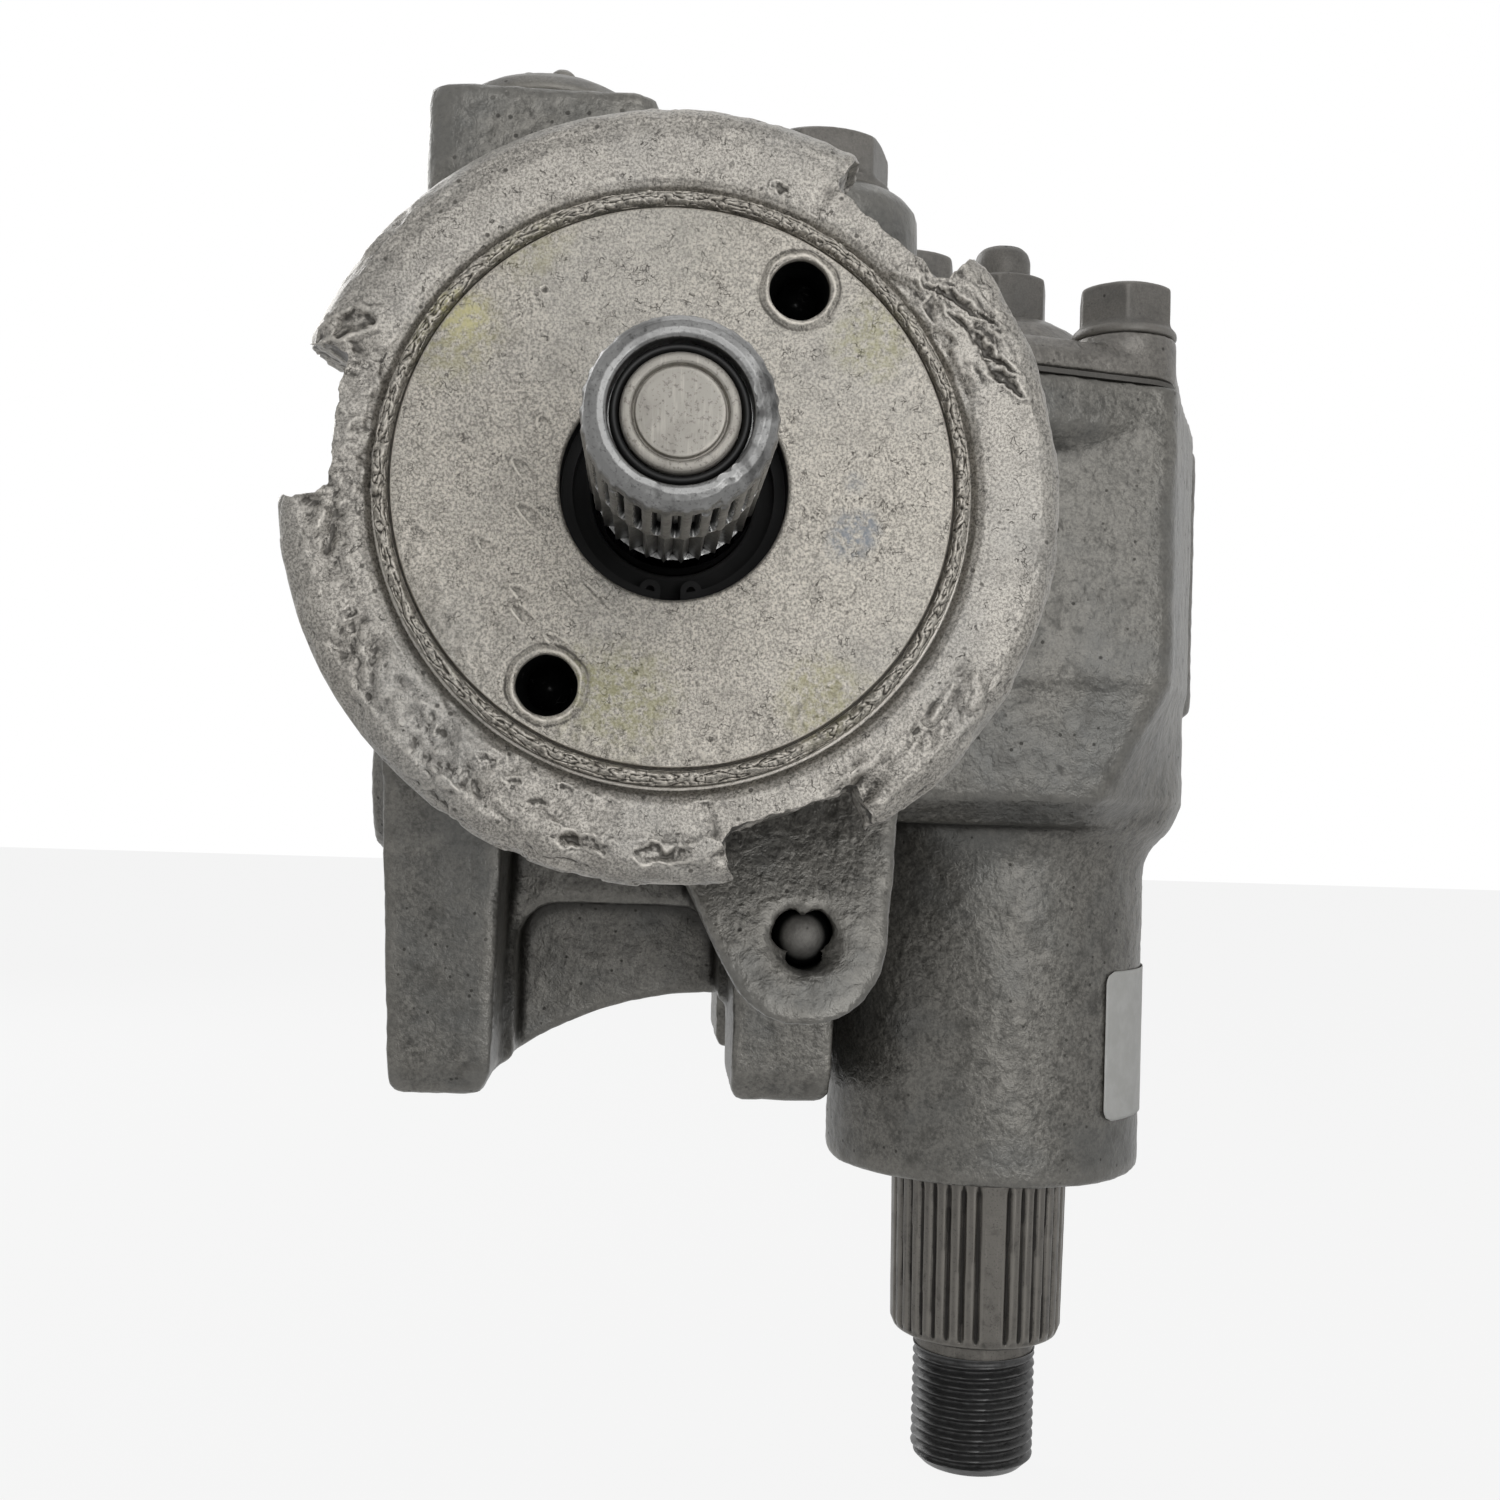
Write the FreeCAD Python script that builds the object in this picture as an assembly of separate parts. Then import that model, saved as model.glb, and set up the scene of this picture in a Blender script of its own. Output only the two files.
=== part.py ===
import FreeCAD, Part
import math
import os

# Power steering gearbox of the recirculating-ball kind, in millimetres.
# The origin is the centre of the input shaft's outer end. +Y runs into the box along
# the worm's axis, +Z is up, and the output shaft points down beside the worm.

V = FreeCAD.Vector
ALONG_X = V(1, 0, 0)
ALONG_Y = V(0, 1, 0)
ALONG_Z = V(0, 0, 1)

# Clearances
RUN_FIT = 0.05
SEAT_FIT = 0.03
FACE_GAP = 0.2
BALL_FREEDOM = 0.16

# Where the output shaft stands
PITMAN_X = 61.0
PITMAN_Y = 156.0

# Input shaft
SERRATION_R = 9.52
SERRATION_COUNT = 30
SERRATION_DEPTH = 1.1
COLLAR_END_Y = 3.2
SLOT_END_Y = 16.6
TEETH_END_Y = 34.0
INPUT_JOURNAL_R = 9.5
INPUT_NECK_R = 8.3
INPUT_BORE_R = 4.6
TORSION_HEAD_R = 5.7
TORSION_HEAD_END_Y = 20.0
TIP_SEAL_R = 6.8
TIP_SEAL_DEPTH = 3.0
TORSION_SPRING_R = 2.9
TORSION_FOOT_R = 4.2
SPOOL_SEAT_R = 8.4
TANG_R = 7.0
TANG_HALF_WIDTH = 4.4
TANG_SWING_DEG = 5.5
TANG_FREEDOM = 0.15
TANG_END_GAP = 0.7
DRIVE_PIN_R = 1.6
UPPER_PIN_Y = 12.0
LOWER_PIN_Y = 100.6
LOWER_PIN_HALF_LENGTH = 9.0
JOURNAL_START_Y = 37.6
JOURNAL_END_Y = 64.2
TANG_START_Y = 84.0
TANG_END_Y = 92.0
TORSION_FOOT_Y = 93.4
TORSION_FOOT_END_Y = 108.0

# Adjuster plug and lock ring
PLUG_FACE_Y = 38.0
PLUG_THREAD_R = 34.4
PLUG_THREAD_END_Y = 56.0
PLUG_END_Y = 60.5
PLUG_BORE_R = 13.1
PLUG_BEARING_BORE_R = 12.6
PLUG_BEARING_START_Y = 51.0
PLUG_BEAD_WIDTH = 1.7
PLUG_BEAD_HEIGHT = 0.5
SPANNER_HOLE_R = 3.5
SPANNER_HOLE_RING_R = 27.1
SPANNER_HOLE_DEG = 59.5
SPANNER_HOLE_DEPTH = 6.0
SPANNER_RIM_R = 4.6
SPANNER_RIM_HEIGHT = 0.35
PLUG_O_RING_Y = 57.6
PLUG_O_RING_WIDTH = 1.9
PLUG_O_RING_DEPTH = 1.9
RETAINER_Y = 42.4
RETAINER_THICKNESS = 1.2
RETAINER_DEPTH = 1.1
DUST_SEAL_Y = 43.9
DUST_SEAL_THICKNESS = 2.0
LIP_SEAL_Y = 46.2
LIP_SEAL_THICKNESS = 4.6
LOCK_RING_FRONT_Y = 40.0
LOCK_RING_THICKNESS = 11.0
LOCK_RING_R = 46.0
LOCK_RING_EDGE_R = 3.6
LOCK_RING_VALLEY = 1.4
NOTCH_WIDTH = 18.0
NOTCH_DEPTH = 6.5
NOTCH_COUNT = 3
NOTCH_FIRST_DEG = 51.5

# Valve section
VALVE_BORE_R = 25.5
VALVE_WALL = 15.0
THRUST_BEARING_LENGTH = 3.0
SLEEVE_LENGTH = 25.4
SLEEVE_BORE_R = 12.6
SLEEVE_RING_COUNT = 4
SLEEVE_RING_WIDTH = 1.8
SLEEVE_RING_DEPTH = 1.7
SLEEVE_PIN_R = 1.3
SLEEVE_PIN_REACH = 2.6
SLEEVE_PIN_Z = 18.5
SPOOL_END_Y = 83.6
VALVE_LAND_COUNT = 8
WORM_FLANGE_R = 22.0
WORM_FLANGE_LENGTH = 3.6
PARTITION_THICKNESS = 5.3

# Ball screw
SECTOR_PITCH_R = 32.0
GEAR_RATIO = 14.0
BALL_R = 3.57
BALL_CIRCLE_R = 13.2
BALL_TURNS = 2.5
BALL_SPACING = 7.3
WORM_R = 12.2
NUT_BORE_R = 12.6
WORM_END_Y = 190.0
WORM_LEAD_IN_TURNS = 1.5
BALL_TRACK_START_Y = 130.0
LEAD = 2.0 * math.pi * SECTOR_PITCH_R / GEAR_RATIO

# Rack piston and its bore
PISTON_BORE_R = 36.0
BARREL_WALL = 6.0
PISTON_FRONT_Y = 124.0
PISTON_LENGTH = 100.0
PISTON_TRAVEL = 21.2
PISTON_STOP_GAP = 1.3
PISTON_PLUG_R = 19.0
PISTON_PLUG_LENGTH = 8.5
PISTON_RING_WIDTH = 3.0
PISTON_RING_DEPTH = 2.4
PISTON_RING_FROM_END = 10.0
GUIDE_FLAT_X = -22.0
GUIDE_TUBE_R = 4.3
GUIDE_FLAT_END_Y = 178.0
GUIDE_LEG_X = -15.5
GUIDE_BEND_R = 5.6
CLAMP_THICKNESS = 1.4
CLAMP_SCREW_R = 2.4
CLAMP_SCREW_Z = 10.5
CLAMP_HALF_LENGTH = 8.0
CLAMP_SCREW_LENGTH = 8.0

# Rack and sector teeth
TOOTH_COUNT_FULL = 10
MODULE = 2.0 * SECTOR_PITCH_R / TOOTH_COUNT_FULL
PRESSURE_DEG = 25.0
ADDENDUM = 0.75 * MODULE
DEDENDUM = 0.92 * MODULE
BACKLASH = 0.25
SECTOR_HALF_WIDTH = 15.0
SECTOR_TEETH = 3
SECTOR_HUB_R = 22.0

# Output shaft, top to bottom
JOURNAL_R = 17.46
UPPER_JOURNAL_R = 14.5
UPPER_JOURNAL_TOP_Z = 43.5
NECK_BOTTOM_Z = -99.5
SPLINE_TOP_Z = -98.0
SPLINE_BOTTOM_Z = -128.4
SPLINE_TOP_R = 15.95
SPLINE_BOTTOM_R = 15.45
SPLINE_COUNT = 36
SPLINE_MASTERS = 4
SPLINE_DEPTH = 1.15
SPLINE_CHAMFER = 2.2
THREAD_R = 11.11
THREAD_TOP_Z = -134.0
SHAFT_END_Z = -154.0
THREAD_CHAMFER = 2.0
ADJUSTER_HEAD_R = 8.4
ADJUSTER_HEAD_THICKNESS = 3.6
ADJUSTER_HEAD_Z = 33.5
ADJUSTER_SCREW_R = 5.2
ADJUSTER_TOP_Z = 68.6

# Sector chamber and neck of the housing
CHAMBER_R = 37.8
CHAMBER_HUB_R = 27.4
CHAMBER_FLOOR_Z = -16.4
COVER_SEAT_Z = 33.4
FLANGE_THICKNESS = 7.5
BODY_RIGHT_R = 35.4
BODY_CORNER_R = 4.5
BODY_CORNER_DX = 17.0
BODY_LEFT_CORNER_R = 12.0
BODY_LEFT_CORNER_X = 20.0
BODY_FRONT_OFFSET = 45.0
PARTING_Z = -15.0
PARTING_LEDGE = 0.6
BASE_TOP_Z = -34.0
BASE_CORNER_DX = 8.0
BASE_INSET = 2.6
BASE_RIGHT_R = 34.9
BODY_BOTTOM_Z = -38.5
BOTTOM_CORNER_DX = 3.0
BOTTOM_INSET = 9.0
BOTTOM_RIGHT_R = 33.0
NECK_R = 28.4
NECK_BLEND_R = 31.0
NECK_BLEND_DX = 2.2
NECK_BLEND_LOW_Z = -45.0
NECK_BEARING_R = 20.8
NECK_BEARING_TOP_Z = -20.0
NECK_BEARING_LENGTH = 42.0
SEAL_POCKET_R = 22.8
SEAL_POCKET_TOP_Z = -70.0
SEAL_STACK = (("pitman_seal", 8.0), ("seal_washer", 1.6), ("pitman_dust_seal", 6.0))
SNAP_RING_THICKNESS = 1.6
SNAP_RING_DEPTH = 1.2
SIDE_PAD_X = 98.4
SIDE_PAD_START_Y = 152.0
SIDE_PAD_LENGTH = 26.0
SIDE_PAD_CORNER_R = 3.0
SIDE_PAD_TOP_Z = 32.0
SIDE_PAD_BOTTOM_Z = -17.5

# Side cover
GASKET_THICKNESS = 0.8
COVER_FLANGE = 5.6
COVER_FLANGE_EDGE = 2.8
COVER_FLANGE_SLOPE = 2.2
COVER_INSET = 1.8
COVER_BOSS_TOP_Z = 41.8
COVER_BOSS_R = 8.7
BOSS_BLEND_STEPS = ((4.5, 0.5), (8.0, 1.1), (11.5, 1.6))
BOSS_BLEND_R = 6.6
COVER_DOME_R = 20.0
COVER_DOME_TOP_Z = 53.6
COVER_BUSHING_R = 17.0
COVER_BOLTS = ((13.4, -36.0), (13.4, 36.0), (-24.5, -46.0), (-24.5, 46.0))
COVER_BOLT_R = 4.76
COVER_BOLT_REACH = 9.0
BOLT_AF = 14.3
BOLT_HEAD_HEIGHT = 7.4
BOLT_WASHER_R = 8.6
BOLT_WASHER_HEIGHT = 1.3
LOCK_NUT_AF = 15.9
LOCK_NUT_HEIGHT = 8.6

# Rear cover
END_COVER_LENGTH = 7.5
END_COVER_R = 37.5
END_RING_THICKNESS = 1.9
END_RING_DEPTH = 2.0
BARREL_END_MARGIN = 4.6

# Oil ports
RETURN_PORT = (-17.4, 66.0)
RETURN_SEAT_Z = 51.6
RETURN_BLOCK_HALF = 14.6
PRESSURE_PORT = (19.5, 80.0)
PRESSURE_SEAT_Z = 48.6
PRESSURE_BOSS_R = 14.0
PORT_THREAD_R = 8.2
PORT_DEPTH = 16.0
PORT_DRILL_R = 3.4
PORT_SEAT_R = 5.6
PORT_SEAT_LENGTH = 6.0
PORT_PLUG_REACH = 9.5
RETURN_CAP_R = 12.3
RETURN_CAP_HEIGHT = 3.9
CAP_LOBES = ((-2.6, -3.4, 1.5, 1.7), (1.6, -3.6, 1.7, 2.1), (6.4, -1.0, 1.8, 1.2))
PRESSURE_PLUG_AF = 17.4
PRESSURE_PLUG_HEIGHT = 7.6

# Oil passage lobe under the valve section
LOBE_X = 19.4
LOBE_Z = -53.6
LOBE_R = 11.4
LOBE_FRONT_Y = 68.0
LOBE_SLANT_DEG = 16.0
PASSAGE_R = 4.2
PASSAGE_DEPTH = 52.0
STAKE_COUNT = 3
STAKE_FIRST_DEG = 90.0
STAKE_WIDTH = 1.7
STAKE_REACH = 2.1
STAKE_FRONT_Y = 69.1
STAKE_BACK_Y = 70.5
STAKE_LEAN_DEG = 12.0
PASSAGE_BALL_R = 3.9

# Feet
FOOT_Z = -86.5
FOOT_START_Y = 130.0
FOOT_END_Y = 224.0
LEFT_LEG_OUTER_X = -45.6
LEFT_LEG_INNER_X = -26.2
RIGHT_LEG_INNER_X = 13.6
RIGHT_LEG_OUTER_X = 31.6
LEG_ROOT_Z = -20.0
LEG_ARCH_R = 18.0
WEB_START_Y = 150.0
WEB_BACK_Y = 170.0
WEB_SKIN = 9.0
WEB_EDGE_RISE = 14.9
WEB_POCKET_TOP_Z = -55.0
FOOT_HOLE_R = 5.1
FOOT_HOLE_DEPTH = 20.0
FOOT_HOLE_X = (-36.0, 22.4)
FOOT_HOLE_Y = (145.0, 207.0)
SIDE_BOSS_X = -48.4
SIDE_BOSS_Y = (145.0, 207.0)
SIDE_BOSS_LENGTH = 22.0
SIDE_HOLE_DEPTH = 18.0
SIDE_BOSS_Z = -33.0
SIDE_BOSS_R = 13.0

# Places along the worm's axis that follow from the sizes above
LOCK_RING_BACK_Y = LOCK_RING_FRONT_Y + LOCK_RING_THICKNESS
HOUSING_FRONT_Y = LOCK_RING_BACK_Y
UPPER_BEARING_Y = PLUG_END_Y + SEAT_FIT
SLEEVE_START_Y = UPPER_BEARING_Y + THRUST_BEARING_LENGTH + FACE_GAP
SLEEVE_END_Y = SLEEVE_START_Y + SLEEVE_LENGTH
WORM_FLANGE_Y = SLEEVE_END_Y
LOWER_BEARING_Y = WORM_FLANGE_Y + WORM_FLANGE_LENGTH + FACE_GAP
PARTITION_Y = LOWER_BEARING_Y + THRUST_BEARING_LENGTH + SEAT_FIT
PISTON_BORE_START_Y = PARTITION_Y + PARTITION_THICKNESS
PISTON_END_Y = PISTON_FRONT_Y + PISTON_LENGTH
PISTON_RING_Y = PISTON_END_Y - PISTON_RING_FROM_END
END_COVER_Y = PISTON_END_Y + PISTON_TRAVEL + PISTON_STOP_GAP
END_RING_Y = END_COVER_Y + END_COVER_LENGTH
HOUSING_END_Y = END_RING_Y + END_RING_THICKNESS + BARREL_END_MARGIN
BARREL_R = PISTON_BORE_R + BARREL_WALL
VALVE_BODY_R = VALVE_BORE_R + VALVE_WALL
COVER_BOTTOM_Z = COVER_SEAT_Z + GASKET_THICKNESS
BALL_TRACK_LENGTH = LEAD * BALL_TURNS
SPOOL_START_Y = JOURNAL_END_Y + 0.05
SLEEVE_PIN_Y = SLEEVE_END_Y - SLEEVE_PIN_REACH
GUIDE_CREST_X = GUIDE_FLAT_X - GUIDE_TUBE_R - 0.4
GUIDE_PORT_Y = (BALL_TRACK_START_Y + 0.5 * LEAD, BALL_TRACK_START_Y + 2.5 * LEAD)
GUIDE_MIDDLE_Y = sum(GUIDE_PORT_Y) / 2
PASSAGE_SEAT_Y = LOBE_FRONT_Y + 2.0


def y_cylinder(radius, start, end, x=0.0, z=0.0):
    return Part.makeCylinder(radius, end - start, V(x, start, z), ALONG_Y)


def z_cylinder(radius, low, high, x=PITMAN_X, y=PITMAN_Y):
    return Part.makeCylinder(radius, high - low, V(x, y, low), ALONG_Z)


def y_ring(outer, inner, start, end):
    return y_cylinder(outer, start, end).cut(y_cylinder(inner, start - 1, end + 1))


def z_ring(outer, inner, low, high, x=PITMAN_X, y=PITMAN_Y):
    return z_cylinder(outer, low, high, x, y).cut(z_cylinder(inner, low - 1, high + 1, x, y))


def box(low, high):
    return Part.makeBox(high[0] - low[0], high[1] - low[1], high[2] - low[2], V(*low))


def joined(first, others):
    return first.multiFuse(others).removeSplitter()


def closed_face(points):
    return Part.Face(Part.makePolygon(points + [points[0]]))


def turned_about_y(profile):
    """A solid of revolution from (radius, y) points, about the worm's axis."""
    face = closed_face([V(radius, y, 0) for radius, y in profile])
    return face.revolve(V(0, 0, 0), ALONG_Y, 360)


def turned_about_pitman(profile):
    """A solid of revolution from (radius, z) points, about the output shaft's axis."""
    face = closed_face([V(PITMAN_X + radius, PITMAN_Y, z) for radius, z in profile])
    return face.revolve(V(PITMAN_X, PITMAN_Y, 0), ALONG_Z, 360)


def belt_outline(circles):
    """The tight outline round circles, listed anticlockwise as (x, y, radius)."""
    count = len(circles)
    normals = []
    for index in range(count):
        x0, y0, r0 = circles[index]
        x1, y1, r1 = circles[(index + 1) % count]
        length = math.hypot(x1 - x0, y1 - y0)
        along = ((x1 - x0) / length, (y1 - y0) / length)
        lean = (r0 - r1) / length
        side = math.sqrt(1 - lean * lean)
        normals.append((along[0] * lean + along[1] * side, along[1] * lean - along[0] * side))
    edges = []
    for index in range(count):
        x, y, radius = circles[index]
        before = normals[index - 1]
        after = normals[index]
        middle = (before[0] + after[0], before[1] + after[1])
        size = math.hypot(*middle)
        start = V(x + radius * before[0], y + radius * before[1], 0)
        crown = V(x + radius * middle[0] / size, y + radius * middle[1] / size, 0)
        end = V(x + radius * after[0], y + radius * after[1], 0)
        edges.append(Part.Arc(start, crown, end).toShape())
        next_x, next_y, next_r = circles[(index + 1) % count]
        landing = V(next_x + next_r * after[0], next_y + next_r * after[1], 0)
        edges.append(Part.LineSegment(end, landing).toShape())
    return Part.Wire(edges)


def belt_block(circles, low, high):
    face = Part.Face(belt_outline(circles))
    face.translate(V(0, 0, low))
    return face.extrude(V(0, 0, high - low))


def belt_loft(top_circles, top_z, low_circles, low_z):
    """A block whose outline changes from one list of circles to another."""
    top = belt_outline(top_circles)
    top.translate(V(0, 0, top_z))
    bottom = belt_outline(low_circles)
    bottom.translate(V(0, 0, low_z))
    return Part.makeLoft([bottom, top], True)


def belt_taper(circles, shrink, low, high):
    """A block whose outline is smaller by shrink at the height low."""
    smaller = [(x, y, radius - shrink) for x, y, radius in circles]
    return belt_loft(circles, high, smaller, low)


def hexagon(across_flats, low, high, x, y, turn_deg=0.0):
    corner_r = across_flats / math.sqrt(3)
    points = []
    for index in range(6):
        angle = math.radians(60 * index + turn_deg)
        points.append(V(x + corner_r * math.cos(angle), y + corner_r * math.sin(angle), low))
    return closed_face(points).extrude(V(0, 0, high - low))


def chamfered_hexagon(across_flats, low, high, x, y, turn_deg=0.0):
    """A hexagon whose top corners are rounded off by a cone, as on bolt heads."""
    block = hexagon(across_flats, low, high, x, y, turn_deg)
    half = across_flats / 2
    height = high - low
    cone = Part.makeCone(half + 2.0 * height, half - 0.3, height, V(x, y, low), ALONG_Z)
    return block.common(cone)


def helix_tube(radius, circle_r, lead, start_y, turns, start_deg):
    """A round tube along a right-hand helix about the worm's axis."""
    path = Part.makeHelix(lead, lead * turns, circle_r)
    slope = math.atan2(lead, 2 * math.pi * circle_r)
    normal = V(0, math.cos(slope), math.sin(slope))
    section = Part.Wire(Part.Circle(V(circle_r, 0, 0), normal, radius).toShape())
    tube = Part.Wire(path).makePipeShell([section], True, True)
    tube.rotate(V(0, 0, 0), ALONG_X, -90)
    tube.rotate(V(0, 0, 0), ALONG_Y, start_deg)
    tube.translate(V(0, start_y, 0))
    return tube


def helix_point(circle_r, turns_from_start):
    """A point of the ball track, whose first point lies on +X."""
    angle = 2 * math.pi * turns_from_start
    return V(circle_r * math.cos(angle), BALL_TRACK_START_Y + LEAD * turns_from_start,
             -circle_r * math.sin(angle))


def radial_grooves(count, radius, depth, half_angle_deg, start, end, skip=()):
    """V grooves along Y, cut into a shaft of the given radius."""
    grooves = []
    reach = radius + 0.6
    half = math.radians(half_angle_deg)
    floor_r = radius - depth
    for index in range(count):
        if index in skip:
            continue
        middle = 2 * math.pi * index / count
        points = [V(floor_r * math.cos(middle), start, floor_r * math.sin(middle))]
        for angle in (middle - half, middle + half):
            points.append(V(reach * math.cos(angle), start, reach * math.sin(angle)))
        grooves.append(closed_face(points).extrude(V(0, end - start, 0)))
    return Part.Compound(grooves)


def lock_ring():
    """The slotted ring that locks the adjuster plug against the housing."""
    front = LOCK_RING_FRONT_Y
    back = LOCK_RING_BACK_Y
    inner = PLUG_THREAD_R + SEAT_FIT
    edge = LOCK_RING_EDGE_R
    lean = edge * (1 - math.cos(math.pi / 4))
    profile = [
        (inner, front + LOCK_RING_VALLEY),
        (inner + 1.2, front + LOCK_RING_VALLEY),
        (inner + 3.0, front),
        (LOCK_RING_R - edge, front),
        (LOCK_RING_R - lean, front + lean),
        (LOCK_RING_R, front + edge),
        (LOCK_RING_R, back - 1.5),
        (LOCK_RING_R - 1.5, back),
        (inner, back),
    ]
    ring = turned_about_y(profile)
    for index in range(NOTCH_COUNT):
        notch = box((LOCK_RING_R - NOTCH_DEPTH, front - 1, -NOTCH_WIDTH / 2),
                    (LOCK_RING_R + 2, back + 1, NOTCH_WIDTH / 2))
        notch.rotate(V(0, 0, 0), ALONG_Y, -(NOTCH_FIRST_DEG + 360 * index / NOTCH_COUNT))
        ring = ring.cut(notch)
    return ring


def spanner_hole_places():
    angle = math.radians(SPANNER_HOLE_DEG)
    x = SPANNER_HOLE_RING_R * math.cos(angle)
    z = SPANNER_HOLE_RING_R * math.sin(angle)
    return ((x, z), (-x, -z))


def adjuster_plug():
    """The threaded plug that closes the valve bore and holds the shaft's seals."""
    pilot = VALVE_BORE_R - RUN_FIT
    bead = PLUG_THREAD_R - PLUG_BEAD_WIDTH
    groove = bead - 0.8
    profile = [
        (PLUG_BORE_R, PLUG_FACE_Y + 0.6),
        (PLUG_BORE_R + 0.6, PLUG_FACE_Y),
        (groove, PLUG_FACE_Y),
        (groove + 0.3, PLUG_FACE_Y + 0.7),
        (bead, PLUG_FACE_Y + 0.7),
        (bead + 0.3, PLUG_FACE_Y - PLUG_BEAD_HEIGHT),
        (PLUG_THREAD_R - 0.5, PLUG_FACE_Y - PLUG_BEAD_HEIGHT),
        (PLUG_THREAD_R, PLUG_FACE_Y + 0.2),
        (PLUG_THREAD_R, PLUG_THREAD_END_Y),
        (pilot, PLUG_THREAD_END_Y),
        (pilot, PLUG_O_RING_Y),
        (pilot - PLUG_O_RING_DEPTH, PLUG_O_RING_Y),
        (pilot - PLUG_O_RING_DEPTH, PLUG_O_RING_Y + PLUG_O_RING_WIDTH),
        (pilot, PLUG_O_RING_Y + PLUG_O_RING_WIDTH),
        (pilot, PLUG_END_Y),
        (PLUG_BEARING_BORE_R, PLUG_END_Y),
        (PLUG_BEARING_BORE_R, PLUG_BEARING_START_Y),
        (PLUG_BORE_R, PLUG_BEARING_START_Y),
        (PLUG_BORE_R, RETAINER_Y + RETAINER_THICKNESS + 0.1),
        (PLUG_BORE_R + RETAINER_DEPTH, RETAINER_Y + RETAINER_THICKNESS + 0.1),
        (PLUG_BORE_R + RETAINER_DEPTH, RETAINER_Y - 0.1),
        (PLUG_BORE_R, RETAINER_Y - 0.1),
    ]
    plug = turned_about_y(profile)
    for x, z in spanner_hole_places():
        rim = y_cylinder(SPANNER_RIM_R, PLUG_FACE_Y - SPANNER_RIM_HEIGHT, PLUG_FACE_Y + 1, x, z)
        plug = plug.fuse(rim)
        hole_end = PLUG_FACE_Y + SPANNER_HOLE_DEPTH
        plug = plug.cut(y_cylinder(SPANNER_HOLE_R, PLUG_FACE_Y - 1, hole_end, x, z))
    return plug


def plug_o_ring():
    outer = VALVE_BORE_R - 0.02
    inner = VALVE_BORE_R - RUN_FIT - PLUG_O_RING_DEPTH + 0.02
    start = PLUG_O_RING_Y + 0.05
    return y_ring(outer, inner, start, start + PLUG_O_RING_WIDTH - 0.1)


def input_retaining_ring():
    """An internal snap ring with its open ends and two lugs."""
    outer = PLUG_BORE_R + RETAINER_DEPTH - 0.05
    inner = PLUG_BORE_R - 1.3
    end = RETAINER_Y + RETAINER_THICKNESS
    ring = y_ring(outer, inner, RETAINER_Y, end)
    gap_half = 1.2
    ring = ring.cut(box((-gap_half, RETAINER_Y - 1, -outer - 1), (gap_half, end + 1, -inner + 3)))
    for side in (-1, 1):
        lug = y_cylinder(1.25, RETAINER_Y, end, side * (gap_half + 1.2), -inner + 0.3)
        ring = ring.fuse(lug.cut(y_cylinder(0.55, RETAINER_Y - 1, end + 1,
                                            side * (gap_half + 1.2), -inner + 0.3)))
    return ring


def input_dust_seal():
    outer = PLUG_BORE_R - SEAT_FIT
    start = DUST_SEAL_Y
    end = start + DUST_SEAL_THICKNESS
    lip = INPUT_JOURNAL_R + RUN_FIT
    return turned_about_y([(lip, start), (lip + 0.6, start), (lip + 1.4, start + 0.7),
                           (outer, start + 0.7), (outer, end), (lip + 1.0, end)])


def input_lip_seal():
    outer = PLUG_BORE_R - SEAT_FIT
    start = LIP_SEAL_Y
    end = start + LIP_SEAL_THICKNESS
    lip = INPUT_JOURNAL_R + RUN_FIT
    return turned_about_y([(lip + 0.8, start), (outer, start), (outer, end), (outer - 0.9, end),
                           (outer - 0.9, start + 1.2), (lip + 1.2, start + 1.2),
                           (lip + 1.2, end - 0.4), (lip, end - 0.9)])


def needle_cage(outer, inner, start, end, needle_r, count):
    """A drawn-cup bearing: a shell with open ends round a ring of needles."""
    shell = y_ring(outer, outer - 0.9, start, end)
    lip_inner = inner + 0.25
    shell = shell.fuse(y_ring(outer, lip_inner, start, start + 0.7))
    shell = shell.fuse(y_ring(outer, lip_inner, end - 0.7, end))
    needles = []
    for index in range(count):
        angle = 2 * math.pi * index / count
        place = inner + needle_r
        needles.append(y_cylinder(needle_r, start + 0.8, end - 0.8,
                                  place * math.cos(angle), place * math.sin(angle)))
    return Part.Compound([shell] + needles)


def plug_needle_bearing():
    return needle_cage(PLUG_BEARING_BORE_R - SEAT_FIT, INPUT_JOURNAL_R + RUN_FIT,
                       PLUG_BEARING_START_Y + 0.1, PLUG_END_Y - 0.2, 1.0, 24)


def thrust_bearing(start, outer, inner):
    """Two flat races with a cage of rollers between them."""
    race = 0.8
    end = start + THRUST_BEARING_LENGTH
    first = y_ring(outer, inner, start, start + race)
    last = y_ring(outer, inner, end - race, end)
    cage = y_ring(outer - 1.2, inner + 1.2, start + race + 0.35, end - race - 0.35)
    roller_r = (end - start) / 2 - race - 0.02
    middle = (start + end) / 2
    rollers = []
    count = 12
    for index in range(count):
        angle = 2 * math.pi * index / count
        away = V(math.cos(angle), 0, math.sin(angle))
        begin = away * (inner + 2.4)
        begin.y = middle
        rollers.append(Part.makeCylinder(roller_r, outer - inner - 4.8, begin, away))
    cage = joined(cage, rollers)
    return Part.Compound([first, cage, last])


def upper_thrust_bearing():
    return thrust_bearing(UPPER_BEARING_Y, VALVE_BORE_R - 3.5, INPUT_JOURNAL_R + 2.0)


def lower_thrust_bearing():
    return thrust_bearing(LOWER_BEARING_Y, VALVE_BORE_R - 2.5, WORM_R + 1.0)


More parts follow.
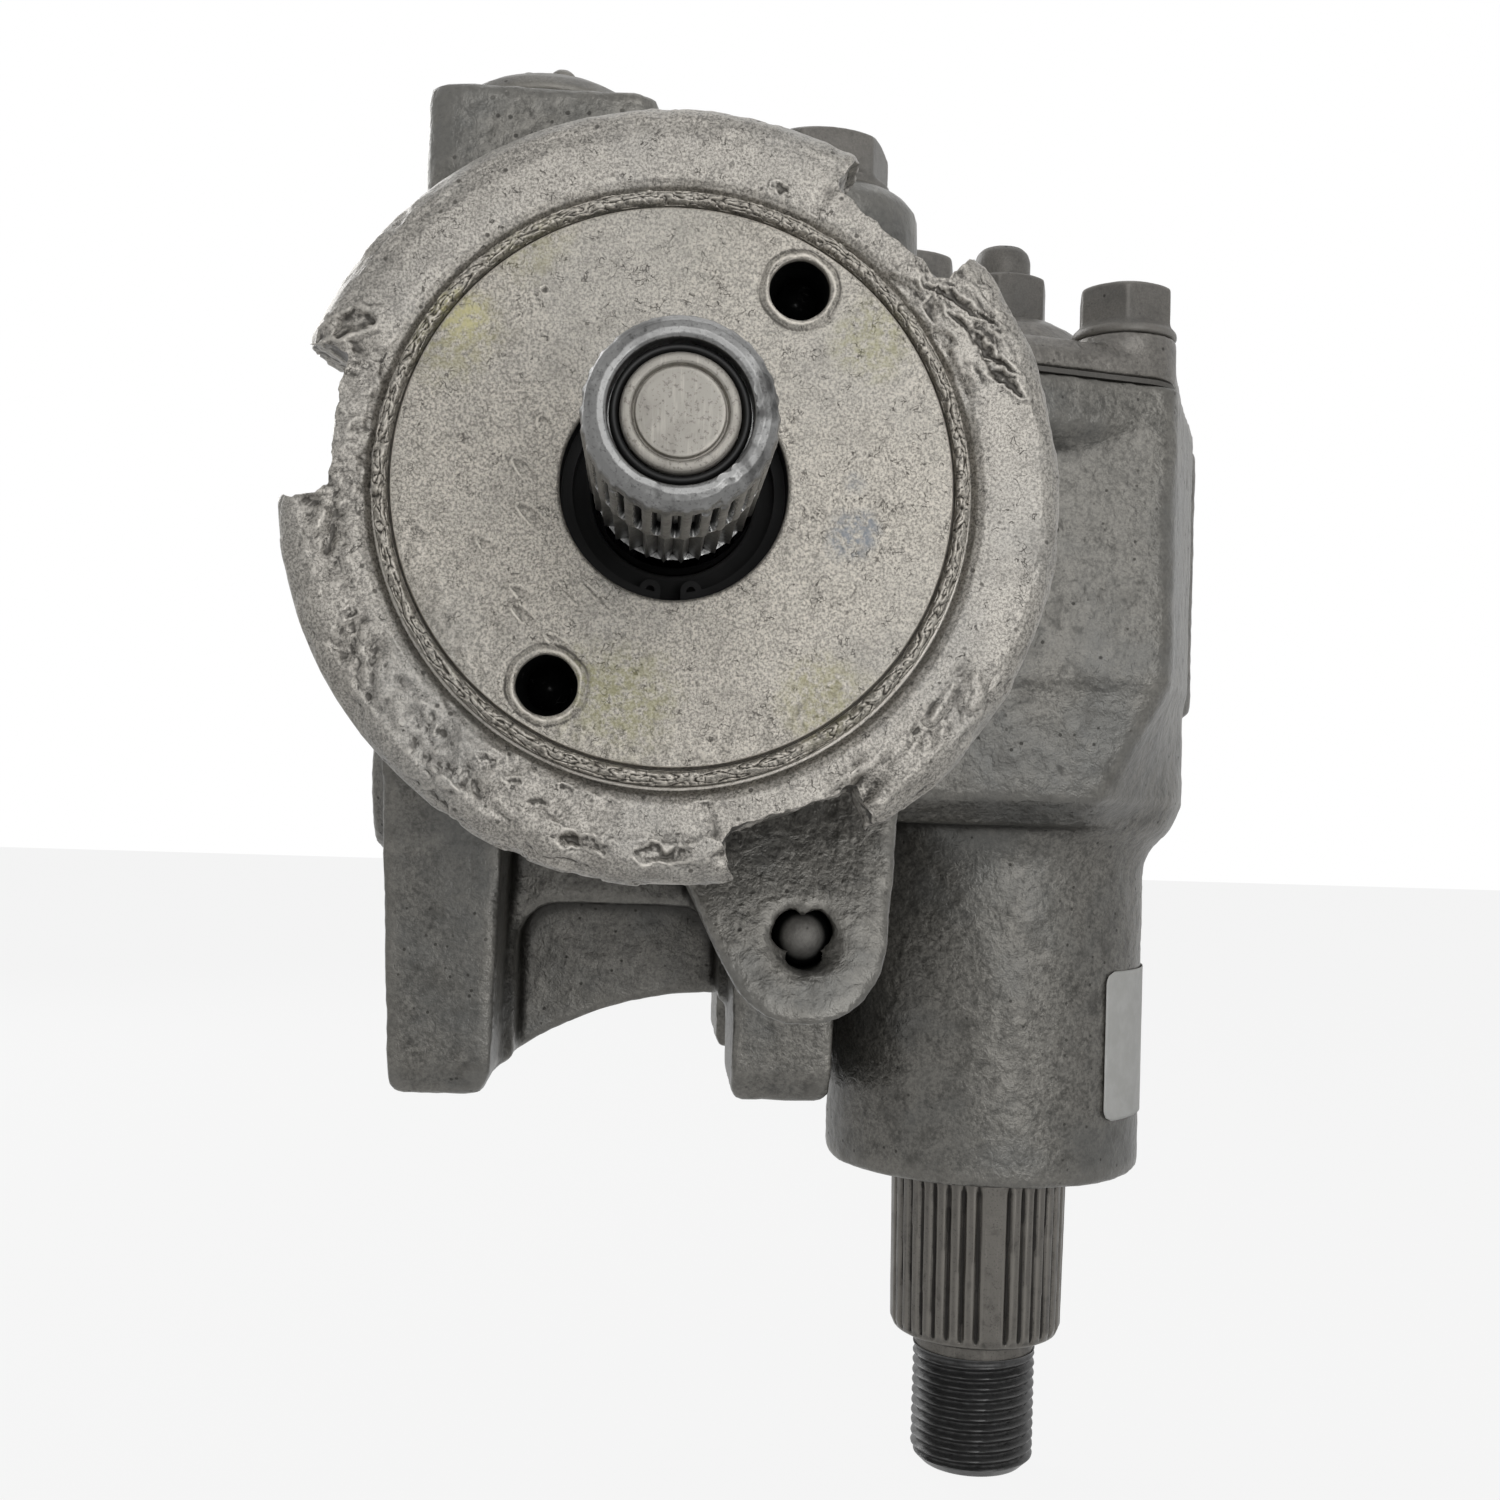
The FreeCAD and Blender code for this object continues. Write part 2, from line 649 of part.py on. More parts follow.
def input_shaft():
    """The serrated input shaft, bored for the torsion bar, with its tang at the inner end."""
    cone_r = SERRATION_R - 1.3
    profile = [
        (0, 0.0), (cone_r, 0.0), (SERRATION_R - 0.5, 0.5), (SERRATION_R, 1.6),
        (SERRATION_R, TEETH_END_Y - 1.2), (INPUT_NECK_R, TEETH_END_Y),
        (INPUT_NECK_R, JOURNAL_START_Y - 1.0), (INPUT_JOURNAL_R, JOURNAL_START_Y),
        (INPUT_JOURNAL_R, JOURNAL_END_Y), (SPOOL_SEAT_R, JOURNAL_END_Y),
        (SPOOL_SEAT_R, TANG_START_Y), (TANG_R, TANG_START_Y), (TANG_R, TANG_END_Y),
        (0, TANG_END_Y),
    ]
    shaft = turned_about_y(profile)
    narrow = radial_grooves(SERRATION_COUNT, SERRATION_R, SERRATION_DEPTH, 2.6,
                            COLLAR_END_Y, SLOT_END_Y)
    wide = radial_grooves(SERRATION_COUNT, SERRATION_R, SERRATION_DEPTH, 5.2,
                          SLOT_END_Y, TEETH_END_Y + 0.5)
    shaft = shaft.cut(narrow).cut(wide)
    for side in (-1, 1):
        flat = box((-TANG_R - 1, TANG_START_Y, TANG_HALF_WIDTH),
                   (TANG_R + 1, TANG_END_Y + 1, TANG_R + 1))
        if side < 0:
            flat.rotate(V(0, 0, 0), ALONG_Y, 180)
        shaft = shaft.cut(flat)
    bore = turned_about_y([
        (0, -1.0), (TIP_SEAL_R, -1.0), (TIP_SEAL_R, TIP_SEAL_DEPTH),
        (TORSION_HEAD_R + SEAT_FIT, TIP_SEAL_DEPTH),
        (TORSION_HEAD_R + SEAT_FIT, TORSION_HEAD_END_Y + 0.5),
        (INPUT_BORE_R, TORSION_HEAD_END_Y + 1.5), (INPUT_BORE_R, TANG_END_Y + 1),
        (0, TANG_END_Y + 1),
    ])
    return shaft.cut(bore).cut(upper_pin_hole())


def upper_pin_hole():
    return cross_pin(DRIVE_PIN_R + SEAT_FIT, UPPER_PIN_Y, SERRATION_R + 1)


def cross_pin(radius, y, half_length):
    return Part.makeCylinder(radius, 2 * half_length, V(-half_length, y, 0), ALONG_X)


def torsion_bar():
    """The slim spring bar that joins the input shaft to the worm."""
    head = TORSION_HEAD_R
    foot = TORSION_FOOT_R
    profile = [
        (0, 0.5), (4.05, 0.5), (4.05, 0.95), (4.35, 0.95), (4.35, 0.5), (head - 0.4, 0.5),
        (head, 0.9), (head, TORSION_HEAD_END_Y - 3), (TORSION_SPRING_R, TORSION_HEAD_END_Y),
        (TORSION_SPRING_R, TORSION_FOOT_Y - 3), (foot, TORSION_FOOT_Y),
        (foot, TORSION_FOOT_END_Y), (0, TORSION_FOOT_END_Y),
    ]
    bar = turned_about_y(profile)
    bar = bar.cut(cross_pin(DRIVE_PIN_R + SEAT_FIT, UPPER_PIN_Y, head + 1))
    return bar.cut(cross_pin(DRIVE_PIN_R + 0.75, LOWER_PIN_Y, foot + 1))


def torsion_bar_o_ring():
    return y_ring(TIP_SEAL_R - 0.04, TORSION_HEAD_R + 0.04, 0.8, TIP_SEAL_DEPTH - 0.1)


def upper_drive_pin():
    return cross_pin(DRIVE_PIN_R, UPPER_PIN_Y, SERRATION_R - SERRATION_DEPTH - 0.3)


def lower_drive_pin():
    return cross_pin(DRIVE_PIN_R, LOWER_PIN_Y, LOWER_PIN_HALF_LENGTH)


def valve_spool():
    """The grooved spool that turns with the input shaft inside the sleeve."""
    outer = SLEEVE_BORE_R - RUN_FIT
    spool = y_ring(outer, SPOOL_SEAT_R + SEAT_FIT, SPOOL_START_Y, SPOOL_END_Y)
    slots = []
    for index in range(VALVE_LAND_COUNT):
        angle = 360 * index / VALVE_LAND_COUNT
        slot = box((outer - 1.1, SPOOL_START_Y + 3, -1.6), (outer + 1, SPOOL_END_Y - 3, 1.6))
        slot.rotate(V(0, 0, 0), ALONG_Y, angle)
        slots.append(slot)
    return spool.cut(Part.Compound(slots))


def sleeve_ring_places():
    step = (SLEEVE_LENGTH - SLEEVE_RING_WIDTH - 3.0) / (SLEEVE_RING_COUNT - 1)
    return [SLEEVE_START_Y + 1.5 + step * index for index in range(SLEEVE_RING_COUNT)]


def valve_sleeve():
    """The ported sleeve round the spool, with seal-ring and oil grooves outside."""
    outer = VALVE_BORE_R - 0.1
    sleeve = y_ring(outer, SLEEVE_BORE_R, SLEEVE_START_Y, SLEEVE_END_Y - SEAT_FIT)
    places = sleeve_ring_places()
    cuts = []
    for start in places:
        cuts.append(y_ring(outer + 1, outer - SLEEVE_RING_DEPTH, start,
                           start + SLEEVE_RING_WIDTH))
    for before, after in zip(places[:-1], places[1:]):
        middle = (before + SLEEVE_RING_WIDTH + after) / 2
        cuts.append(y_ring(outer + 1, outer - 1.4, middle - 1.6, middle + 1.6))
        for index in range(4):
            angle = math.radians(90 * index + 45)
            away = V(math.cos(angle), 0, math.sin(angle))
            begin = away * (SLEEVE_BORE_R - 1)
            begin.y = middle
            cuts.append(Part.makeCylinder(1.3, outer - SLEEVE_BORE_R + 2, begin, away))
    slots = []
    for index in range(VALVE_LAND_COUNT):
        angle = 360 * (index + 0.5) / VALVE_LAND_COUNT
        slot = box((SLEEVE_BORE_R - 1, SLEEVE_START_Y + 5, -1.6),
                   (SLEEVE_BORE_R + 1.2, SLEEVE_END_Y - 8, 1.6))
        slot.rotate(V(0, 0, 0), ALONG_Y, angle)
        slots.append(slot)
    sleeve = sleeve.cut(Part.Compound(cuts)).cut(Part.Compound(slots))
    return sleeve.cut(sleeve_pin_blank(SEAT_FIT))


def sleeve_pin_blank(spare):
    """A pin that sticks out of the worm's flange into the sleeve's end face."""
    start = SLEEVE_PIN_Y - spare
    end = WORM_FLANGE_Y + WORM_FLANGE_LENGTH - 1.0
    return y_cylinder(SLEEVE_PIN_R + spare, start, end + spare, 0.0, SLEEVE_PIN_Z)


def valve_sleeve_pin():
    return sleeve_pin_blank(0.0)


def valve_sleeve_rings():
    outer = VALVE_BORE_R - RUN_FIT
    inner = VALVE_BORE_R - 0.1 - SLEEVE_RING_DEPTH + 0.05
    rings = []
    for start in sleeve_ring_places():
        rings.append(y_ring(outer, inner, start + 0.05, start + SLEEVE_RING_WIDTH - 0.05))
    return Part.Compound(rings)


def worm_shaft():
    """The worm: a flange for the valve, a bored head and the ball groove."""
    flange_end = WORM_FLANGE_Y + WORM_FLANGE_LENGTH
    root_r = BALL_CIRCLE_R - BALL_R
    groove_start = BALL_TRACK_START_Y - WORM_LEAD_IN_TURNS * LEAD
    groove_turns = (WORM_END_Y + LEAD - groove_start) / LEAD
    blank = y_cylinder(WORM_R, WORM_FLANGE_Y, WORM_END_Y + 2 * LEAD)
    groove = helix_tube(BALL_R, BALL_CIRCLE_R, LEAD, groove_start, groove_turns, 180)
    blank = blank.cut(groove)
    outline = turned_about_y([
        (0, WORM_FLANGE_Y - 1), (WORM_R + 1, WORM_FLANGE_Y - 1), (WORM_R + 1, WORM_END_Y - 2),
        (WORM_R, WORM_END_Y - 2), (root_r, WORM_END_Y), (0, WORM_END_Y),
    ])
    worm = blank.common(outline)
    worm = worm.fuse(y_cylinder(WORM_FLANGE_R, WORM_FLANGE_Y, flange_end))
    socket_r = TANG_R + TANG_FREEDOM
    socket_end = TANG_END_Y + TANG_END_GAP
    socket = y_cylinder(socket_r, WORM_FLANGE_Y - 1, socket_end)
    half_width = TANG_HALF_WIDTH + TANG_FREEDOM
    slab = box((-socket_r, WORM_FLANGE_Y - 2, -half_width),
               (socket_r, socket_end + 1, half_width))
    swings = []
    for side in (-1, 1):
        turned = slab.copy()
        turned.rotate(V(0, 0, 0), ALONG_Y, side * TANG_SWING_DEG)
        swings.append(turned)
    socket = socket.common(swings[0].fuse(swings[1]))
    foot_bore = y_cylinder(TORSION_FOOT_R + RUN_FIT, TANG_END_Y - 2,
                           TORSION_FOOT_END_Y + TANG_END_GAP)
    worm = worm.cut(socket).cut(foot_bore)
    pin_hole = cross_pin(DRIVE_PIN_R + SEAT_FIT, LOWER_PIN_Y, LOWER_PIN_HALF_LENGTH + FACE_GAP)
    worm = worm.cut(pin_hole)
    return worm.cut(sleeve_pin_blank(SEAT_FIT))


def rack_space_outline(grow):
    """The rack's tooth spaces and the clear side beyond them, seen from above."""
    pitch = math.pi * MODULE
    tan_p = math.tan(math.radians(PRESSURE_DEG))
    pitch_x = PITMAN_X - SECTOR_PITCH_R
    tip_x = pitch_x + ADDENDUM
    root_x = pitch_x - DEDENDUM
    half_tip = pitch / 4 + ADDENDUM * tan_p + grow
    half_root = pitch / 4 - DEDENDUM * tan_p + grow
    far_x = PISTON_BORE_R + 4
    solids = []
    for index in range(-1, SECTOR_TEETH - 1):
        y = PITMAN_Y + index * pitch
        points = [V(root_x, y - half_root, 0), V(tip_x, y - half_tip, 0),
                  V(far_x, y - half_tip, 0), V(far_x, y + half_tip, 0),
                  V(tip_x, y + half_tip, 0), V(root_x, y + half_root, 0)]
        solids.append(closed_face(points))
    return solids, tip_x, far_x


def rack_piston():
    """The piston that is also the ball nut, with the rack cut into its side."""
    outer = PISTON_BORE_R - RUN_FIT
    profile = [
        (0, PISTON_FRONT_Y), (outer - 2, PISTON_FRONT_Y), (outer, PISTON_FRONT_Y + 2),
        (outer, PISTON_RING_Y), (outer - PISTON_RING_DEPTH, PISTON_RING_Y),
        (outer - PISTON_RING_DEPTH, PISTON_RING_Y + PISTON_RING_WIDTH),
        (outer, PISTON_RING_Y + PISTON_RING_WIDTH), (outer, PISTON_END_Y - 1.5),
        (outer - 1.5, PISTON_END_Y), (0, PISTON_END_Y),
    ]
    piston = turned_about_y(profile)
    spaces, tip_x, far_x = rack_space_outline(BACKLASH / 2)
    half = SECTOR_HALF_WIDTH + 1.2
    cuts = []
    for face in spaces:
        face.translate(V(0, 0, -half))
        cuts.append(face.extrude(V(0, 0, 2 * half)))
    rack_half = (SECTOR_TEETH / 2 + 0.25) * math.pi * MODULE
    cuts.append(box((tip_x, PISTON_FRONT_Y - 1, -half), (far_x, PITMAN_Y + rack_half, half)))
    piston = piston.cut(Part.Compound(cuts[:SECTOR_TEETH])).cut(cuts[SECTOR_TEETH])
    nut_end = BALL_TRACK_START_Y + BALL_TRACK_LENGTH + 6
    piston = piston.cut(y_cylinder(NUT_BORE_R, PISTON_FRONT_Y - 1, nut_end + 20))
    plug_start = PISTON_END_Y - PISTON_PLUG_LENGTH
    piston = piston.cut(y_cylinder(NUT_BORE_R + 2.4, nut_end, plug_start + 1))
    piston = piston.cut(y_cylinder(PISTON_PLUG_R + SEAT_FIT, plug_start, PISTON_END_Y + 1))
    groove = helix_tube(BALL_R, BALL_CIRCLE_R, LEAD, BALL_TRACK_START_Y, BALL_TURNS, 0)
    piston = piston.cut(groove)
    flat = box((-PISTON_BORE_R - 2, PISTON_FRONT_Y - 1, -PISTON_BORE_R),
               (GUIDE_FLAT_X, GUIDE_FLAT_END_Y, PISTON_BORE_R))
    piston = piston.cut(flat)
    return piston.cut(guide_channel(GUIDE_TUBE_R + SEAT_FIT, 0.1)).cut(clamp_screw_holes())


def guide_path():
    """The middle line of the U-shaped return tube: out, along the flat and back in."""
    first, last = GUIDE_PORT_Y
    bend = GUIDE_BEND_R
    lean = bend * (1 - math.cos(math.pi / 4))
    points = [V(GUIDE_LEG_X, first, 0), V(GUIDE_CREST_X + bend, first, 0),
              V(GUIDE_CREST_X + lean, first + lean, 0), V(GUIDE_CREST_X, first + bend, 0),
              V(GUIDE_CREST_X, last - bend, 0), V(GUIDE_CREST_X + lean, last - lean, 0),
              V(GUIDE_CREST_X + bend, last, 0), V(GUIDE_LEG_X, last, 0)]
    edges = [Part.LineSegment(points[0], points[1]).toShape(),
             Part.Arc(points[1], points[2], points[3]).toShape(),
             Part.LineSegment(points[3], points[4]).toShape(),
             Part.Arc(points[4], points[5], points[6]).toShape(),
             Part.LineSegment(points[6], points[7]).toShape()]
    return Part.Wire(edges)


def guide_channel(radius, deeper):
    path = guide_path()
    start = V(GUIDE_LEG_X, GUIDE_PORT_Y[0], 0)
    section = Part.Wire(Part.Circle(start, ALONG_X, radius).toShape())
    tube = path.makePipeShell([section], True, True)
    legs = []
    if deeper > 0:
        for y in GUIDE_PORT_Y:
            legs.append(Part.makeCylinder(radius, deeper + 4.6, V(GUIDE_LEG_X - 0.2, y, 0),
                                          ALONG_X))
    return tube.multiFuse(legs) if legs else tube


def ball_guide():
    """The tube that carries the balls from one end of their track to the other."""
    tube = guide_channel(GUIDE_TUBE_R, 0.0)
    inside = guide_channel(GUIDE_TUBE_R - 0.6, 0.0)
    return tube.cut(inside)


def guide_ball_places():
    """Balls in the straight stretch of the return tube."""
    middle = GUIDE_MIDDLE_Y
    return [V(GUIDE_CREST_X, middle + BALL_SPACING * offset, 0) for offset in (-1, 0, 1)]


def recirculating_balls():
    """Balls spread along the loaded turns, with more in the return tube."""
    radius = BALL_R - BALL_FREEDOM
    balls = []
    turn_length = math.hypot(2 * math.pi * BALL_CIRCLE_R, LEAD)
    first = 0.6
    last = BALL_TURNS - 0.1
    count = int((last - first) * turn_length / BALL_SPACING)
    for index in range(count + 1):
        turns = first + (last - first) * index / count
        balls.append(Part.makeSphere(radius, helix_point(BALL_CIRCLE_R, turns)))
    for place in guide_ball_places():
        balls.append(Part.makeSphere(radius, place))
    return Part.Compound(balls)


def clamp_screw_holes():
    holes = []
    middle = GUIDE_MIDDLE_Y
    for side in (-1, 1):
        start = V(GUIDE_FLAT_X - 1, middle, side * CLAMP_SCREW_Z)
        holes.append(Part.makeCylinder(CLAMP_SCREW_R + SEAT_FIT, CLAMP_SCREW_LENGTH, start,
                                       ALONG_X))
    return Part.Compound(holes)


def guide_clamp():
    """A bent strap over the return tube, with an ear on each side."""
    middle = GUIDE_MIDDLE_Y
    low_y = middle - CLAMP_HALF_LENGTH
    high_y = middle + CLAMP_HALF_LENGTH
    inner = GUIDE_TUBE_R + SEAT_FIT
    outer = inner + CLAMP_THICKNESS
    arch = y_ring(outer, inner, low_y, high_y)
    arch = arch.cut(box((0, low_y - 1, -outer - 1), (outer + 1, high_y + 1, outer + 1)))
    arch.translate(V(GUIDE_CREST_X, 0, 0))
    pieces = []
    flat_x = GUIDE_FLAT_X - SEAT_FIT
    for side in (-1, 1):
        z0, z1 = sorted((side * inner, side * outer))
        pieces.append(box((GUIDE_CREST_X, low_y, z0), (flat_x, high_y, z1)))
        z0, z1 = sorted((side * inner, side * (CLAMP_SCREW_Z + 4)))
        pieces.append(box((flat_x - CLAMP_THICKNESS, low_y, z0), (flat_x, high_y, z1)))
    clamp = joined(arch, pieces)
    for side in (-1, 1):
        start = V(flat_x - 3, middle, side * CLAMP_SCREW_Z)
        clamp = clamp.cut(Part.makeCylinder(CLAMP_SCREW_R + FACE_GAP, 6, start, ALONG_X))
    return clamp


def clamp_screws():
    middle = GUIDE_MIDDLE_Y
    head_x = GUIDE_FLAT_X - 2 * SEAT_FIT - CLAMP_THICKNESS
    screws = []
    for side in (-1, 1):
        z = side * CLAMP_SCREW_Z
        shank = Part.makeCylinder(CLAMP_SCREW_R, CLAMP_SCREW_LENGTH, V(head_x, middle, z),
                                  ALONG_X)
        head = Part.makeCylinder(4.0, 2.4, V(head_x - 2.4, middle, z), ALONG_X)
        slot = box((head_x - 3, middle - 5, z - 0.5), (head_x - 1.4, middle + 5, z + 0.5))
        screws.append(head.fuse(shank).cut(slot))
    return Part.Compound(screws)


def piston_end_plug():
    start = PISTON_END_Y - PISTON_PLUG_LENGTH + SEAT_FIT
    plug = y_cylinder(PISTON_PLUG_R, start, PISTON_END_Y)
    socket = box((-6.35, PISTON_END_Y - 5, -6.35), (6.35, PISTON_END_Y + 1, 6.35))
    return plug.cut(socket)


def piston_ring():
    outer = PISTON_BORE_R - 0.01
    inner = PISTON_BORE_R - RUN_FIT - PISTON_RING_DEPTH + 0.05
    start = PISTON_RING_Y + 0.05
    return y_ring(outer, inner, start, start + PISTON_RING_WIDTH - 0.1)


def involute_flank(base_r, from_r, to_r, side, offset):
    """Points of a tooth flank, from the base circle outwards."""
    points = []
    steps = 6
    for index in range(steps + 1):
        radius = from_r + (to_r - from_r) * index / steps
        turn = math.sqrt(max((radius / base_r) ** 2 - 1, 0.0))
        angle = offset + side * (turn - math.atan(turn))
        points.append((radius, angle))
    return points


def sector_gear():
    """The toothed sector in one piece with its hub, facing the rack at -X."""
    pressure = math.radians(PRESSURE_DEG)
    base_r = SECTOR_PITCH_R * math.cos(pressure)
    tip_r = SECTOR_PITCH_R + ADDENDUM
    root_r = SECTOR_PITCH_R - DEDENDUM
    roll = math.tan(pressure) - pressure
    half_pitch_angle = (math.pi * MODULE / 4 - BACKLASH / 2) / SECTOR_PITCH_R
    half_base_angle = half_pitch_angle + roll
    step = 2 * math.pi / TOOTH_COUNT_FULL
    gear = z_cylinder(root_r, -SECTOR_HALF_WIDTH, SECTOR_HALF_WIDTH)
    tail = box((PITMAN_X + 4, PITMAN_Y - 60, -60), (PITMAN_X + 60, PITMAN_Y + 60, 60))
    gear = gear.cut(tail)
    gear = gear.fuse(z_cylinder(SECTOR_HUB_R, -SECTOR_HALF_WIDTH, SECTOR_HALF_WIDTH))
    for index in range(-1, SECTOR_TEETH - 1):
        centre = math.pi + index * step
        left = involute_flank(base_r, base_r + 0.01, tip_r, 1, centre - half_base_angle)
        right = involute_flank(base_r, base_r + 0.01, tip_r, -1, centre + half_base_angle)
        inner_r = root_r - 2
        edges = []
        curves = []
        for flank in (left, right):
            points = [pitman_polar(radius, angle) for radius, angle in flank]
            curve = Part.BSplineCurve()
            curve.interpolate(points)
            curves.append((curve.toShape(), points[0], points[-1]))
        foot_left = pitman_polar(inner_r, left[0][1] - 0.03)
        foot_right = pitman_polar(inner_r, right[0][1] + 0.03)
        crown = pitman_polar(tip_r, centre)
        edges.append(Part.LineSegment(foot_left, curves[0][1]).toShape())
        edges.append(curves[0][0])
        edges.append(Part.Arc(curves[0][2], crown, curves[1][2]).toShape())
        edges.append(curves[1][0])
        edges.append(Part.LineSegment(curves[1][1], foot_right).toShape())
        edges.append(Part.LineSegment(foot_right, foot_left).toShape())
        wire = Part.Wire(Part.__sortEdges__(edges))
        tooth = Part.Face(wire).extrude(V(0, 0, 2 * SECTOR_HALF_WIDTH))
        gear = gear.fuse(tooth)
    return gear.removeSplitter()


def pitman_polar(radius, angle):
    return V(PITMAN_X + radius * math.cos(angle), PITMAN_Y + radius * math.sin(angle),
             -SECTOR_HALF_WIDTH)


def spline_grooves():
    """Tapered V grooves with a run-out at the top; wide lands stay at four places."""
    grooves = []
    between = SPLINE_COUNT // SPLINE_MASTERS
    half = math.radians(3.4)
    stations = ((SPLINE_BOTTOM_Z - 1, SPLINE_BOTTOM_R, SPLINE_DEPTH),
                (SPLINE_TOP_Z - 5, SPLINE_TOP_R, SPLINE_DEPTH),
                (SPLINE_TOP_Z - 1.5, SPLINE_TOP_R + 0.1, 0.1))
    for index in range(SPLINE_COUNT):
        if index % between == 0:
            continue
        middle = 2 * math.pi * index / SPLINE_COUNT
        sections = []
        for z, radius, depth in stations:
            points = []
            for reach, angle in ((radius - depth, middle), (radius + 0.5, middle - half),
                                 (radius + 0.5, middle + half)):
                points.append(V(PITMAN_X + reach * math.cos(angle),
                                PITMAN_Y + reach * math.sin(angle), z))
            sections.append(Part.makePolygon(points + [points[0]]))
        grooves.append(Part.makeLoft(sections, True, True))
    return Part.Compound(grooves)


def pitman_shaft():
    """The output shaft: sector teeth, journals, tapered splines and the nut's thread."""
    end_r = THREAD_R - THREAD_CHAMFER
    profile = [
        (0, UPPER_JOURNAL_TOP_Z), (UPPER_JOURNAL_R - 1, UPPER_JOURNAL_TOP_Z),
        (UPPER_JOURNAL_R, UPPER_JOURNAL_TOP_Z - 1), (UPPER_JOURNAL_R, 0),
        (JOURNAL_R, 0), (JOURNAL_R, SPLINE_TOP_Z + 2.5), (SPLINE_TOP_R, SPLINE_TOP_Z),
        (SPLINE_BOTTOM_R, SPLINE_BOTTOM_Z),
        (SPLINE_BOTTOM_R - SPLINE_CHAMFER * 0.3, SPLINE_BOTTOM_Z - SPLINE_CHAMFER * 0.7),
        (SPLINE_BOTTOM_R - SPLINE_CHAMFER, SPLINE_BOTTOM_Z - SPLINE_CHAMFER),
        (THREAD_R - 0.3, SPLINE_BOTTOM_Z - SPLINE_CHAMFER), (THREAD_R - 0.3, THREAD_TOP_Z),
        (THREAD_R, THREAD_TOP_Z), (THREAD_R, SHAFT_END_Z + THREAD_CHAMFER),
        (end_r, SHAFT_END_Z), (0, SHAFT_END_Z),
    ]
    shaft = turned_about_pitman(profile)
    shaft = shaft.fuse(sector_gear()).cut(spline_grooves())
    slot_low = ADJUSTER_HEAD_Z - FACE_GAP
    shaft = shaft.cut(z_cylinder(ADJUSTER_HEAD_R + 0.5, slot_low, UPPER_JOURNAL_TOP_Z + 1))
    return shaft.removeSplitter()


def lash_adjuster_screw():
    """The screw that sets the mesh: its head turns in the shaft's end."""
    top = ADJUSTER_TOP_Z
    head_top = ADJUSTER_HEAD_Z + ADJUSTER_HEAD_THICKNESS
    profile = [
        (0, ADJUSTER_HEAD_Z), (ADJUSTER_HEAD_R - 0.5, ADJUSTER_HEAD_Z),
        (ADJUSTER_HEAD_R, ADJUSTER_HEAD_Z + 0.5), (ADJUSTER_HEAD_R, head_top),
        (ADJUSTER_SCREW_R, head_top), (ADJUSTER_SCREW_R, top - 2.6),
        (ADJUSTER_SCREW_R - 0.4, top - 1.2), (ADJUSTER_SCREW_R - 1.4, top - 0.2),
        (ADJUSTER_SCREW_R - 2.6, top), (0, top),
    ]
    screw = turned_about_pitman(profile)
    socket = hexagon(4.76, top - 3.5, top + 1, PITMAN_X, PITMAN_Y)
    return screw.cut(socket)


def adjuster_retainer():
    """The pressed ring that keeps the adjuster's head in the shaft."""
    low = ADJUSTER_HEAD_Z + ADJUSTER_HEAD_THICKNESS + FACE_GAP
    outer = ADJUSTER_HEAD_R + 0.5 - SEAT_FIT
    return z_ring(outer, ADJUSTER_SCREW_R + 0.4, low, UPPER_JOURNAL_TOP_Z - 1.2)


def adjuster_lock_nut():
    low = COVER_DOME_TOP_Z + SEAT_FIT
    high = low + LOCK_NUT_HEIGHT
    nut = chamfered_hexagon(LOCK_NUT_AF, low, high, PITMAN_X, PITMAN_Y, 15)
    return nut.cut(z_cylinder(ADJUSTER_SCREW_R + SEAT_FIT, low - 1, high + 1))


def cover_bolt_places():
    return [(PITMAN_X + dx, PITMAN_Y + dy) for dx, dy in COVER_BOLTS]


def cover_circles(spare=0.0):
    """Circles whose outline is the side cover's, anticlockwise from the right front."""
    places = cover_bolt_places()
    boss = COVER_BOSS_R + spare
    main = (PITMAN_X, PITMAN_Y, BODY_RIGHT_R - COVER_INSET + spare)
    left = (PITMAN_X - 3.4, PITMAN_Y, CHAMBER_R + 1.2 + spare)
    return [places[0] + (boss,), main, places[1] + (boss,), places[3] + (boss,), left,
            places[2] + (boss,)]


def chamber_opening(low, high):
    """The sector's room: wide where the teeth swing, narrow round the hub."""
    wide = z_cylinder(CHAMBER_R, low, high)
    wide = wide.cut(box((PITMAN_X + 5, 0, low - 1), (PITMAN_X + 60, 300, high + 1)))
    return wide.fuse(z_cylinder(CHAMBER_HUB_R, low, high))


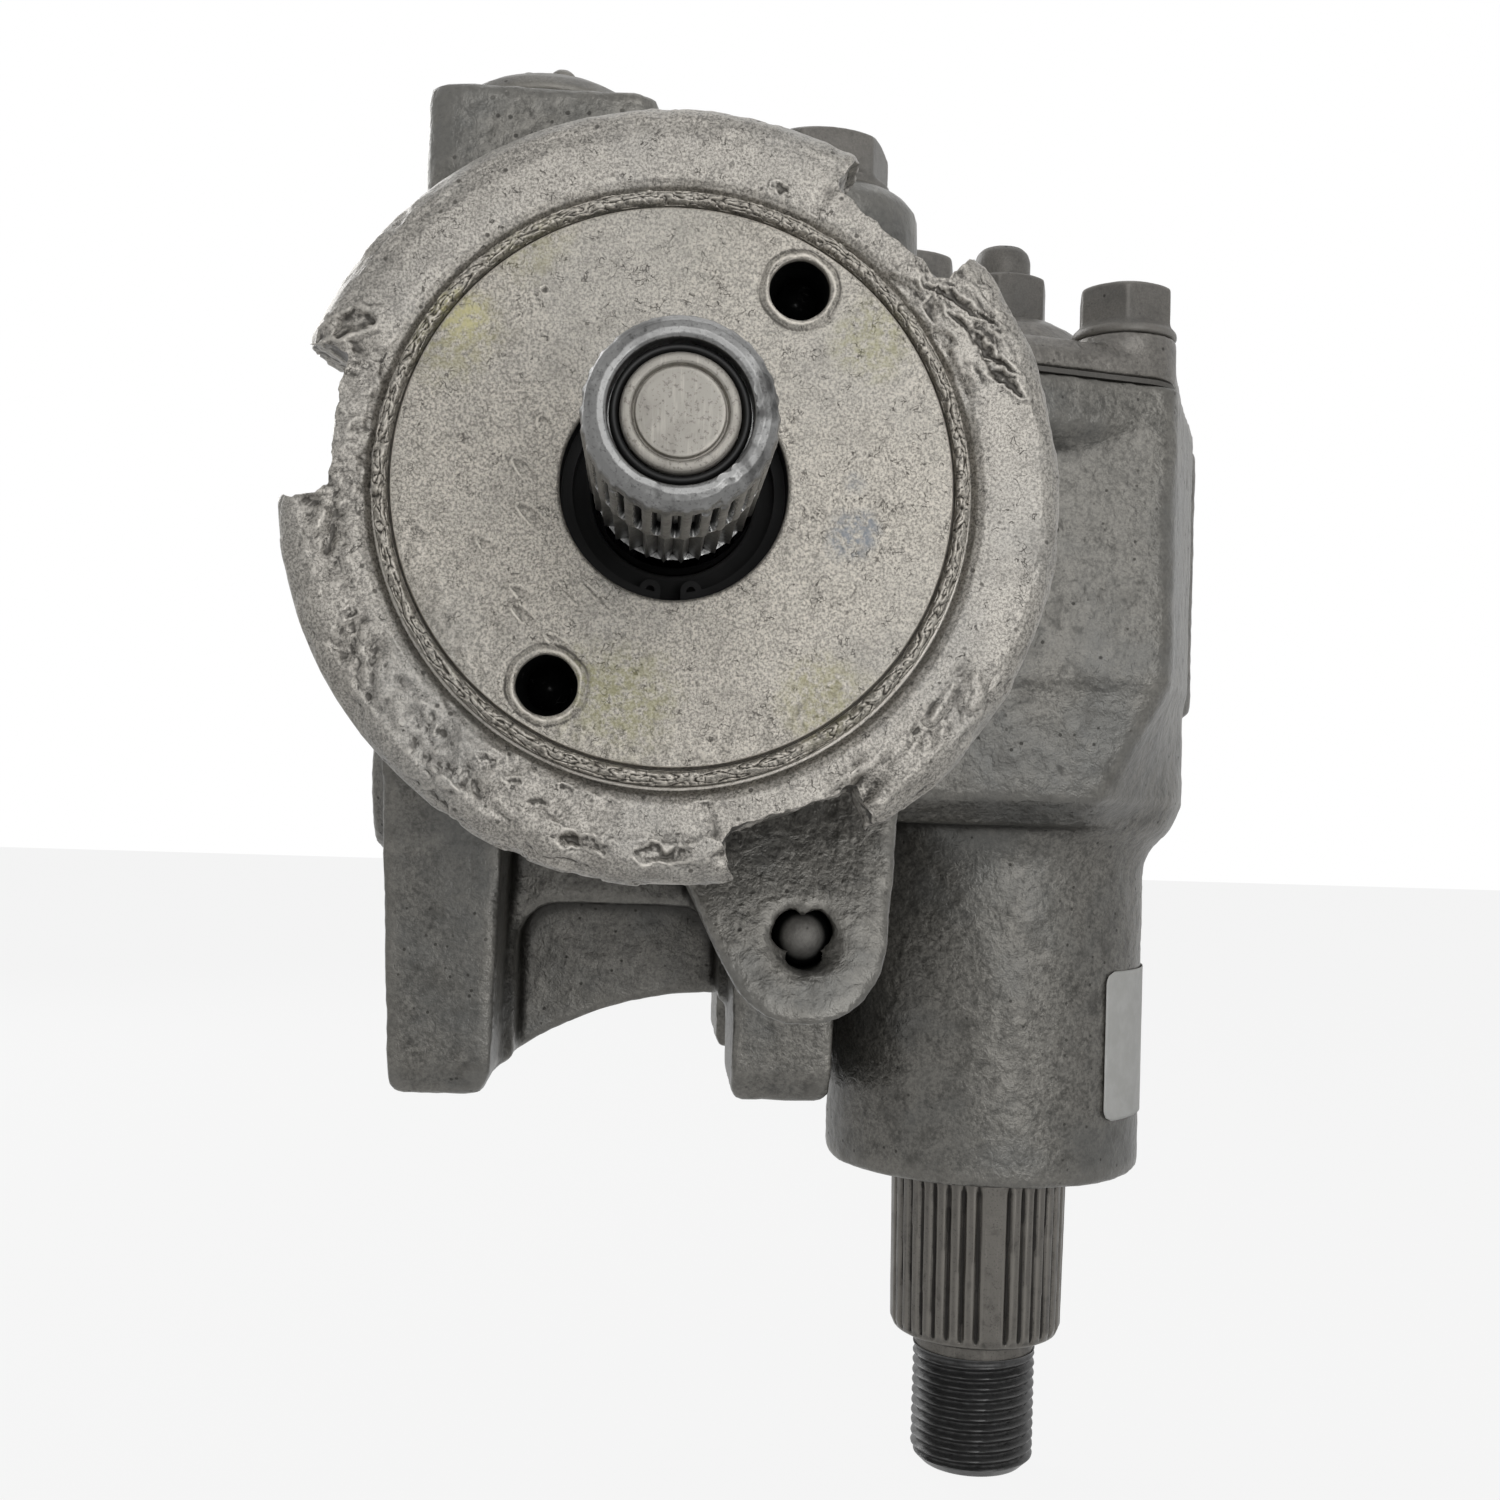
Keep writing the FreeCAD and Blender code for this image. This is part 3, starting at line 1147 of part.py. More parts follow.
def side_cover():
    """The ribbed cover over the sector, domed where the shaft and adjuster sit."""
    flange_top = COVER_BOTTOM_Z + COVER_FLANGE
    edge_top = COVER_BOTTOM_Z + COVER_FLANGE_EDGE
    cover = belt_block(cover_circles(), COVER_BOTTOM_Z, edge_top)
    cover = cover.fuse(belt_loft(cover_circles(-COVER_FLANGE_SLOPE), flange_top,
                                 cover_circles(), edge_top))
    dome = turned_about_pitman([
        (0, COVER_BOTTOM_Z), (COVER_DOME_R + 9, flange_top - 1.5),
        (COVER_DOME_R + 3.5, flange_top + 1.2),
        (COVER_DOME_R + 0.6, flange_top + 3.6), (COVER_DOME_R - 1.6, flange_top + 6.0),
        (COVER_DOME_R - 6.0, COVER_DOME_TOP_Z - 2.2), (11.5, COVER_DOME_TOP_Z - 0.8),
        (10.2, COVER_DOME_TOP_Z), (0, COVER_DOME_TOP_Z),
    ])
    bosses = []
    for x, y in cover_bolt_places():
        bosses.append(z_cylinder(COVER_BOSS_R, COVER_BOTTOM_Z, COVER_BOSS_TOP_Z, x, y))
        away = math.atan2(PITMAN_Y - y, PITMAN_X - x)
        for reach, drop in BOSS_BLEND_STEPS:
            place = V(x + reach * math.cos(away), y + reach * math.sin(away), COVER_BOTTOM_Z)
            bosses.append(Part.makeCone(BOSS_BLEND_R + 1.2, BOSS_BLEND_R - 1.2,
                                        COVER_BOSS_TOP_Z - COVER_BOTTOM_Z - drop, place,
                                        ALONG_Z))
    cover = joined(cover, [dome] + bosses)
    for x, y in cover_bolt_places():
        cover = cover.cut(z_cylinder(COVER_BOLT_R + 0.5, COVER_BOTTOM_Z - 1,
                                     COVER_BOSS_TOP_Z + 1, x, y))
    bushing_top = UPPER_JOURNAL_TOP_Z + 1.5
    cover = cover.cut(z_cylinder(COVER_BUSHING_R, COVER_BOTTOM_Z - 1, bushing_top))
    return cover.cut(z_cylinder(ADJUSTER_SCREW_R + SEAT_FIT, bushing_top - 1,
                                COVER_DOME_TOP_Z + 1))


def side_cover_gasket():
    sheet = belt_block(cover_circles(-0.3), COVER_SEAT_Z, COVER_BOTTOM_Z)
    for x, y in cover_bolt_places():
        sheet = sheet.cut(z_cylinder(COVER_BOLT_R + 0.5, COVER_SEAT_Z - 1,
                                     COVER_BOTTOM_Z + 1, x, y))
    return sheet.cut(chamber_opening(COVER_SEAT_Z - 1, COVER_BOTTOM_Z + 1))


def side_cover_bushing():
    return z_ring(COVER_BUSHING_R - SEAT_FIT, UPPER_JOURNAL_R + RUN_FIT,
                  COVER_BOTTOM_Z + 0.4, UPPER_JOURNAL_TOP_Z)


def side_cover_bolts():
    """Four flange-headed bolts, one solid each."""
    bolts = []
    seat = COVER_BOSS_TOP_Z + SEAT_FIT
    head_top = seat + BOLT_WASHER_HEIGHT + BOLT_HEAD_HEIGHT
    tip = COVER_SEAT_Z - COVER_BOLT_REACH + 0.8
    for x, y in cover_bolt_places():
        head = chamfered_hexagon(BOLT_AF, seat, head_top, x, y, 18)
        washer = z_cylinder(BOLT_WASHER_R, seat, seat + BOLT_WASHER_HEIGHT, x, y)
        skirt = Part.makeCone(BOLT_WASHER_R, BOLT_WASHER_R - 1.0, 0.8,
                              V(x, y, seat + BOLT_WASHER_HEIGHT), ALONG_Z)
        shank = z_cylinder(COVER_BOLT_R, tip, seat, x, y)
        bolts.append(joined(head, [washer, skirt, shank]))
    return Part.Compound(bolts)


def pitman_needle_bearing():
    """Needles in a drawn cup, round the output shaft's main journal."""
    low = NECK_BEARING_TOP_Z - NECK_BEARING_LENGTH
    bearing = needle_cage(NECK_BEARING_R - SEAT_FIT, JOURNAL_R + RUN_FIT,
                          0.0, NECK_BEARING_LENGTH - 0.2, 1.55, 28)
    bearing.rotate(V(0, 0, 0), ALONG_X, 90)
    bearing.translate(V(PITMAN_X, PITMAN_Y, low + 0.1))
    return bearing


def seal_top(name):
    """The height of the top of one piece of the seal stack."""
    z = SEAL_POCKET_TOP_Z - 0.1
    for piece, thickness in SEAL_STACK:
        if piece == name:
            return z
        z -= thickness + 0.1
    return z


def lip_ring(name):
    """A rubber-covered seal whose lip runs on the output shaft's journal."""
    thickness = dict(SEAL_STACK)[name]
    top = seal_top(name)
    outer = SEAL_POCKET_R - SEAT_FIT
    lip = JOURNAL_R + RUN_FIT
    low = top - thickness
    return turned_about_pitman([
        (outer, top), (outer, low), (lip + 1.0, low), (lip, low + 0.9), (lip + 0.7, low + 1.8),
        (lip + 1.7, low + 2.2), (outer - 1.2, low + 2.2), (outer - 1.2, top),
    ])


def seal_washer():
    top = seal_top("seal_washer")
    low = top - dict(SEAL_STACK)["seal_washer"]
    return z_ring(SEAL_POCKET_R - SEAT_FIT, JOURNAL_R + 0.6, low, top)


def pitman_retaining_ring():
    """A snap ring in the neck's mouth, open at the back."""
    top = seal_top("pitman_retaining_ring") - 0.1
    low = top - SNAP_RING_THICKNESS
    ring = z_ring(SEAL_POCKET_R + SNAP_RING_DEPTH - 0.05, SEAL_POCKET_R - 1.8, low, top)
    gap = box((PITMAN_X - 3, PITMAN_Y + 10, low - 1), (PITMAN_X + 3, PITMAN_Y + 40, top + 1))
    return ring.cut(gap)


def neck_bores():
    """Everything cut round the output shaft, from the chamber down to the neck's mouth."""
    bearing_low = NECK_BEARING_TOP_Z - NECK_BEARING_LENGTH
    snap_top = seal_top("pitman_retaining_ring")
    snap_low = snap_top - SNAP_RING_THICKNESS - 0.2
    return [
        z_cylinder(JOURNAL_R + 0.6, NECK_BOTTOM_Z - 1, CHAMBER_FLOOR_Z + 1),
        z_cylinder(NECK_BEARING_R, bearing_low, NECK_BEARING_TOP_Z),
        z_cylinder(NECK_BEARING_R, NECK_BEARING_TOP_Z - 1, CHAMBER_FLOOR_Z + 1),
        z_cylinder(SEAL_POCKET_R, NECK_BOTTOM_Z - 1, SEAL_POCKET_TOP_Z),
        z_cylinder(SEAL_POCKET_R + SNAP_RING_DEPTH, snap_low, snap_top),
    ]


def end_cover():
    """The plug that closes the cylinder behind the piston, with its seal groove."""
    outer = END_COVER_R - RUN_FIT
    start = END_COVER_Y
    end = END_RING_Y
    profile = [
        (0, start), (outer - 1, start), (outer, start + 1), (outer, start + 2.4),
        (outer - 2.2, start + 2.4), (outer - 2.2, start + 5.0), (outer, start + 5.0),
        (outer, end), (outer - 5, end), (outer - 8, end - 1.8), (0, end - 1.8),
    ]
    return turned_about_y(profile)


def end_cover_o_ring():
    start = END_COVER_Y + 2.45
    return y_ring(END_COVER_R - 0.02, END_COVER_R - RUN_FIT - 2.2 + 0.04, start, start + 2.5)


def end_retaining_ring():
    start = END_RING_Y + 0.05
    ring = y_ring(END_COVER_R + END_RING_DEPTH - 0.05, END_COVER_R - 2.0, start,
                  start + END_RING_THICKNESS)
    return ring.cut(box((-4, start - 1, 20), (4, start + 4, 60)))


def leg_side_outline(low_z):
    """A leg seen from the side: two feet joined by an arch, wider at the top."""
    middle = (FOOT_START_Y + FOOT_END_Y) / 2
    arch = LEG_ARCH_R
    top_z = -24.0
    flare = 3.0
    spring_z = low_z + 6.0
    edges = []
    points = [V(0, FOOT_START_Y - flare, top_z), V(0, FOOT_START_Y, low_z + 5),
              V(0, FOOT_START_Y + 3, low_z), V(0, middle - arch, low_z),
              V(0, middle - arch, spring_z)]
    for before, after in zip(points[:-1], points[1:]):
        edges.append(Part.LineSegment(before, after).toShape())
    crown = V(0, middle, spring_z + arch)
    landing = V(0, middle + arch, spring_z)
    edges.append(Part.Arc(points[-1], crown, landing).toShape())
    points = [landing, V(0, middle + arch, low_z), V(0, FOOT_END_Y - 3, low_z),
              V(0, FOOT_END_Y, low_z + 5), V(0, FOOT_END_Y + flare, top_z),
              V(0, FOOT_START_Y - flare, top_z)]
    for before, after in zip(points[:-1], points[1:]):
        edges.append(Part.LineSegment(before, after).toShape())
    return Part.Face(Part.Wire(edges))


def leg_front_outline(top_inner, top_outer, foot_inner, foot_outer, round_r):
    """A leg seen from the front: drafted sides and a rounded outer foot."""
    side = 1 if foot_outer > foot_inner else -1
    points = [V(top_inner, 0, LEG_ROOT_Z), V(foot_inner, 0, FOOT_Z + round_r),
              V(foot_inner + side * round_r * 0.5, 0, FOOT_Z),
              V(foot_outer - side * 1.5, 0, FOOT_Z),
              V(foot_outer, 0, FOOT_Z + 1.5), V(top_outer, 0, LEG_ROOT_Z)]
    return closed_face(points)


def leg(top_inner, top_outer, foot_inner, foot_outer, round_r):
    front = leg_front_outline(top_inner, top_outer, foot_inner, foot_outer, round_r)
    front.translate(V(0, FOOT_START_Y - 10, 0))
    block = front.extrude(V(0, FOOT_END_Y - FOOT_START_Y + 20, 0))
    side = leg_side_outline(FOOT_Z)
    side.translate(V(-100, 0, 0))
    return block.common(side.extrude(V(200, 0, 0)))


def leg_web():
    """The wall between the legs, with a pocket in front and a hollow lower edge."""
    left_x = LEFT_LEG_INNER_X - 2
    right_x = RIGHT_LEG_INNER_X + 2
    low_left = V(left_x, WEB_START_Y, FOOT_Z + 1)
    arc_mid = V((left_x + right_x) / 2 - 3.2, WEB_START_Y, FOOT_Z + WEB_EDGE_RISE - 3.8)
    low_right = V(right_x, WEB_START_Y, FOOT_Z + WEB_EDGE_RISE)
    top_right = V(right_x, WEB_START_Y, LEG_ROOT_Z)
    top_left = V(left_x, WEB_START_Y, LEG_ROOT_Z)
    edges = [
        Part.Arc(low_left, arc_mid, low_right).toShape(),
        Part.LineSegment(low_right, top_right).toShape(),
        Part.LineSegment(top_right, top_left).toShape(),
        Part.LineSegment(top_left, low_left).toShape(),
    ]
    wall = Part.Face(Part.Wire(edges)).extrude(V(0, WEB_BACK_Y - WEB_START_Y, 0))
    pocket_top = WEB_POCKET_TOP_Z
    round_r = 7.0
    left = LEFT_LEG_INNER_X + 2.2
    right = RIGHT_LEG_INNER_X - 2.0
    pocket_circles = [(left + round_r, FOOT_Z - 10, round_r),
                      (right - round_r, FOOT_Z - 10, round_r),
                      (right - round_r, pocket_top - round_r, round_r),
                      (left + round_r, pocket_top - round_r, round_r)]
    pocket = belt_block(pocket_circles, 0.0, 2 * WEB_SKIN)
    pocket.rotate(V(0, 0, 0), ALONG_X, 90)
    pocket.translate(V(0, WEB_BACK_Y - WEB_SKIN, 0))
    return wall.cut(pocket)


def passage_lobe():
    """The drilled rib below the valve section, with its slanted front face."""
    circles = [(LOBE_X, LOBE_Z, LOBE_R), (LOBE_X + 0.6, -34.0, LOBE_R + 1.2), (4.0, -30.0, 8.0)]
    lobe = belt_block(circles, 0.0, WEB_START_Y - (LOBE_FRONT_Y - 12))
    lobe.rotate(V(0, 0, 0), ALONG_X, 90)
    lobe.translate(V(0, WEB_START_Y, 0))
    slant = box((-40, -60, -60), (40, 0, 60))
    slant.rotate(V(0, 0, 0), ALONG_X, -LOBE_SLANT_DEG)
    slant.translate(V(LOBE_X, LOBE_FRONT_Y, LOBE_Z))
    return lobe.cut(slant)


def port_blocks():
    """The square return-port block and the round pressure-port boss."""
    x, y = RETURN_PORT
    half = RETURN_BLOCK_HALF
    corner = 4.0
    inset = half - corner
    corners = [(x - inset, y - inset, corner), (x + inset, y - inset, corner),
               (x + inset, y + inset, corner), (x - inset, y + inset, corner)]
    block = belt_block(corners, 0.0, RETURN_SEAT_Z)
    x, y = PRESSURE_PORT
    boss = z_cylinder(PRESSURE_BOSS_R, 10.0, PRESSURE_SEAT_Z - 2.5, x, y)
    shoulder = Part.makeCone(PRESSURE_BOSS_R, PRESSURE_BOSS_R - 2.5, 2.5,
                             V(x, y, PRESSURE_SEAT_Z - 2.5), ALONG_Z)
    return [block, boss, shoulder]


def port_bores():
    bores = []
    for (x, y), seat in ((RETURN_PORT, RETURN_SEAT_Z), (PRESSURE_PORT, PRESSURE_SEAT_Z)):
        floor = seat - PORT_DEPTH
        bores.append(z_cylinder(PORT_THREAD_R, floor, seat + 1, x, y))
        bores.append(z_cylinder(PORT_SEAT_R, floor - PORT_SEAT_LENGTH, floor + 1, x, y))
        bores.append(z_cylinder(PORT_DRILL_R, 12.0, floor, x, y))
    return bores


def port_seats():
    """Flared brass seats pressed into the bottom of each port."""
    seats = []
    for (x, y), seat in ((RETURN_PORT, RETURN_SEAT_Z), (PRESSURE_PORT, PRESSURE_SEAT_Z)):
        floor = seat - PORT_DEPTH
        low = floor - PORT_SEAT_LENGTH + SEAT_FIT
        body = z_cylinder(PORT_SEAT_R - SEAT_FIT, low, floor - 0.5, x, y)
        nose = Part.makeCone(PORT_SEAT_R - SEAT_FIT, PORT_DRILL_R + 0.4, 3.0,
                             V(x, y, floor - 0.5), ALONG_Z)
        seats.append(body.fuse(nose).cut(z_cylinder(PORT_DRILL_R - 1.0, low - 1, floor + 4, x, y)))
    return Part.Compound(seats)


def return_port_cap():
    """The domed shipping cap pressed into the return port, with small grip lobes."""
    x, y = RETURN_PORT
    seat = RETURN_SEAT_Z + SEAT_FIT
    top = seat + RETURN_CAP_HEIGHT
    points = [(0, seat), (RETURN_CAP_R, seat), (RETURN_CAP_R, seat + 0.9),
              (RETURN_CAP_R - 1.0, seat + 2.2), (RETURN_CAP_R - 3.0, top - 0.5),
              (RETURN_CAP_R - 4.6, top), (0, top)]
    face = closed_face([V(x + radius, y, z) for radius, z in points])
    cap = face.revolve(V(x, y, 0), ALONG_Z, 360)
    stem = z_cylinder(PORT_THREAD_R - SEAT_FIT, seat - PORT_PLUG_REACH, seat + 1, x, y)
    lobes = []
    for dx, dy, radius, height in CAP_LOBES:
        lobes.append(z_cylinder(radius, top - 1, top + height - 0.6, x + dx, y + dy))
        lobes.append(Part.makeCone(radius, radius - 0.7, 0.6,
                                   V(x + dx, y + dy, top + height - 0.6), ALONG_Z))
    return joined(cap, [stem] + lobes)


def pressure_port_plug():
    """A hex-headed plug with a round collar, screwed into the pressure port."""
    x, y = PRESSURE_PORT
    seat = PRESSURE_SEAT_Z + SEAT_FIT
    head = chamfered_hexagon(PRESSURE_PLUG_AF, seat + 1.4, seat + PRESSURE_PLUG_HEIGHT, x, y, 10)
    collar = z_cylinder(PRESSURE_PLUG_AF / 2 + 1.2, seat, seat + 1.5, x, y)
    shank = z_cylinder(PORT_THREAD_R - SEAT_FIT, seat - PORT_PLUG_REACH, seat + 1, x, y)
    return joined(head, [collar, shank])


def passage_ball():
    """The steel ball that closes the drilled oil passage."""
    return Part.makeSphere(PASSAGE_BALL_R, V(LOBE_X, PASSAGE_SEAT_Y + PASSAGE_BALL_R, LOBE_Z))


def passage_cuts():
    """The passage's counterbore for the ball and its long drilling."""
    wide_end = PASSAGE_SEAT_Y + 2 * PASSAGE_BALL_R + 0.05
    drill_end = LOBE_FRONT_Y + PASSAGE_DEPTH
    return [y_cylinder(PASSAGE_R, LOBE_FRONT_Y - 8, wide_end, LOBE_X, LOBE_Z),
            y_cylinder(PASSAGE_R - 1.0, LOBE_FRONT_Y, drill_end, LOBE_X, LOBE_Z)]


def stakes():
    """Three tabs of metal punched over the ball, which hold it in its hole."""
    tabs = []
    for index in range(STAKE_COUNT):
        outer = PASSAGE_R + 0.6
        tab = Part.makeBox(outer - (PASSAGE_R - STAKE_REACH), STAKE_BACK_Y - STAKE_FRONT_Y,
                           STAKE_WIDTH, V(PASSAGE_R - STAKE_REACH, STAKE_FRONT_Y,
                                          -STAKE_WIDTH / 2))
        slant = Part.makeBox(outer, 2.0, STAKE_WIDTH + 2,
                             V(0, STAKE_FRONT_Y - 2.0, -STAKE_WIDTH / 2 - 1))
        slant.rotate(V(outer, STAKE_FRONT_Y, 0), ALONG_Z, -STAKE_LEAN_DEG)
        tab = tab.cut(slant)
        tab.rotate(V(0, 0, 0), ALONG_Y, -(STAKE_FIRST_DEG + 360.0 * index / STAKE_COUNT))
        tab.translate(V(LOBE_X, 0, LOBE_Z))
        tabs.append(tab)
    return tabs


def foot_hole_places():
    return [(x, y) for x in FOOT_HOLE_X for y in FOOT_HOLE_Y]


def sector_body_circles(inset=0.0, right_r=BODY_RIGHT_R, corner_dx=BODY_CORNER_DX):
    """Circles round the sector chamber: a flat front and back, rounded to the right."""
    front = PITMAN_Y - BODY_FRONT_OFFSET + inset
    back = PITMAN_Y + BODY_FRONT_OFFSET - inset
    left = BODY_LEFT_CORNER_R
    corner = BODY_CORNER_R
    corner_x = PITMAN_X + corner_dx
    return [(BODY_LEFT_CORNER_X, front + left, left), (corner_x, front + corner, corner),
            (PITMAN_X, PITMAN_Y, right_r), (corner_x, back - corner, corner),
            (BODY_LEFT_CORNER_X, back - left, left)]


def neck_blend():
    """The cast fillet between the chamber's underside and the neck, fuller to the right."""
    wide = Part.Wire(Part.makeCircle(NECK_BLEND_R, V(PITMAN_X + NECK_BLEND_DX, PITMAN_Y,
                                                     BODY_BOTTOM_Z)))
    middle_z = (BODY_BOTTOM_Z * 0.45 + NECK_BLEND_LOW_Z * 0.55)
    waist_r = NECK_R + (NECK_BLEND_R - NECK_R) * 0.25
    waist = Part.Wire(Part.makeCircle(waist_r, V(PITMAN_X + NECK_BLEND_DX * 0.25, PITMAN_Y,
                                                 middle_z)))
    narrow = Part.Wire(Part.makeCircle(NECK_R, V(PITMAN_X, PITMAN_Y, NECK_BLEND_LOW_Z)))
    return [Part.makeLoft([waist, wide], True), Part.makeLoft([narrow, waist], True)]


def sector_body():
    """The casting round the sector: flange, drafted walls and the neck below."""
    flange_low = COVER_SEAT_Z - FLANGE_THICKNESS
    upper = belt_block(sector_body_circles(), PARTING_Z, COVER_SEAT_Z)
    under_seam = sector_body_circles(PARTING_LEDGE, BODY_RIGHT_R - PARTING_LEDGE)
    over_base = sector_body_circles(BASE_INSET, BASE_RIGHT_R, BASE_CORNER_DX)
    under_base = sector_body_circles(BOTTOM_INSET, BOTTOM_RIGHT_R, BOTTOM_CORNER_DX)
    lower = belt_loft(under_seam, PARTING_Z, over_base, BASE_TOP_Z)
    base = belt_loft(over_base, BASE_TOP_Z, under_base, BODY_BOTTOM_Z)
    flange = belt_block(cover_circles(0.4), flange_low, COVER_SEAT_Z)
    skirt = belt_taper(cover_circles(0.4), 2.4, flange_low - 3, flange_low)
    neck = z_cylinder(NECK_R, NECK_BOTTOM_Z + 0.8, BODY_BOTTOM_Z + 10)
    mouth = Part.makeCone(NECK_R - 0.8, NECK_R, 0.8, V(PITMAN_X, PITMAN_Y, NECK_BOTTOM_Z),
                          ALONG_Z)
    corner = SIDE_PAD_CORNER_R
    near = SIDE_PAD_START_Y + corner
    far = SIDE_PAD_START_Y + SIDE_PAD_LENGTH - corner
    outer_x = SIDE_PAD_X - corner
    inner_x = PITMAN_X + BODY_RIGHT_R - 14
    pad_circles = [(outer_x, near, corner), (outer_x, far, corner), (inner_x, far, corner),
                   (inner_x, near, corner)]
    pad = belt_block(pad_circles, SIDE_PAD_BOTTOM_Z, SIDE_PAD_TOP_Z)
    return [upper, lower, base, flange, skirt, neck, mouth, pad] + neck_blend()


def barrel():
    """The cylinder and the valve section, as one stepped casting."""
    front_r = VALVE_BODY_R
    shoulder = PISTON_BORE_START_Y - 5
    profile = [
        (0, HOUSING_FRONT_Y), (front_r - 1, HOUSING_FRONT_Y), (front_r, HOUSING_FRONT_Y + 1),
        (front_r, HOUSING_FRONT_Y + 9), (front_r - 3, HOUSING_FRONT_Y + 13),
        (front_r - 3, shoulder - 6), (BARREL_R, shoulder), (BARREL_R, HOUSING_END_Y - 19),
        (BARREL_R + 2.5, HOUSING_END_Y - 15), (BARREL_R + 2.5, HOUSING_END_Y - 1.5),
        (BARREL_R + 1, HOUSING_END_Y), (0, HOUSING_END_Y),
    ]
    return turned_about_y(profile)


def side_boss_places():
    return [(y, z) for y in SIDE_BOSS_Y for z in (SIDE_BOSS_Z, -SIDE_BOSS_Z)]


def side_bosses():
    """The left wall's frame pads: round bosses that stand out from the casting."""
    bosses = []
    for y, z in side_boss_places():
        start = V(SIDE_BOSS_X, y, z)
        bosses.append(Part.makeCylinder(SIDE_BOSS_R, SIDE_BOSS_LENGTH, start, ALONG_X))
    return bosses


def side_boss_holes():
    holes = []
    for y, z in side_boss_places():
        start = V(SIDE_BOSS_X - 1, y, z)
        holes.append(Part.makeCylinder(FOOT_HOLE_R, SIDE_HOLE_DEPTH + 1, start, ALONG_X))
    return holes


def main_bores():
    """The bores along the worm's axis, front to back."""
    return [
        y_cylinder(PLUG_THREAD_R + SEAT_FIT, HOUSING_FRONT_Y - 1, PLUG_THREAD_END_Y + 0.1),
        y_cylinder(VALVE_BORE_R, PLUG_THREAD_END_Y, PARTITION_Y),
        y_cylinder(WORM_R + 1.2, PARTITION_Y - 1, PISTON_BORE_START_Y + 1),
        y_cylinder(PISTON_BORE_R, PISTON_BORE_START_Y, END_COVER_Y),
        y_cylinder(END_COVER_R, END_COVER_Y - 0.05, HOUSING_END_Y + 1),
        y_cylinder(END_COVER_R + END_RING_DEPTH, END_RING_Y,
                   END_RING_Y + END_RING_THICKNESS + 0.1),
    ]


def gear_housing():
    """The one-piece casting, with every bore, seat and tapped hole cut into it."""
    left = leg(LEFT_LEG_INNER_X + 1.5, LEFT_LEG_OUTER_X - 0.9, LEFT_LEG_INNER_X,
               LEFT_LEG_OUTER_X + 2.0, 4.0)
    right = leg(RIGHT_LEG_INNER_X - 1.0, RIGHT_LEG_OUTER_X + 0.6, RIGHT_LEG_INNER_X,
                RIGHT_LEG_OUTER_X - 1.0, 2.0)
    pieces = sector_body() + [left, right, leg_web(), passage_lobe()]
    pieces += port_blocks() + side_bosses()
    casting = barrel().multiFuse(pieces)
    seat_room = belt_block(cover_circles(0.9), COVER_SEAT_Z, COVER_SEAT_Z + 30)
    casting = casting.cut(seat_room)
    cuts = main_bores() + neck_bores() + port_bores() + passage_cuts() + side_boss_holes()
    cuts.append(chamber_opening(CHAMBER_FLOOR_Z, COVER_SEAT_Z + 1))
    for x, y in foot_hole_places():
        cuts.append(z_cylinder(FOOT_HOLE_R, FOOT_Z - 1, FOOT_Z + FOOT_HOLE_DEPTH, x, y))
    for x, y in cover_bolt_places():
        cuts.append(z_cylinder(COVER_BOLT_R + SEAT_FIT, COVER_SEAT_Z - COVER_BOLT_REACH,
                               COVER_SEAT_Z + 1, x, y))
    for cut in cuts:
        casting = casting.cut(cut)
    return casting.multiFuse(stakes())


NODES = {
    "gear_housing": gear_housing,
    "lock_ring": lock_ring,
    "adjuster_plug": adjuster_plug,
    "plug_o_ring": plug_o_ring,
    "input_retaining_ring": input_retaining_ring,
    "input_dust_seal": input_dust_seal,
    "input_lip_seal": input_lip_seal,
    "plug_needle_bearing": plug_needle_bearing,
    "upper_thrust_bearing": upper_thrust_bearing,
    "lower_thrust_bearing": lower_thrust_bearing,
    "input_shaft": input_shaft,
    "torsion_bar": torsion_bar,
    "torsion_bar_o_ring": torsion_bar_o_ring,
    "upper_drive_pin": upper_drive_pin,
    "lower_drive_pin": lower_drive_pin,
    "valve_spool": valve_spool,
    "valve_sleeve": valve_sleeve,
    "valve_sleeve_pin": valve_sleeve_pin,
    "valve_sleeve_rings": valve_sleeve_rings,
    "worm_shaft": worm_shaft,
    "rack_piston": rack_piston,
    "recirculating_balls": recirculating_balls,
    "ball_guide": ball_guide,
    "guide_clamp": guide_clamp,
    "clamp_screws": clamp_screws,
    "piston_end_plug": piston_end_plug,
    "piston_ring": piston_ring,
    "pitman_shaft": pitman_shaft,
    "lash_adjuster_screw": lash_adjuster_screw,
    "adjuster_retainer": adjuster_retainer,
    "adjuster_lock_nut": adjuster_lock_nut,
    "side_cover": side_cover,
    "side_cover_gasket": side_cover_gasket,
    "side_cover_bushing": side_cover_bushing,
    "side_cover_bolts": side_cover_bolts,
    "pitman_needle_bearing": pitman_needle_bearing,
    "pitman_seal": lambda: lip_ring("pitman_seal"),
    "seal_washer": seal_washer,
    "pitman_dust_seal": lambda: lip_ring("pitman_dust_seal"),
    "pitman_retaining_ring": pitman_retaining_ring,
    "end_cover": end_cover,
    "end_cover_o_ring": end_cover_o_ring,
    "end_retaining_ring": end_retaining_ring,
    "return_port_cap": return_port_cap,
    "pressure_port_plug": pressure_port_plug,
    "port_seats": port_seats,
    "passage_ball": passage_ball,
}


def main():
    os.makedirs("parts", exist_ok=True)
    for name, build in NODES.items():
        shape = build()
        shape.exportStep(os.path.join("parts", name + ".step"))
        print(name, "solids", len(shape.Solids), "valid", shape.isValid(),
              "volume", round(shape.Volume, 1))


main()
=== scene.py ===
import logging
import math
from dataclasses import dataclass
from enum import Enum
from typing import ClassVar, Dict, List, NamedTuple, Optional, Sequence, Tuple, Union

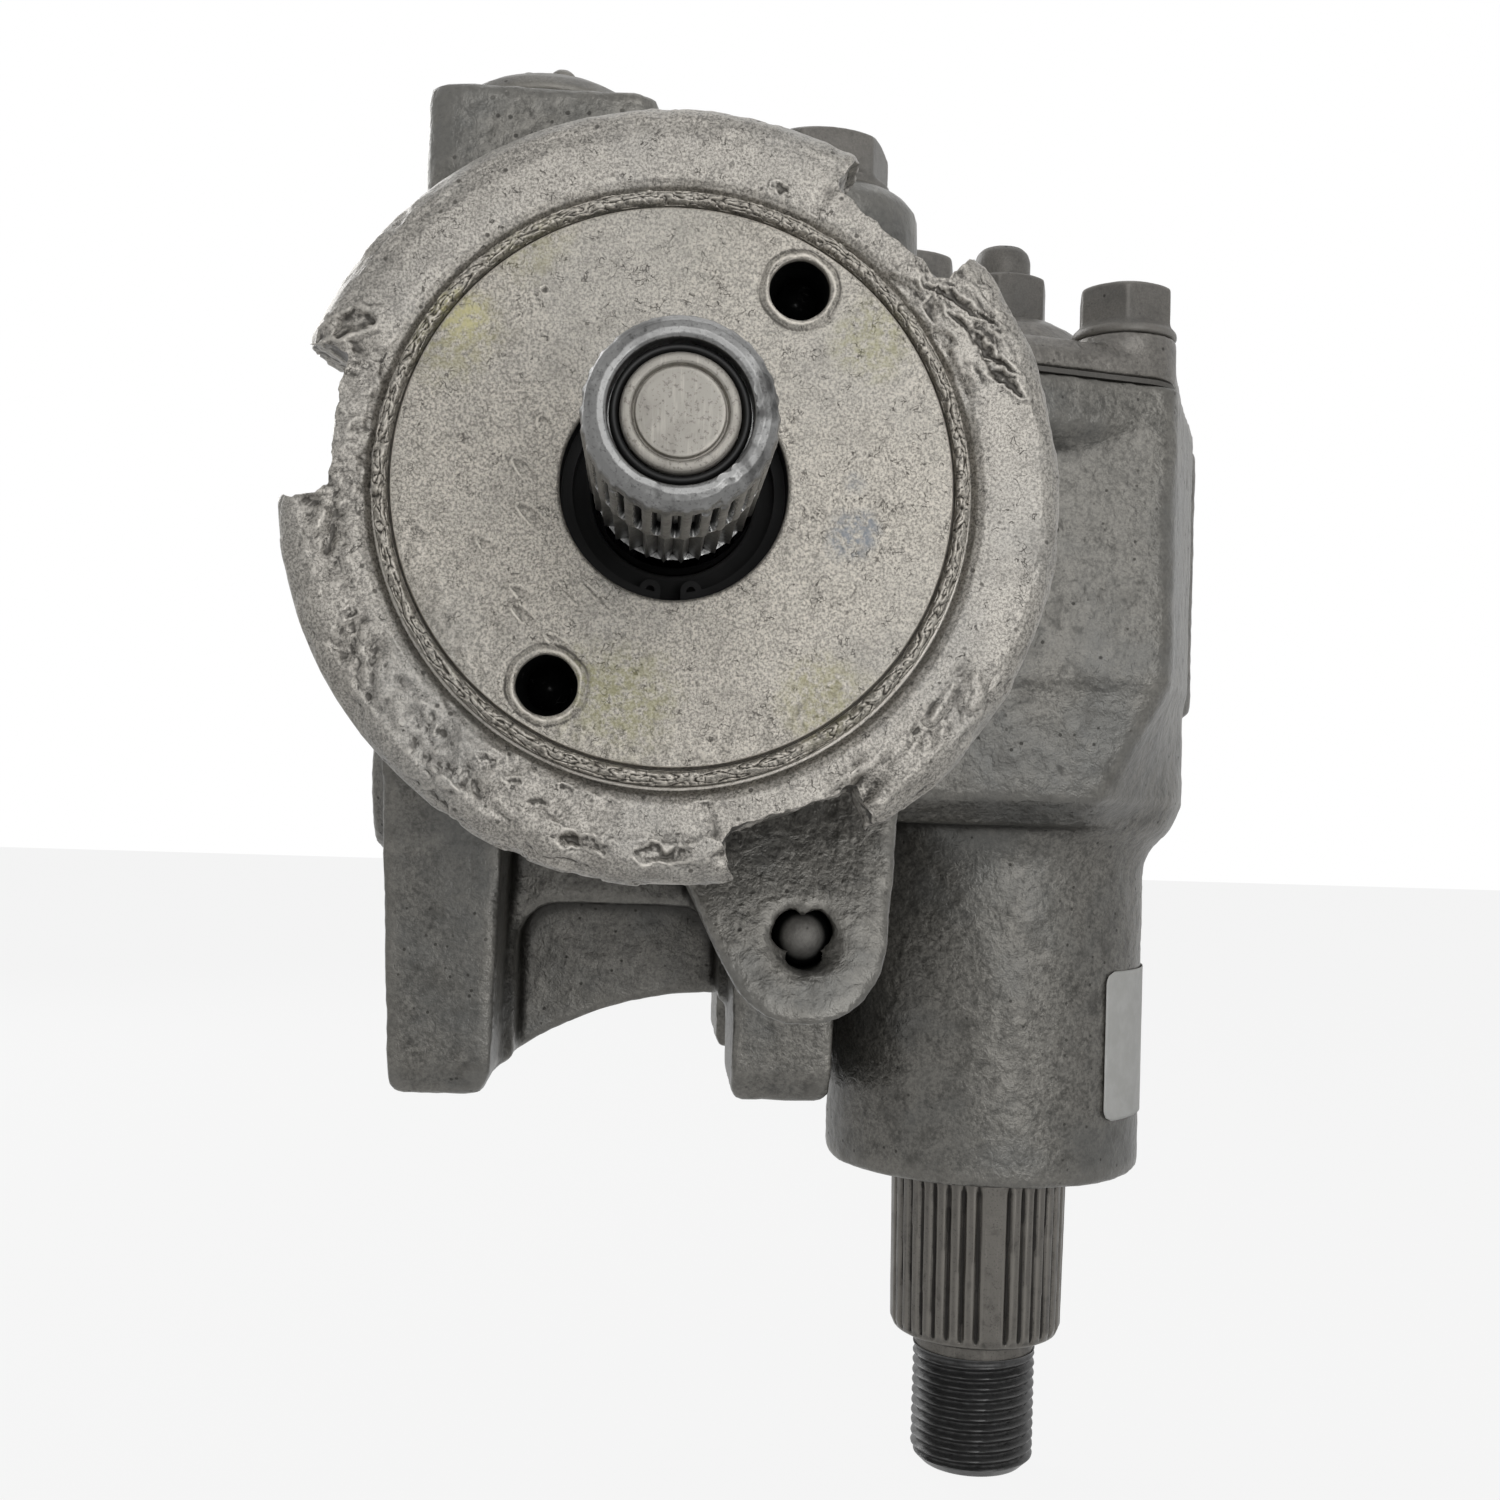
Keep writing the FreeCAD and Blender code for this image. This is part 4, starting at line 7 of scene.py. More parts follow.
import bmesh
import bpy
import numpy as np
from mathutils import Matrix, Vector, noise


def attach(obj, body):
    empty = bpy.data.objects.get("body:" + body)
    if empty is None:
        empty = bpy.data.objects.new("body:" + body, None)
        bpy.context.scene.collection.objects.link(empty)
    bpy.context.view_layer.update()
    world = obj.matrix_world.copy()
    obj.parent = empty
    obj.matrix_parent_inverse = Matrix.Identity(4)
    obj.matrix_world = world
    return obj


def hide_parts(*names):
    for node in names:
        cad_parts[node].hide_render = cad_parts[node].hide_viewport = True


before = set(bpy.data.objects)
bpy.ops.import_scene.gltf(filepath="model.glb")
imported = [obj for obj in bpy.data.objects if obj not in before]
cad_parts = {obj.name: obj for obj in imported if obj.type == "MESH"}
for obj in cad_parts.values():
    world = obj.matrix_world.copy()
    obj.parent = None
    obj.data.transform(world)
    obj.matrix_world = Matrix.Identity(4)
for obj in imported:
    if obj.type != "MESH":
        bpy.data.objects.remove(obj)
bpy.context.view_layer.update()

MM = 0.001
Colour = Tuple[float, float, float]
Point = Tuple[float, float, float]
Value = Union["Sock", float, int]
Profile = List[Tuple[float, float]]
WHITE: Colour = (1.0, 1.0, 1.0)
MIX_FACTOR, MIX_FIRST, MIX_SECOND, MIX_RESULT = 0, 6, 7, 2

logging.basicConfig(level=logging.INFO, format="%(message)s")
log = logging.getLogger("gearbox")


def linear(red: int, green: int, blue: int) -> Colour:
    """A colour as written in everyday 0 to 255 steps, turned into linear light."""
    parts = []
    for step in (red, green, blue):
        share = step / 255
        parts.append(share / 12.92 if share <= 0.04045 else ((share + 0.055) / 1.055) ** 2.4)
    return (parts[0], parts[1], parts[2])


class Body(Enum):
    """The five bodies of the gearbox that pieces ride on."""

    HOUSING = "housing"
    INPUT = "input"
    WORM = "worm"
    RACK = "rack"
    SECTOR = "sector"


class Sock:
    """A number or colour in a material's nodes; operators on it add Math nodes."""

    def __init__(self, graph: "Graph", socket: bpy.types.NodeSocket) -> None:
        """Keeps the socket and the graph that it belongs to.

        Args:
            graph: the material's graph, which makes new nodes.
            socket: the output socket that holds the value.
        """
        self.graph = graph
        self.socket = socket

    def _math(self, operation: str, first: Value, second: Value = 0.0, third: Value = 0.0) -> "Sock":
        """Adds one Math node.

        Args:
            operation: the Math node's operation.
            first: its first value.
            second: its second value.
            third: its third value.

        Returns:
            The node's result.
        """
        return self.graph.out("ShaderNodeMath", {"operation": operation},
                              {0: first, 1: second, 2: third})

    def __add__(self, other: Value) -> "Sock":
        """self + other."""
        return self._math("ADD", self, other)

    def __radd__(self, other: Value) -> "Sock":
        """other + self."""
        return self._math("ADD", other, self)

    def __sub__(self, other: Value) -> "Sock":
        """self - other."""
        return self._math("SUBTRACT", self, other)

    def __rsub__(self, other: Value) -> "Sock":
        """other - self."""
        return self._math("SUBTRACT", other, self)

    def __mul__(self, other: Value) -> "Sock":
        """self * other."""
        return self._math("MULTIPLY", self, other)

    def __rmul__(self, other: Value) -> "Sock":
        """other * self."""
        return self._math("MULTIPLY", other, self)

    def __truediv__(self, other: Value) -> "Sock":
        """self / other."""
        return self._math("DIVIDE", self, other)

    def __pow__(self, other: Value) -> "Sock":
        """self ** other."""
        return self._math("POWER", self, other)

    def absolute(self) -> "Sock":
        """The value without its sign."""
        return self._math("ABSOLUTE", self)

    def at_least(self, other: Value) -> "Sock":
        """The larger of the two values."""
        return self._math("MAXIMUM", self, other)

    def step(self, low: float, high: float) -> "Sock":
        """Goes smoothly from 0 at low to 1 at high.

        Args:
            low: where the result is 0.
            high: where the result is 1; it may be below low.

        Returns:
            A mask from 0 to 1.
        """
        settings = {"interpolation_type": "SMOOTHSTEP", "clamp": True}
        if low < high:
            return self.graph.out("ShaderNodeMapRange", settings,
                                  {"Value": self, "From Min": low, "From Max": high})
        return 1.0 - self.step(high, low)


class Graph:
    """The nodes of one material or world, made from a node type, settings and inputs."""

    def __init__(self, title: str, of_world: bool = False) -> None:
        """Starts a material or world with nothing but its output.

        Args:
            title: the material's or world's name.
            of_world: whether it is a world.
        """
        store = bpy.data.worlds if of_world else bpy.data.materials
        kind = "ShaderNodeOutputWorld" if of_world else "ShaderNodeOutputMaterial"
        self.owner = store.new(title)
        self.owner.use_nodes = True
        self.tree = self.owner.node_tree
        self.tree.nodes.clear()
        self.output = self.tree.nodes.new(kind)
        self.coordinates = self.out("ShaderNodeTexCoord", {}, {}, "Object")

    def node(self, kind: str, settings: Dict[str, object],
             inputs: Dict[Union[str, int], object]) -> bpy.types.Node:
        """Adds a node, sets it up and feeds its sockets.

        Args:
            kind: Blender's name for the node type.
            settings: attribute values.
            inputs: values or Socks by socket name or number.

        Returns:
            The new node.
        """
        made = self.tree.nodes.new(kind)
        for name, value in settings.items():
            setattr(made, name, value)
        for name, value in inputs.items():
            if isinstance(value, Sock):
                self.tree.links.new(value.socket, made.inputs[name])
            elif isinstance(value, tuple) and len(value) == 3 and made.inputs[name].type == "RGBA":
                made.inputs[name].default_value = (*value, 1.0)
            else:
                made.inputs[name].default_value = value
        return made

    def out(self, kind: str, settings: Dict[str, object],
            inputs: Dict[Union[str, int], object], output: Union[str, int] = 0) -> Sock:
        """Adds a node and gives one of its outputs.

        Args:
            kind: Blender's name for the node type.
            settings: the node's settings.
            inputs: values or Socks by socket name or number.
            output: the output's name or number.

        Returns:
            That output as a Sock.
        """
        return Sock(self, self.node(kind, settings, inputs).outputs[output])

    def noise(self, scale: float, detail: float = 3.0, roughness: float = 0.55,
              stretch: Optional[Point] = None, warp: float = 0.0) -> Sock:
        """Cloudy noise fixed to the piece.

        Args:
            scale: features per metre.
            detail: how many finer layers it has.
            roughness: how strong the finer layers are.
            stretch: scale factors along the three axes.
            warp: how far the noise twists itself.

        Returns:
            A value around 0.5.
        """
        place = self.coordinates
        if stretch is not None:
            place = self.out("ShaderNodeMapping", {}, {"Vector": place, "Scale": stretch})
        return self.out("ShaderNodeTexNoise", {}, {
            "Vector": place, "Scale": scale, "Detail": detail, "Roughness": roughness,
            "Distortion": warp})

    def cells(self, scale: float, output: str = "Distance") -> Sock:
        """Cell noise fixed to the piece.

        Args:
            scale: cells per metre.
            output: "Distance" or "Color".

        Returns:
            The distance to a cell's middle, or the cell's own colour.
        """
        return self.out("ShaderNodeTexVoronoi", {"feature": "F1"},
                        {"Vector": self.coordinates, "Scale": scale}, output)

    def mix(self, first: Union[Sock, Colour], second: Union[Sock, Colour],
            factor: Value) -> Sock:
        """Mixes two colours.

        Args:
            first: the colour at factor 0.
            second: the colour at factor 1.
            factor: the share of the second colour.

        Returns:
            The mixed colour.
        """
        return self.out("ShaderNodeMix", {"data_type": "RGBA", "clamp_factor": True},
                        {MIX_FACTOR: factor, MIX_FIRST: first, MIX_SECOND: second}, MIX_RESULT)

    def hollow(self) -> Sock:
        """How deep a place lies in a hollow, in millimetres; ridges are negative."""
        return self.out("ShaderNodeAttribute", {"attribute_name": "hollow"}, {}, "Fac")

    def away(self, x: float, z: float) -> Sock:
        """Distance from a line along Y, in millimetres."""
        across = self.axis("X") / MM - x
        up = self.axis("Z") / MM - z
        return (across * across + up * up) ** 0.5

    def axis(self, name: str) -> Sock:
        """One coordinate of the piece's own place, in metres.

        Args:
            name: "X", "Y" or "Z".

        Returns:
            The coordinate.
        """
        return self.out("ShaderNodeSeparateXYZ", {}, {0: self.coordinates}, name)

    def near(self, centre: Point, radius: float, soft: float) -> Sock:
        """A ragged round patch on the piece.

        Args:
            centre: its middle, in metres.
            radius: where it ends, in metres.
            soft: how wide its edge is, in metres.

        Returns:
            A mask that is 1 inside.
        """
        away = self.out("ShaderNodeVectorMath", {"operation": "DISTANCE"},
                        {0: self.coordinates, 1: centre}, "Value")
        ragged = away + (self.noise(260.0, 3.0) - 0.5) * (2.2 * soft)
        return ragged.step(radius + soft, radius - soft)

    def bump(self, height: Value, depth: float, below: Optional[Sock] = None) -> Sock:
        """A Bump node.

        Args:
            height: the height, 0 to 1.
            depth: how deep 1 is, in metres.
            below: another bump under this one.

        Returns:
            The bent normal.
        """
        inputs: Dict[Union[str, int], object] = {"Height": height, "Distance": depth}
        if below is not None:
            inputs["Normal"] = below
        return self.out("ShaderNodeBump", {}, inputs, "Normal")

    def seen_directly(self) -> Sock:
        """1 for rays from the camera, from gloss and through glass."""
        path = self.node("ShaderNodeLightPath", {}, {})
        camera, glossy, through = (Sock(self, path.outputs[f"Is {kind} Ray"])
                                   for kind in ("Camera", "Glossy", "Transmission"))
        return camera.at_least(glossy).at_least(through)

    def finish(self, shader: Sock) -> Union[bpy.types.Material, bpy.types.World]:
        """Joins the shader to the output and gives the finished material or world."""
        self.tree.links.new(shader.socket, self.output.inputs["Surface"])
        return self.owner

    def shade(self, inputs: Dict[Union[str, int], object]) -> bpy.types.Material:
        """Puts the shader in and gives the finished material.

        Args:
            inputs: the shader's values by socket name.

        Returns:
            The material.
        """
        return self.finish(self.out("ShaderNodeBsdfPrincipled", {}, inputs))


@dataclass(frozen=True)
class Stain:
    """A thin patch of another tint on a painted face, in millimetres and 0 to 255."""

    x: float
    z: float
    radius: float
    tint: Tuple[int, int, int]
    strength: float


FULL_WEAR = 4.0


@dataclass(frozen=True)
class Enamel:
    """Silver-grey enamel sprayed over a casting or a steel piece."""

    title: str
    colour: Tuple[int, int, int]
    grain: float = 0.24
    grain_scale: float = 3100.0
    mottle: float = 0.12
    mottle_scale: float = 700.0
    patches: float = 0.10
    specks: float = 0.75
    threads: float = 0.0
    casting: float = 0.00012
    casting_scale: float = 520.0
    roughness: float = 0.52
    metallic: float = 0.10
    gloss: float = 0.22
    wear: float = 0.5
    wear_from: float = 0.03
    dirt_and_shade: float = 0.7
    dirt_and_shade_from: float = 0.02
    dirt_and_shade_to: float = 0.12
    face_y: float = 0.038
    painted_shade_depth: float = 0.0
    painted_shade_within: float = 31.0
    painted_shade_soft: float = 0.3
    painted_shade_at: Tuple[float, float] = (0.0, 0.0)
    stains: Tuple[Stain, ...] = ()
    broad_scale: float = 46.0
    blotch_scale: float = 230.0
    pit_scale: float = 540.0
    thread_scale: float = 760.0
    streak_scale: float = 900.0
    black: Colour = (0.004, 0.004, 0.004)

    def material(self) -> bpy.types.Material:
        """Makes the enamel: colour, grain, stains, soiling and painted shade in hollows, worn ridges
        and painted black shade deep behind the face.

        Returns:
            The material.
        """
        g = Graph(self.title)
        base = linear(*self.colour)
        dark = (base[0] * 0.16, base[1] * 0.155, base[2] * 0.15)
        light = tuple(min(1.0, part * 1.6) for part in base)
        fine = g.noise(self.grain_scale, 4.0, 0.75)
        medium = g.noise(self.mottle_scale, 3.0, 0.6, warp=0.4)
        colour = g.mix(self.toned(base, 1.0 - self.grain), self.toned(base, 1.0 + self.grain),
                       fine.step(0.37, 0.63))
        colour = g.mix(colour, dark, medium.step(0.52, 0.74) * self.mottle * 2.2)
        colour = g.mix(colour, light, medium.step(0.48, 0.26) * self.mottle)
        colour = self.patched(g, colour, base)
        flaws = self.flaws(g)
        colour = g.mix(colour, dark, flaws)
        colour = self.stained(g, colour)
        hollow = g.hollow()
        worn = hollow.step(-self.wear_from, -self.wear_from * FULL_WEAR) * self.wear
        # Hollows are darkened: partly real soiling, partly painted shade where a hollow's own shade
        # falls.
        dirt_and_shade_mask = hollow.step(self.dirt_and_shade_from, self.dirt_and_shade_to) * self.dirt_and_shade
        colour = g.mix(colour, light, worn)
        colour = g.mix(colour, dark, dirt_and_shade_mask)
        # Painted shade: deep behind the face and close to a line along Y the colour goes black,
        # standing in for the shade inside a bore or recess.
        if self.painted_shade_depth > 0.0:
            deep = (g.axis("Y") - self.face_y).step(self.painted_shade_depth, self.painted_shade_depth + 0.0005)
            colour = g.mix(colour, self.black,
                           deep * g.away(*self.painted_shade_at).step(self.painted_shade_within + self.painted_shade_soft,
                                                             self.painted_shade_within))
        rough = (fine - 0.5) * 0.5 + self.roughness + flaws * 0.2 - worn * 0.12
        skin = g.noise(self.casting_scale, 3.0, 0.6, warp=0.3)
        normal = g.bump(skin, self.casting)
        normal = g.bump(fine * 0.8 - flaws, 0.00006, normal)
        return g.shade({"Base Color": colour, "Roughness": rough.at_least(0.12),
                        "Metallic": self.metallic, "Specular IOR Level": self.gloss,
                        "Normal": normal})

    @staticmethod
    def toned(base: Colour, factor: float) -> Colour:
        """The colour made lighter or darker."""
        return tuple(min(1.0, part * factor) for part in base)

    def patched(self, g: Graph, colour: Sock, base: Colour) -> Sock:
        """Adds broad cool and dusky patches.

        Args:
            g: the finish's graph.
            colour: the colour so far.
            base: the enamel's own colour.

        Returns:
            The patched colour.
        """
        broad = g.noise(self.broad_scale, 3.0, 0.6)
        blotch = g.noise(self.blotch_scale, 4.0, 0.62, warp=0.6)
        cool = (base[0] * 0.80, base[1] * 0.84, base[2] * 0.89)
        colour = g.mix(colour, cool, broad.step(0.42, 0.66) * self.patches * 4.0)
        colour = g.mix(colour, self.toned(base, 0.42), blotch.step(0.50, 0.70) * self.patches * 3.4)
        return g.mix(colour, self.toned(base, 1.5), blotch.step(0.46, 0.28) * self.patches * 2.0)

    def flaws(self, g: Graph) -> Sock:
        """Dark pinholes and short curled threads in the enamel.

        Args:
            g: the finish's graph.

        Returns:
            A mask of the dark places.
        """
        pit = g.cells(self.pit_scale)
        chosen = g.cells(self.pit_scale, "Color")
        speck = pit.step(0.20, 0.10) * chosen.step(0.62, 0.70) * self.specks
        if self.threads <= 0.0:
            return speck
        curl = (g.noise(self.thread_scale, 2.0, 0.5, warp=0.5) - 0.5).absolute().step(0.016, 0.004)
        there = g.noise(520.0, 2.0, 0.5).step(0.55, 0.60)
        return (curl * there * self.threads).at_least(speck)

    def stained(self, g: Graph, colour: Sock) -> Sock:
        """Adds the streaky stains.

        Args:
            g: the finish's graph.
            colour: the colour so far.

        Returns:
            The stained colour.
        """
        for stain in self.stains:
            patch = g.near((stain.x * MM, self.face_y, stain.z * MM), stain.radius * MM,
                           stain.radius * 0.55 * MM)
            streaky = patch * g.noise(self.streak_scale, 4.0, 0.7).step(0.36, 0.62) * stain.strength
            colour = g.mix(colour, linear(*stain.tint), streaky)
        return colour


@dataclass(frozen=True)
class Steel:
    """Bare steel with machining marks, soiling and painted shade in hollows and bright worn edges."""

    title: str
    colour: Tuple[int, int, int]
    grime_and_shade: Tuple[int, int, int]
    roughness: float = 0.34
    metallic: float = 0.85
    marks: Point = (1.0, 1.0, 1.0)
    marks_scale: float = 900.0
    marks_depth: float = 0.00002
    soiling: float = 0.5
    edge_shine: float = 0.7
    shine_from: float = 0.02
    hollow_dirt_and_shade: float = 0.9
    dirt_and_shade_from: float = 0.02
    dirt_and_shade_to: float = 0.12
    painted_shade_from_y: float = 0.0
    film_scale: float = 210.0
    fine_scale: float = 3000.0
    black: Colour = (0.003, 0.003, 0.003)

    def material(self) -> bpy.types.Material:
        """Makes the steel: tone, soiling, painted shade in hollows and deep in a bore, and
        directional marks.

        Returns:
            The material.
        """
        g = Graph(self.title)
        base = linear(*self.colour)
        grime_and_shade = linear(*self.grime_and_shade)
        bright = tuple(min(1.0, part * 1.5) for part in base)
        marks = g.noise(self.marks_scale, 3.0, 0.65, stretch=self.marks)
        film = g.noise(self.film_scale, 4.0, 0.65, warp=0.8)
        fine = g.noise(self.fine_scale, 2.0, 0.6)
        colour = g.mix(base, bright, marks.step(0.5, 0.75) * 0.6)
        colour = g.mix(colour, grime_and_shade, film.step(0.50, 0.74) * self.soiling)
        colour = g.mix(colour, grime_and_shade, fine.step(0.46, 0.28) * 0.45)
        hollow = g.hollow()
        worn = hollow.step(-self.shine_from, -self.shine_from * FULL_WEAR) * self.edge_shine
        # Hollows are darkened: partly real soiling, partly painted shade where a hollow's own shade
        # falls.
        dirt_and_shade_mask = hollow.step(self.dirt_and_shade_from, self.dirt_and_shade_to) * self.hollow_dirt_and_shade
        colour = g.mix(colour, bright, worn)
        colour = g.mix(colour, grime_and_shade, dirt_and_shade_mask)
        # Painted shade: past a depth along Y the steel goes black, standing in for the shade deep in
        # the bore.
        if self.painted_shade_from_y > 0.0:
            colour = g.mix(colour, self.black,
                           g.axis("Y").step(self.painted_shade_from_y, self.painted_shade_from_y + 0.0008))
        rough = self.roughness + (film - 0.5) * 0.35 + dirt_and_shade_mask * 0.3 - worn * 0.08
        normal = g.bump(marks, self.marks_depth)
        return g.shade({"Base Color": colour, "Roughness": rough.at_least(0.1),
                        "Metallic": self.metallic, "Normal": normal})


@dataclass(frozen=True)
class Skin:
    """A plain non-metal surface: rubber, fibre or coated paper."""

    title: str
    colour: Tuple[int, int, int]
    second: Tuple[int, int, int]
    roughness: float
    scale: float = 700.0
    depth: float = 0.00003
    broad_scale: float = 120.0

    def material(self) -> bpy.types.Material:
        """Makes the skin: two tones, a fine grain and a little relief.

        Returns:
            The material.
        """
        g = Graph(self.title)
        grain = g.noise(self.scale, 3.0, 0.6)
        broad = g.noise(self.broad_scale, 2.0, 0.5)
        colour = g.mix(linear(*self.colour), linear(*self.second), grain.step(0.35, 0.75))
        rough = self.roughness + (broad - 0.5) * 0.25
        return g.shade({"Base Color": colour, "Roughness": rough.at_least(0.1),
                        "Normal": g.bump(grain, self.depth)})


class Finish(Enum):
    """Every finish on the gearbox: the record's slot, then the finish's own name."""

    CASTING = "painted_casting"
    COVER = "painted_casting/cover"
    RING = "painted_ring"
    PLUG = "painted_plug"
    FASTENER = "painted_fasteners"
    SHADED_BALL = "ball_steel/shaded_ball"
    CAP = "painted_cap"
    BARE = "bare_steel"
    BLACKED = "bare_steel/blacked"
    GROUND = "ground_steel"
    INPUT = "input_steel"
    TORSION = "torsion_steel"
    OUTPUT = "output_steel"
    THREAD = "output_steel/thread"
    BALL = "ball_steel"
    RUBBER = "black_rubber"
    SOOTY = "black_rubber/sooty"
    GASKET = "gasket"
    BRASS = "brass_seats"
    BRONZE = "bronze_bushing"
    LABEL = "painted_casting/label"

    @property
    def slot(self) -> str:
        """The record's slot."""
        return self.value.split("/")[0]


PLUG_STAINS = (
    Stain(-26.1, 16.7, 5.0, (150, 146, 104), 0.55),
    Stain(-24.8, 18.8, 2.6, (196, 190, 140), 0.7),
    Stain(22.0, 17.9, 4.0, (150, 148, 104), 0.5),
    Stain(-5.4, -24.7, 5.5, (146, 144, 100), 0.6),
    Stain(-12.0, -23.0, 3.5, (146, 144, 100), 0.35),
    Stain(17.5, -23.9, 4.5, (150, 146, 104), 0.55),
    Stain(20.4, -5.0, 2.4, (112, 120, 130), 0.75),
    Stain(22.4, -4.0, 1.6, (112, 120, 130), 0.6),
    Stain(20.8, 1.0, 1.2, (112, 120, 130), 0.35),
    Stain(-17.4, 27.5, 4.0, (160, 156, 120), 0.4),
    Stain(2.0, 28.5, 5.0, (150, 148, 140), 0.35),
)

FINISHES: Dict[Finish, Union[Enamel, Steel, Skin]] = {
    # The casting's black patch round the passage ball is painted shade in the recess; its darkened
    # hollows are partly dirt, partly painted shade.
    Finish.CASTING: Enamel("cast_enamel", (108, 106, 101), grain=0.36, grain_scale=1500.0,
                           mottle=0.27, mottle_scale=420.0, patches=0.17, casting=0.00034,
                           casting_scale=470.0, roughness=0.40, metallic=0.5, gloss=0.4,
                           wear=0.3, wear_from=0.10, dirt_and_shade=0.9, dirt_and_shade_from=0.10, dirt_and_shade_to=0.75,
                           face_y=0.0712, painted_shade_depth=0.0001, painted_shade_within=4.7,
                           painted_shade_at=(19.4, -53.6)),
    Finish.COVER: Enamel("cover_enamel", (114, 111, 106), grain=0.22, grain_scale=1500.0,
                         mottle=0.16, mottle_scale=420.0, patches=0.12, casting=0.00030,
                         casting_scale=430.0, roughness=0.40, metallic=0.5, gloss=0.4,
                         wear=0.3, wear_from=0.05, dirt_and_shade=0.8, dirt_and_shade_from=0.05, dirt_and_shade_to=0.45),
    Finish.RING: Enamel("ring_enamel", (158, 154, 147), grain=0.52, patches=0.10, threads=0.75,
                        metallic=0.5, gloss=0.4,
                        casting=0.00006, casting_scale=900.0, roughness=0.42, wear=0.6,
                        wear_from=0.03, dirt_and_shade=0.9, dirt_and_shade_from=0.012, dirt_and_shade_to=0.085),
    # Painted shade: more than 0.4 mm behind the plug's face and within 31 mm of the axis the enamel
    # goes black, for the shade in the bore; darkened hollows are partly dirt, partly painted shade.
    Finish.PLUG: Enamel("plug_enamel", (172, 167, 158), grain=0.52, patches=0.07, threads=0.7,
                        metallic=0.4, gloss=0.35,
                        casting=0.00004, casting_scale=700.0, roughness=0.48, wear=0.7,
                        wear_from=0.018, dirt_and_shade=0.92, dirt_and_shade_from=0.010, dirt_and_shade_to=0.075,
                        painted_shade_depth=0.00040, stains=PLUG_STAINS),
    Finish.FASTENER: Enamel("fastener_enamel", (126, 123, 118), grain=0.14, patches=0.10,
                            casting=0.00005, casting_scale=600.0, roughness=0.42, wear=0.5,
                            wear_from=0.03, dirt_and_shade_from=0.03, dirt_and_shade_to=0.16),
    Finish.SHADED_BALL: Enamel("shaded_ball_enamel", (112, 110, 106), grain=0.10, metallic=0.4,
                               face_y=0.0600, painted_shade_depth=0.0001, painted_shade_within=3.3,
                               painted_shade_soft=-1.0, painted_shade_at=(19.4, -53.6)),
    Finish.CAP: Enamel("cap_enamel", (138, 135, 129), grain=0.20, patches=0.10,
                       casting=0.00006, casting_scale=700.0, roughness=0.42, wear=0.6,
                       wear_from=0.03, dirt_and_shade_from=0.03, dirt_and_shade_to=0.14),
    Finish.BARE: Steel("turned_steel", (150, 148, 143), (60, 54, 48),
                       marks=(1.0, 14.0, 1.0), marks_scale=420.0),
    # Painted shade: the retaining ring's steel is near-black, and the seals' black rubber darker and
    # rougher still, for the shade deep in the plug's bore.
    Finish.BLACKED: Skin("bore_shade_steel", (5, 5, 5), (8, 8, 8), 0.85, 600.0),
    Finish.SOOTY: Skin("bore_shade_dark_rubber", (4, 4, 4), (7, 7, 7), 0.9, 500.0),
    Finish.GROUND: Steel("ground_steel", (168, 167, 164), (70, 66, 60), roughness=0.22,
                         soiling=0.25, marks=(1.0, 9.0, 1.0), marks_scale=600.0),
    # Painted shade: past 33.5 mm along Y the input shaft goes black, for the shade deep in the bore.
    Finish.INPUT: Steel("worn_input_steel", (122, 122, 121), (22, 20, 20), roughness=0.34,
                        metallic=0.85, marks=(1.0, 0.25, 1.0), marks_scale=700.0,
                        marks_depth=0.00005, soiling=0.7, edge_shine=0.9, shine_from=0.02,
                        hollow_dirt_and_shade=0.97, dirt_and_shade_from=0.01, dirt_and_shade_to=0.09, painted_shade_from_y=0.0335),
    Finish.TORSION: Steel("turned_torsion_steel", (166, 162, 154), (40, 18, 17),
                          roughness=0.5, metallic=0.25, marks=(1.6, 1.0, 0.12),
                          marks_scale=1500.0, marks_depth=0.00001, soiling=0.2,
                          dirt_and_shade_from=0.02, dirt_and_shade_to=0.06),
    Finish.OUTPUT: Steel("oiled_output_steel", (100, 97, 92), (22, 20, 18),
                         roughness=0.40, metallic=0.6, marks=(1.0, 1.0, 0.10),
                         marks_scale=800.0, marks_depth=0.00004, soiling=0.5,
                         dirt_and_shade_from=0.015, dirt_and_shade_to=0.10),
    Finish.THREAD: Steel("oiled_thread_steel", (70, 70, 70), (14, 13, 13), roughness=0.40,
                         metallic=0.6, soiling=0.5, dirt_and_shade_from=0.01, dirt_and_shade_to=0.08),
    Finish.BALL: Steel("ball_steel", (190, 190, 192), (90, 88, 84), roughness=0.14,
                       soiling=0.1, marks_depth=0.000002),
    Finish.RUBBER: Skin("oily_rubber", (7, 7, 7), (14, 14, 14), 0.62, 500.0),
    Finish.GASKET: Skin("painted_fibre", (84, 82, 78), (98, 95, 90), 0.6, 1400.0),
    Finish.LABEL: Skin("label_paper", (214, 214, 210), (226, 226, 223), 0.55, 300.0, 0.00001),
    Finish.BRASS: Steel("turned_brass", (196, 158, 92), (92, 68, 34), roughness=0.3),
    Finish.BRONZE: Steel("sintered_bronze", (158, 124, 84), (70, 52, 34), roughness=0.45),
}


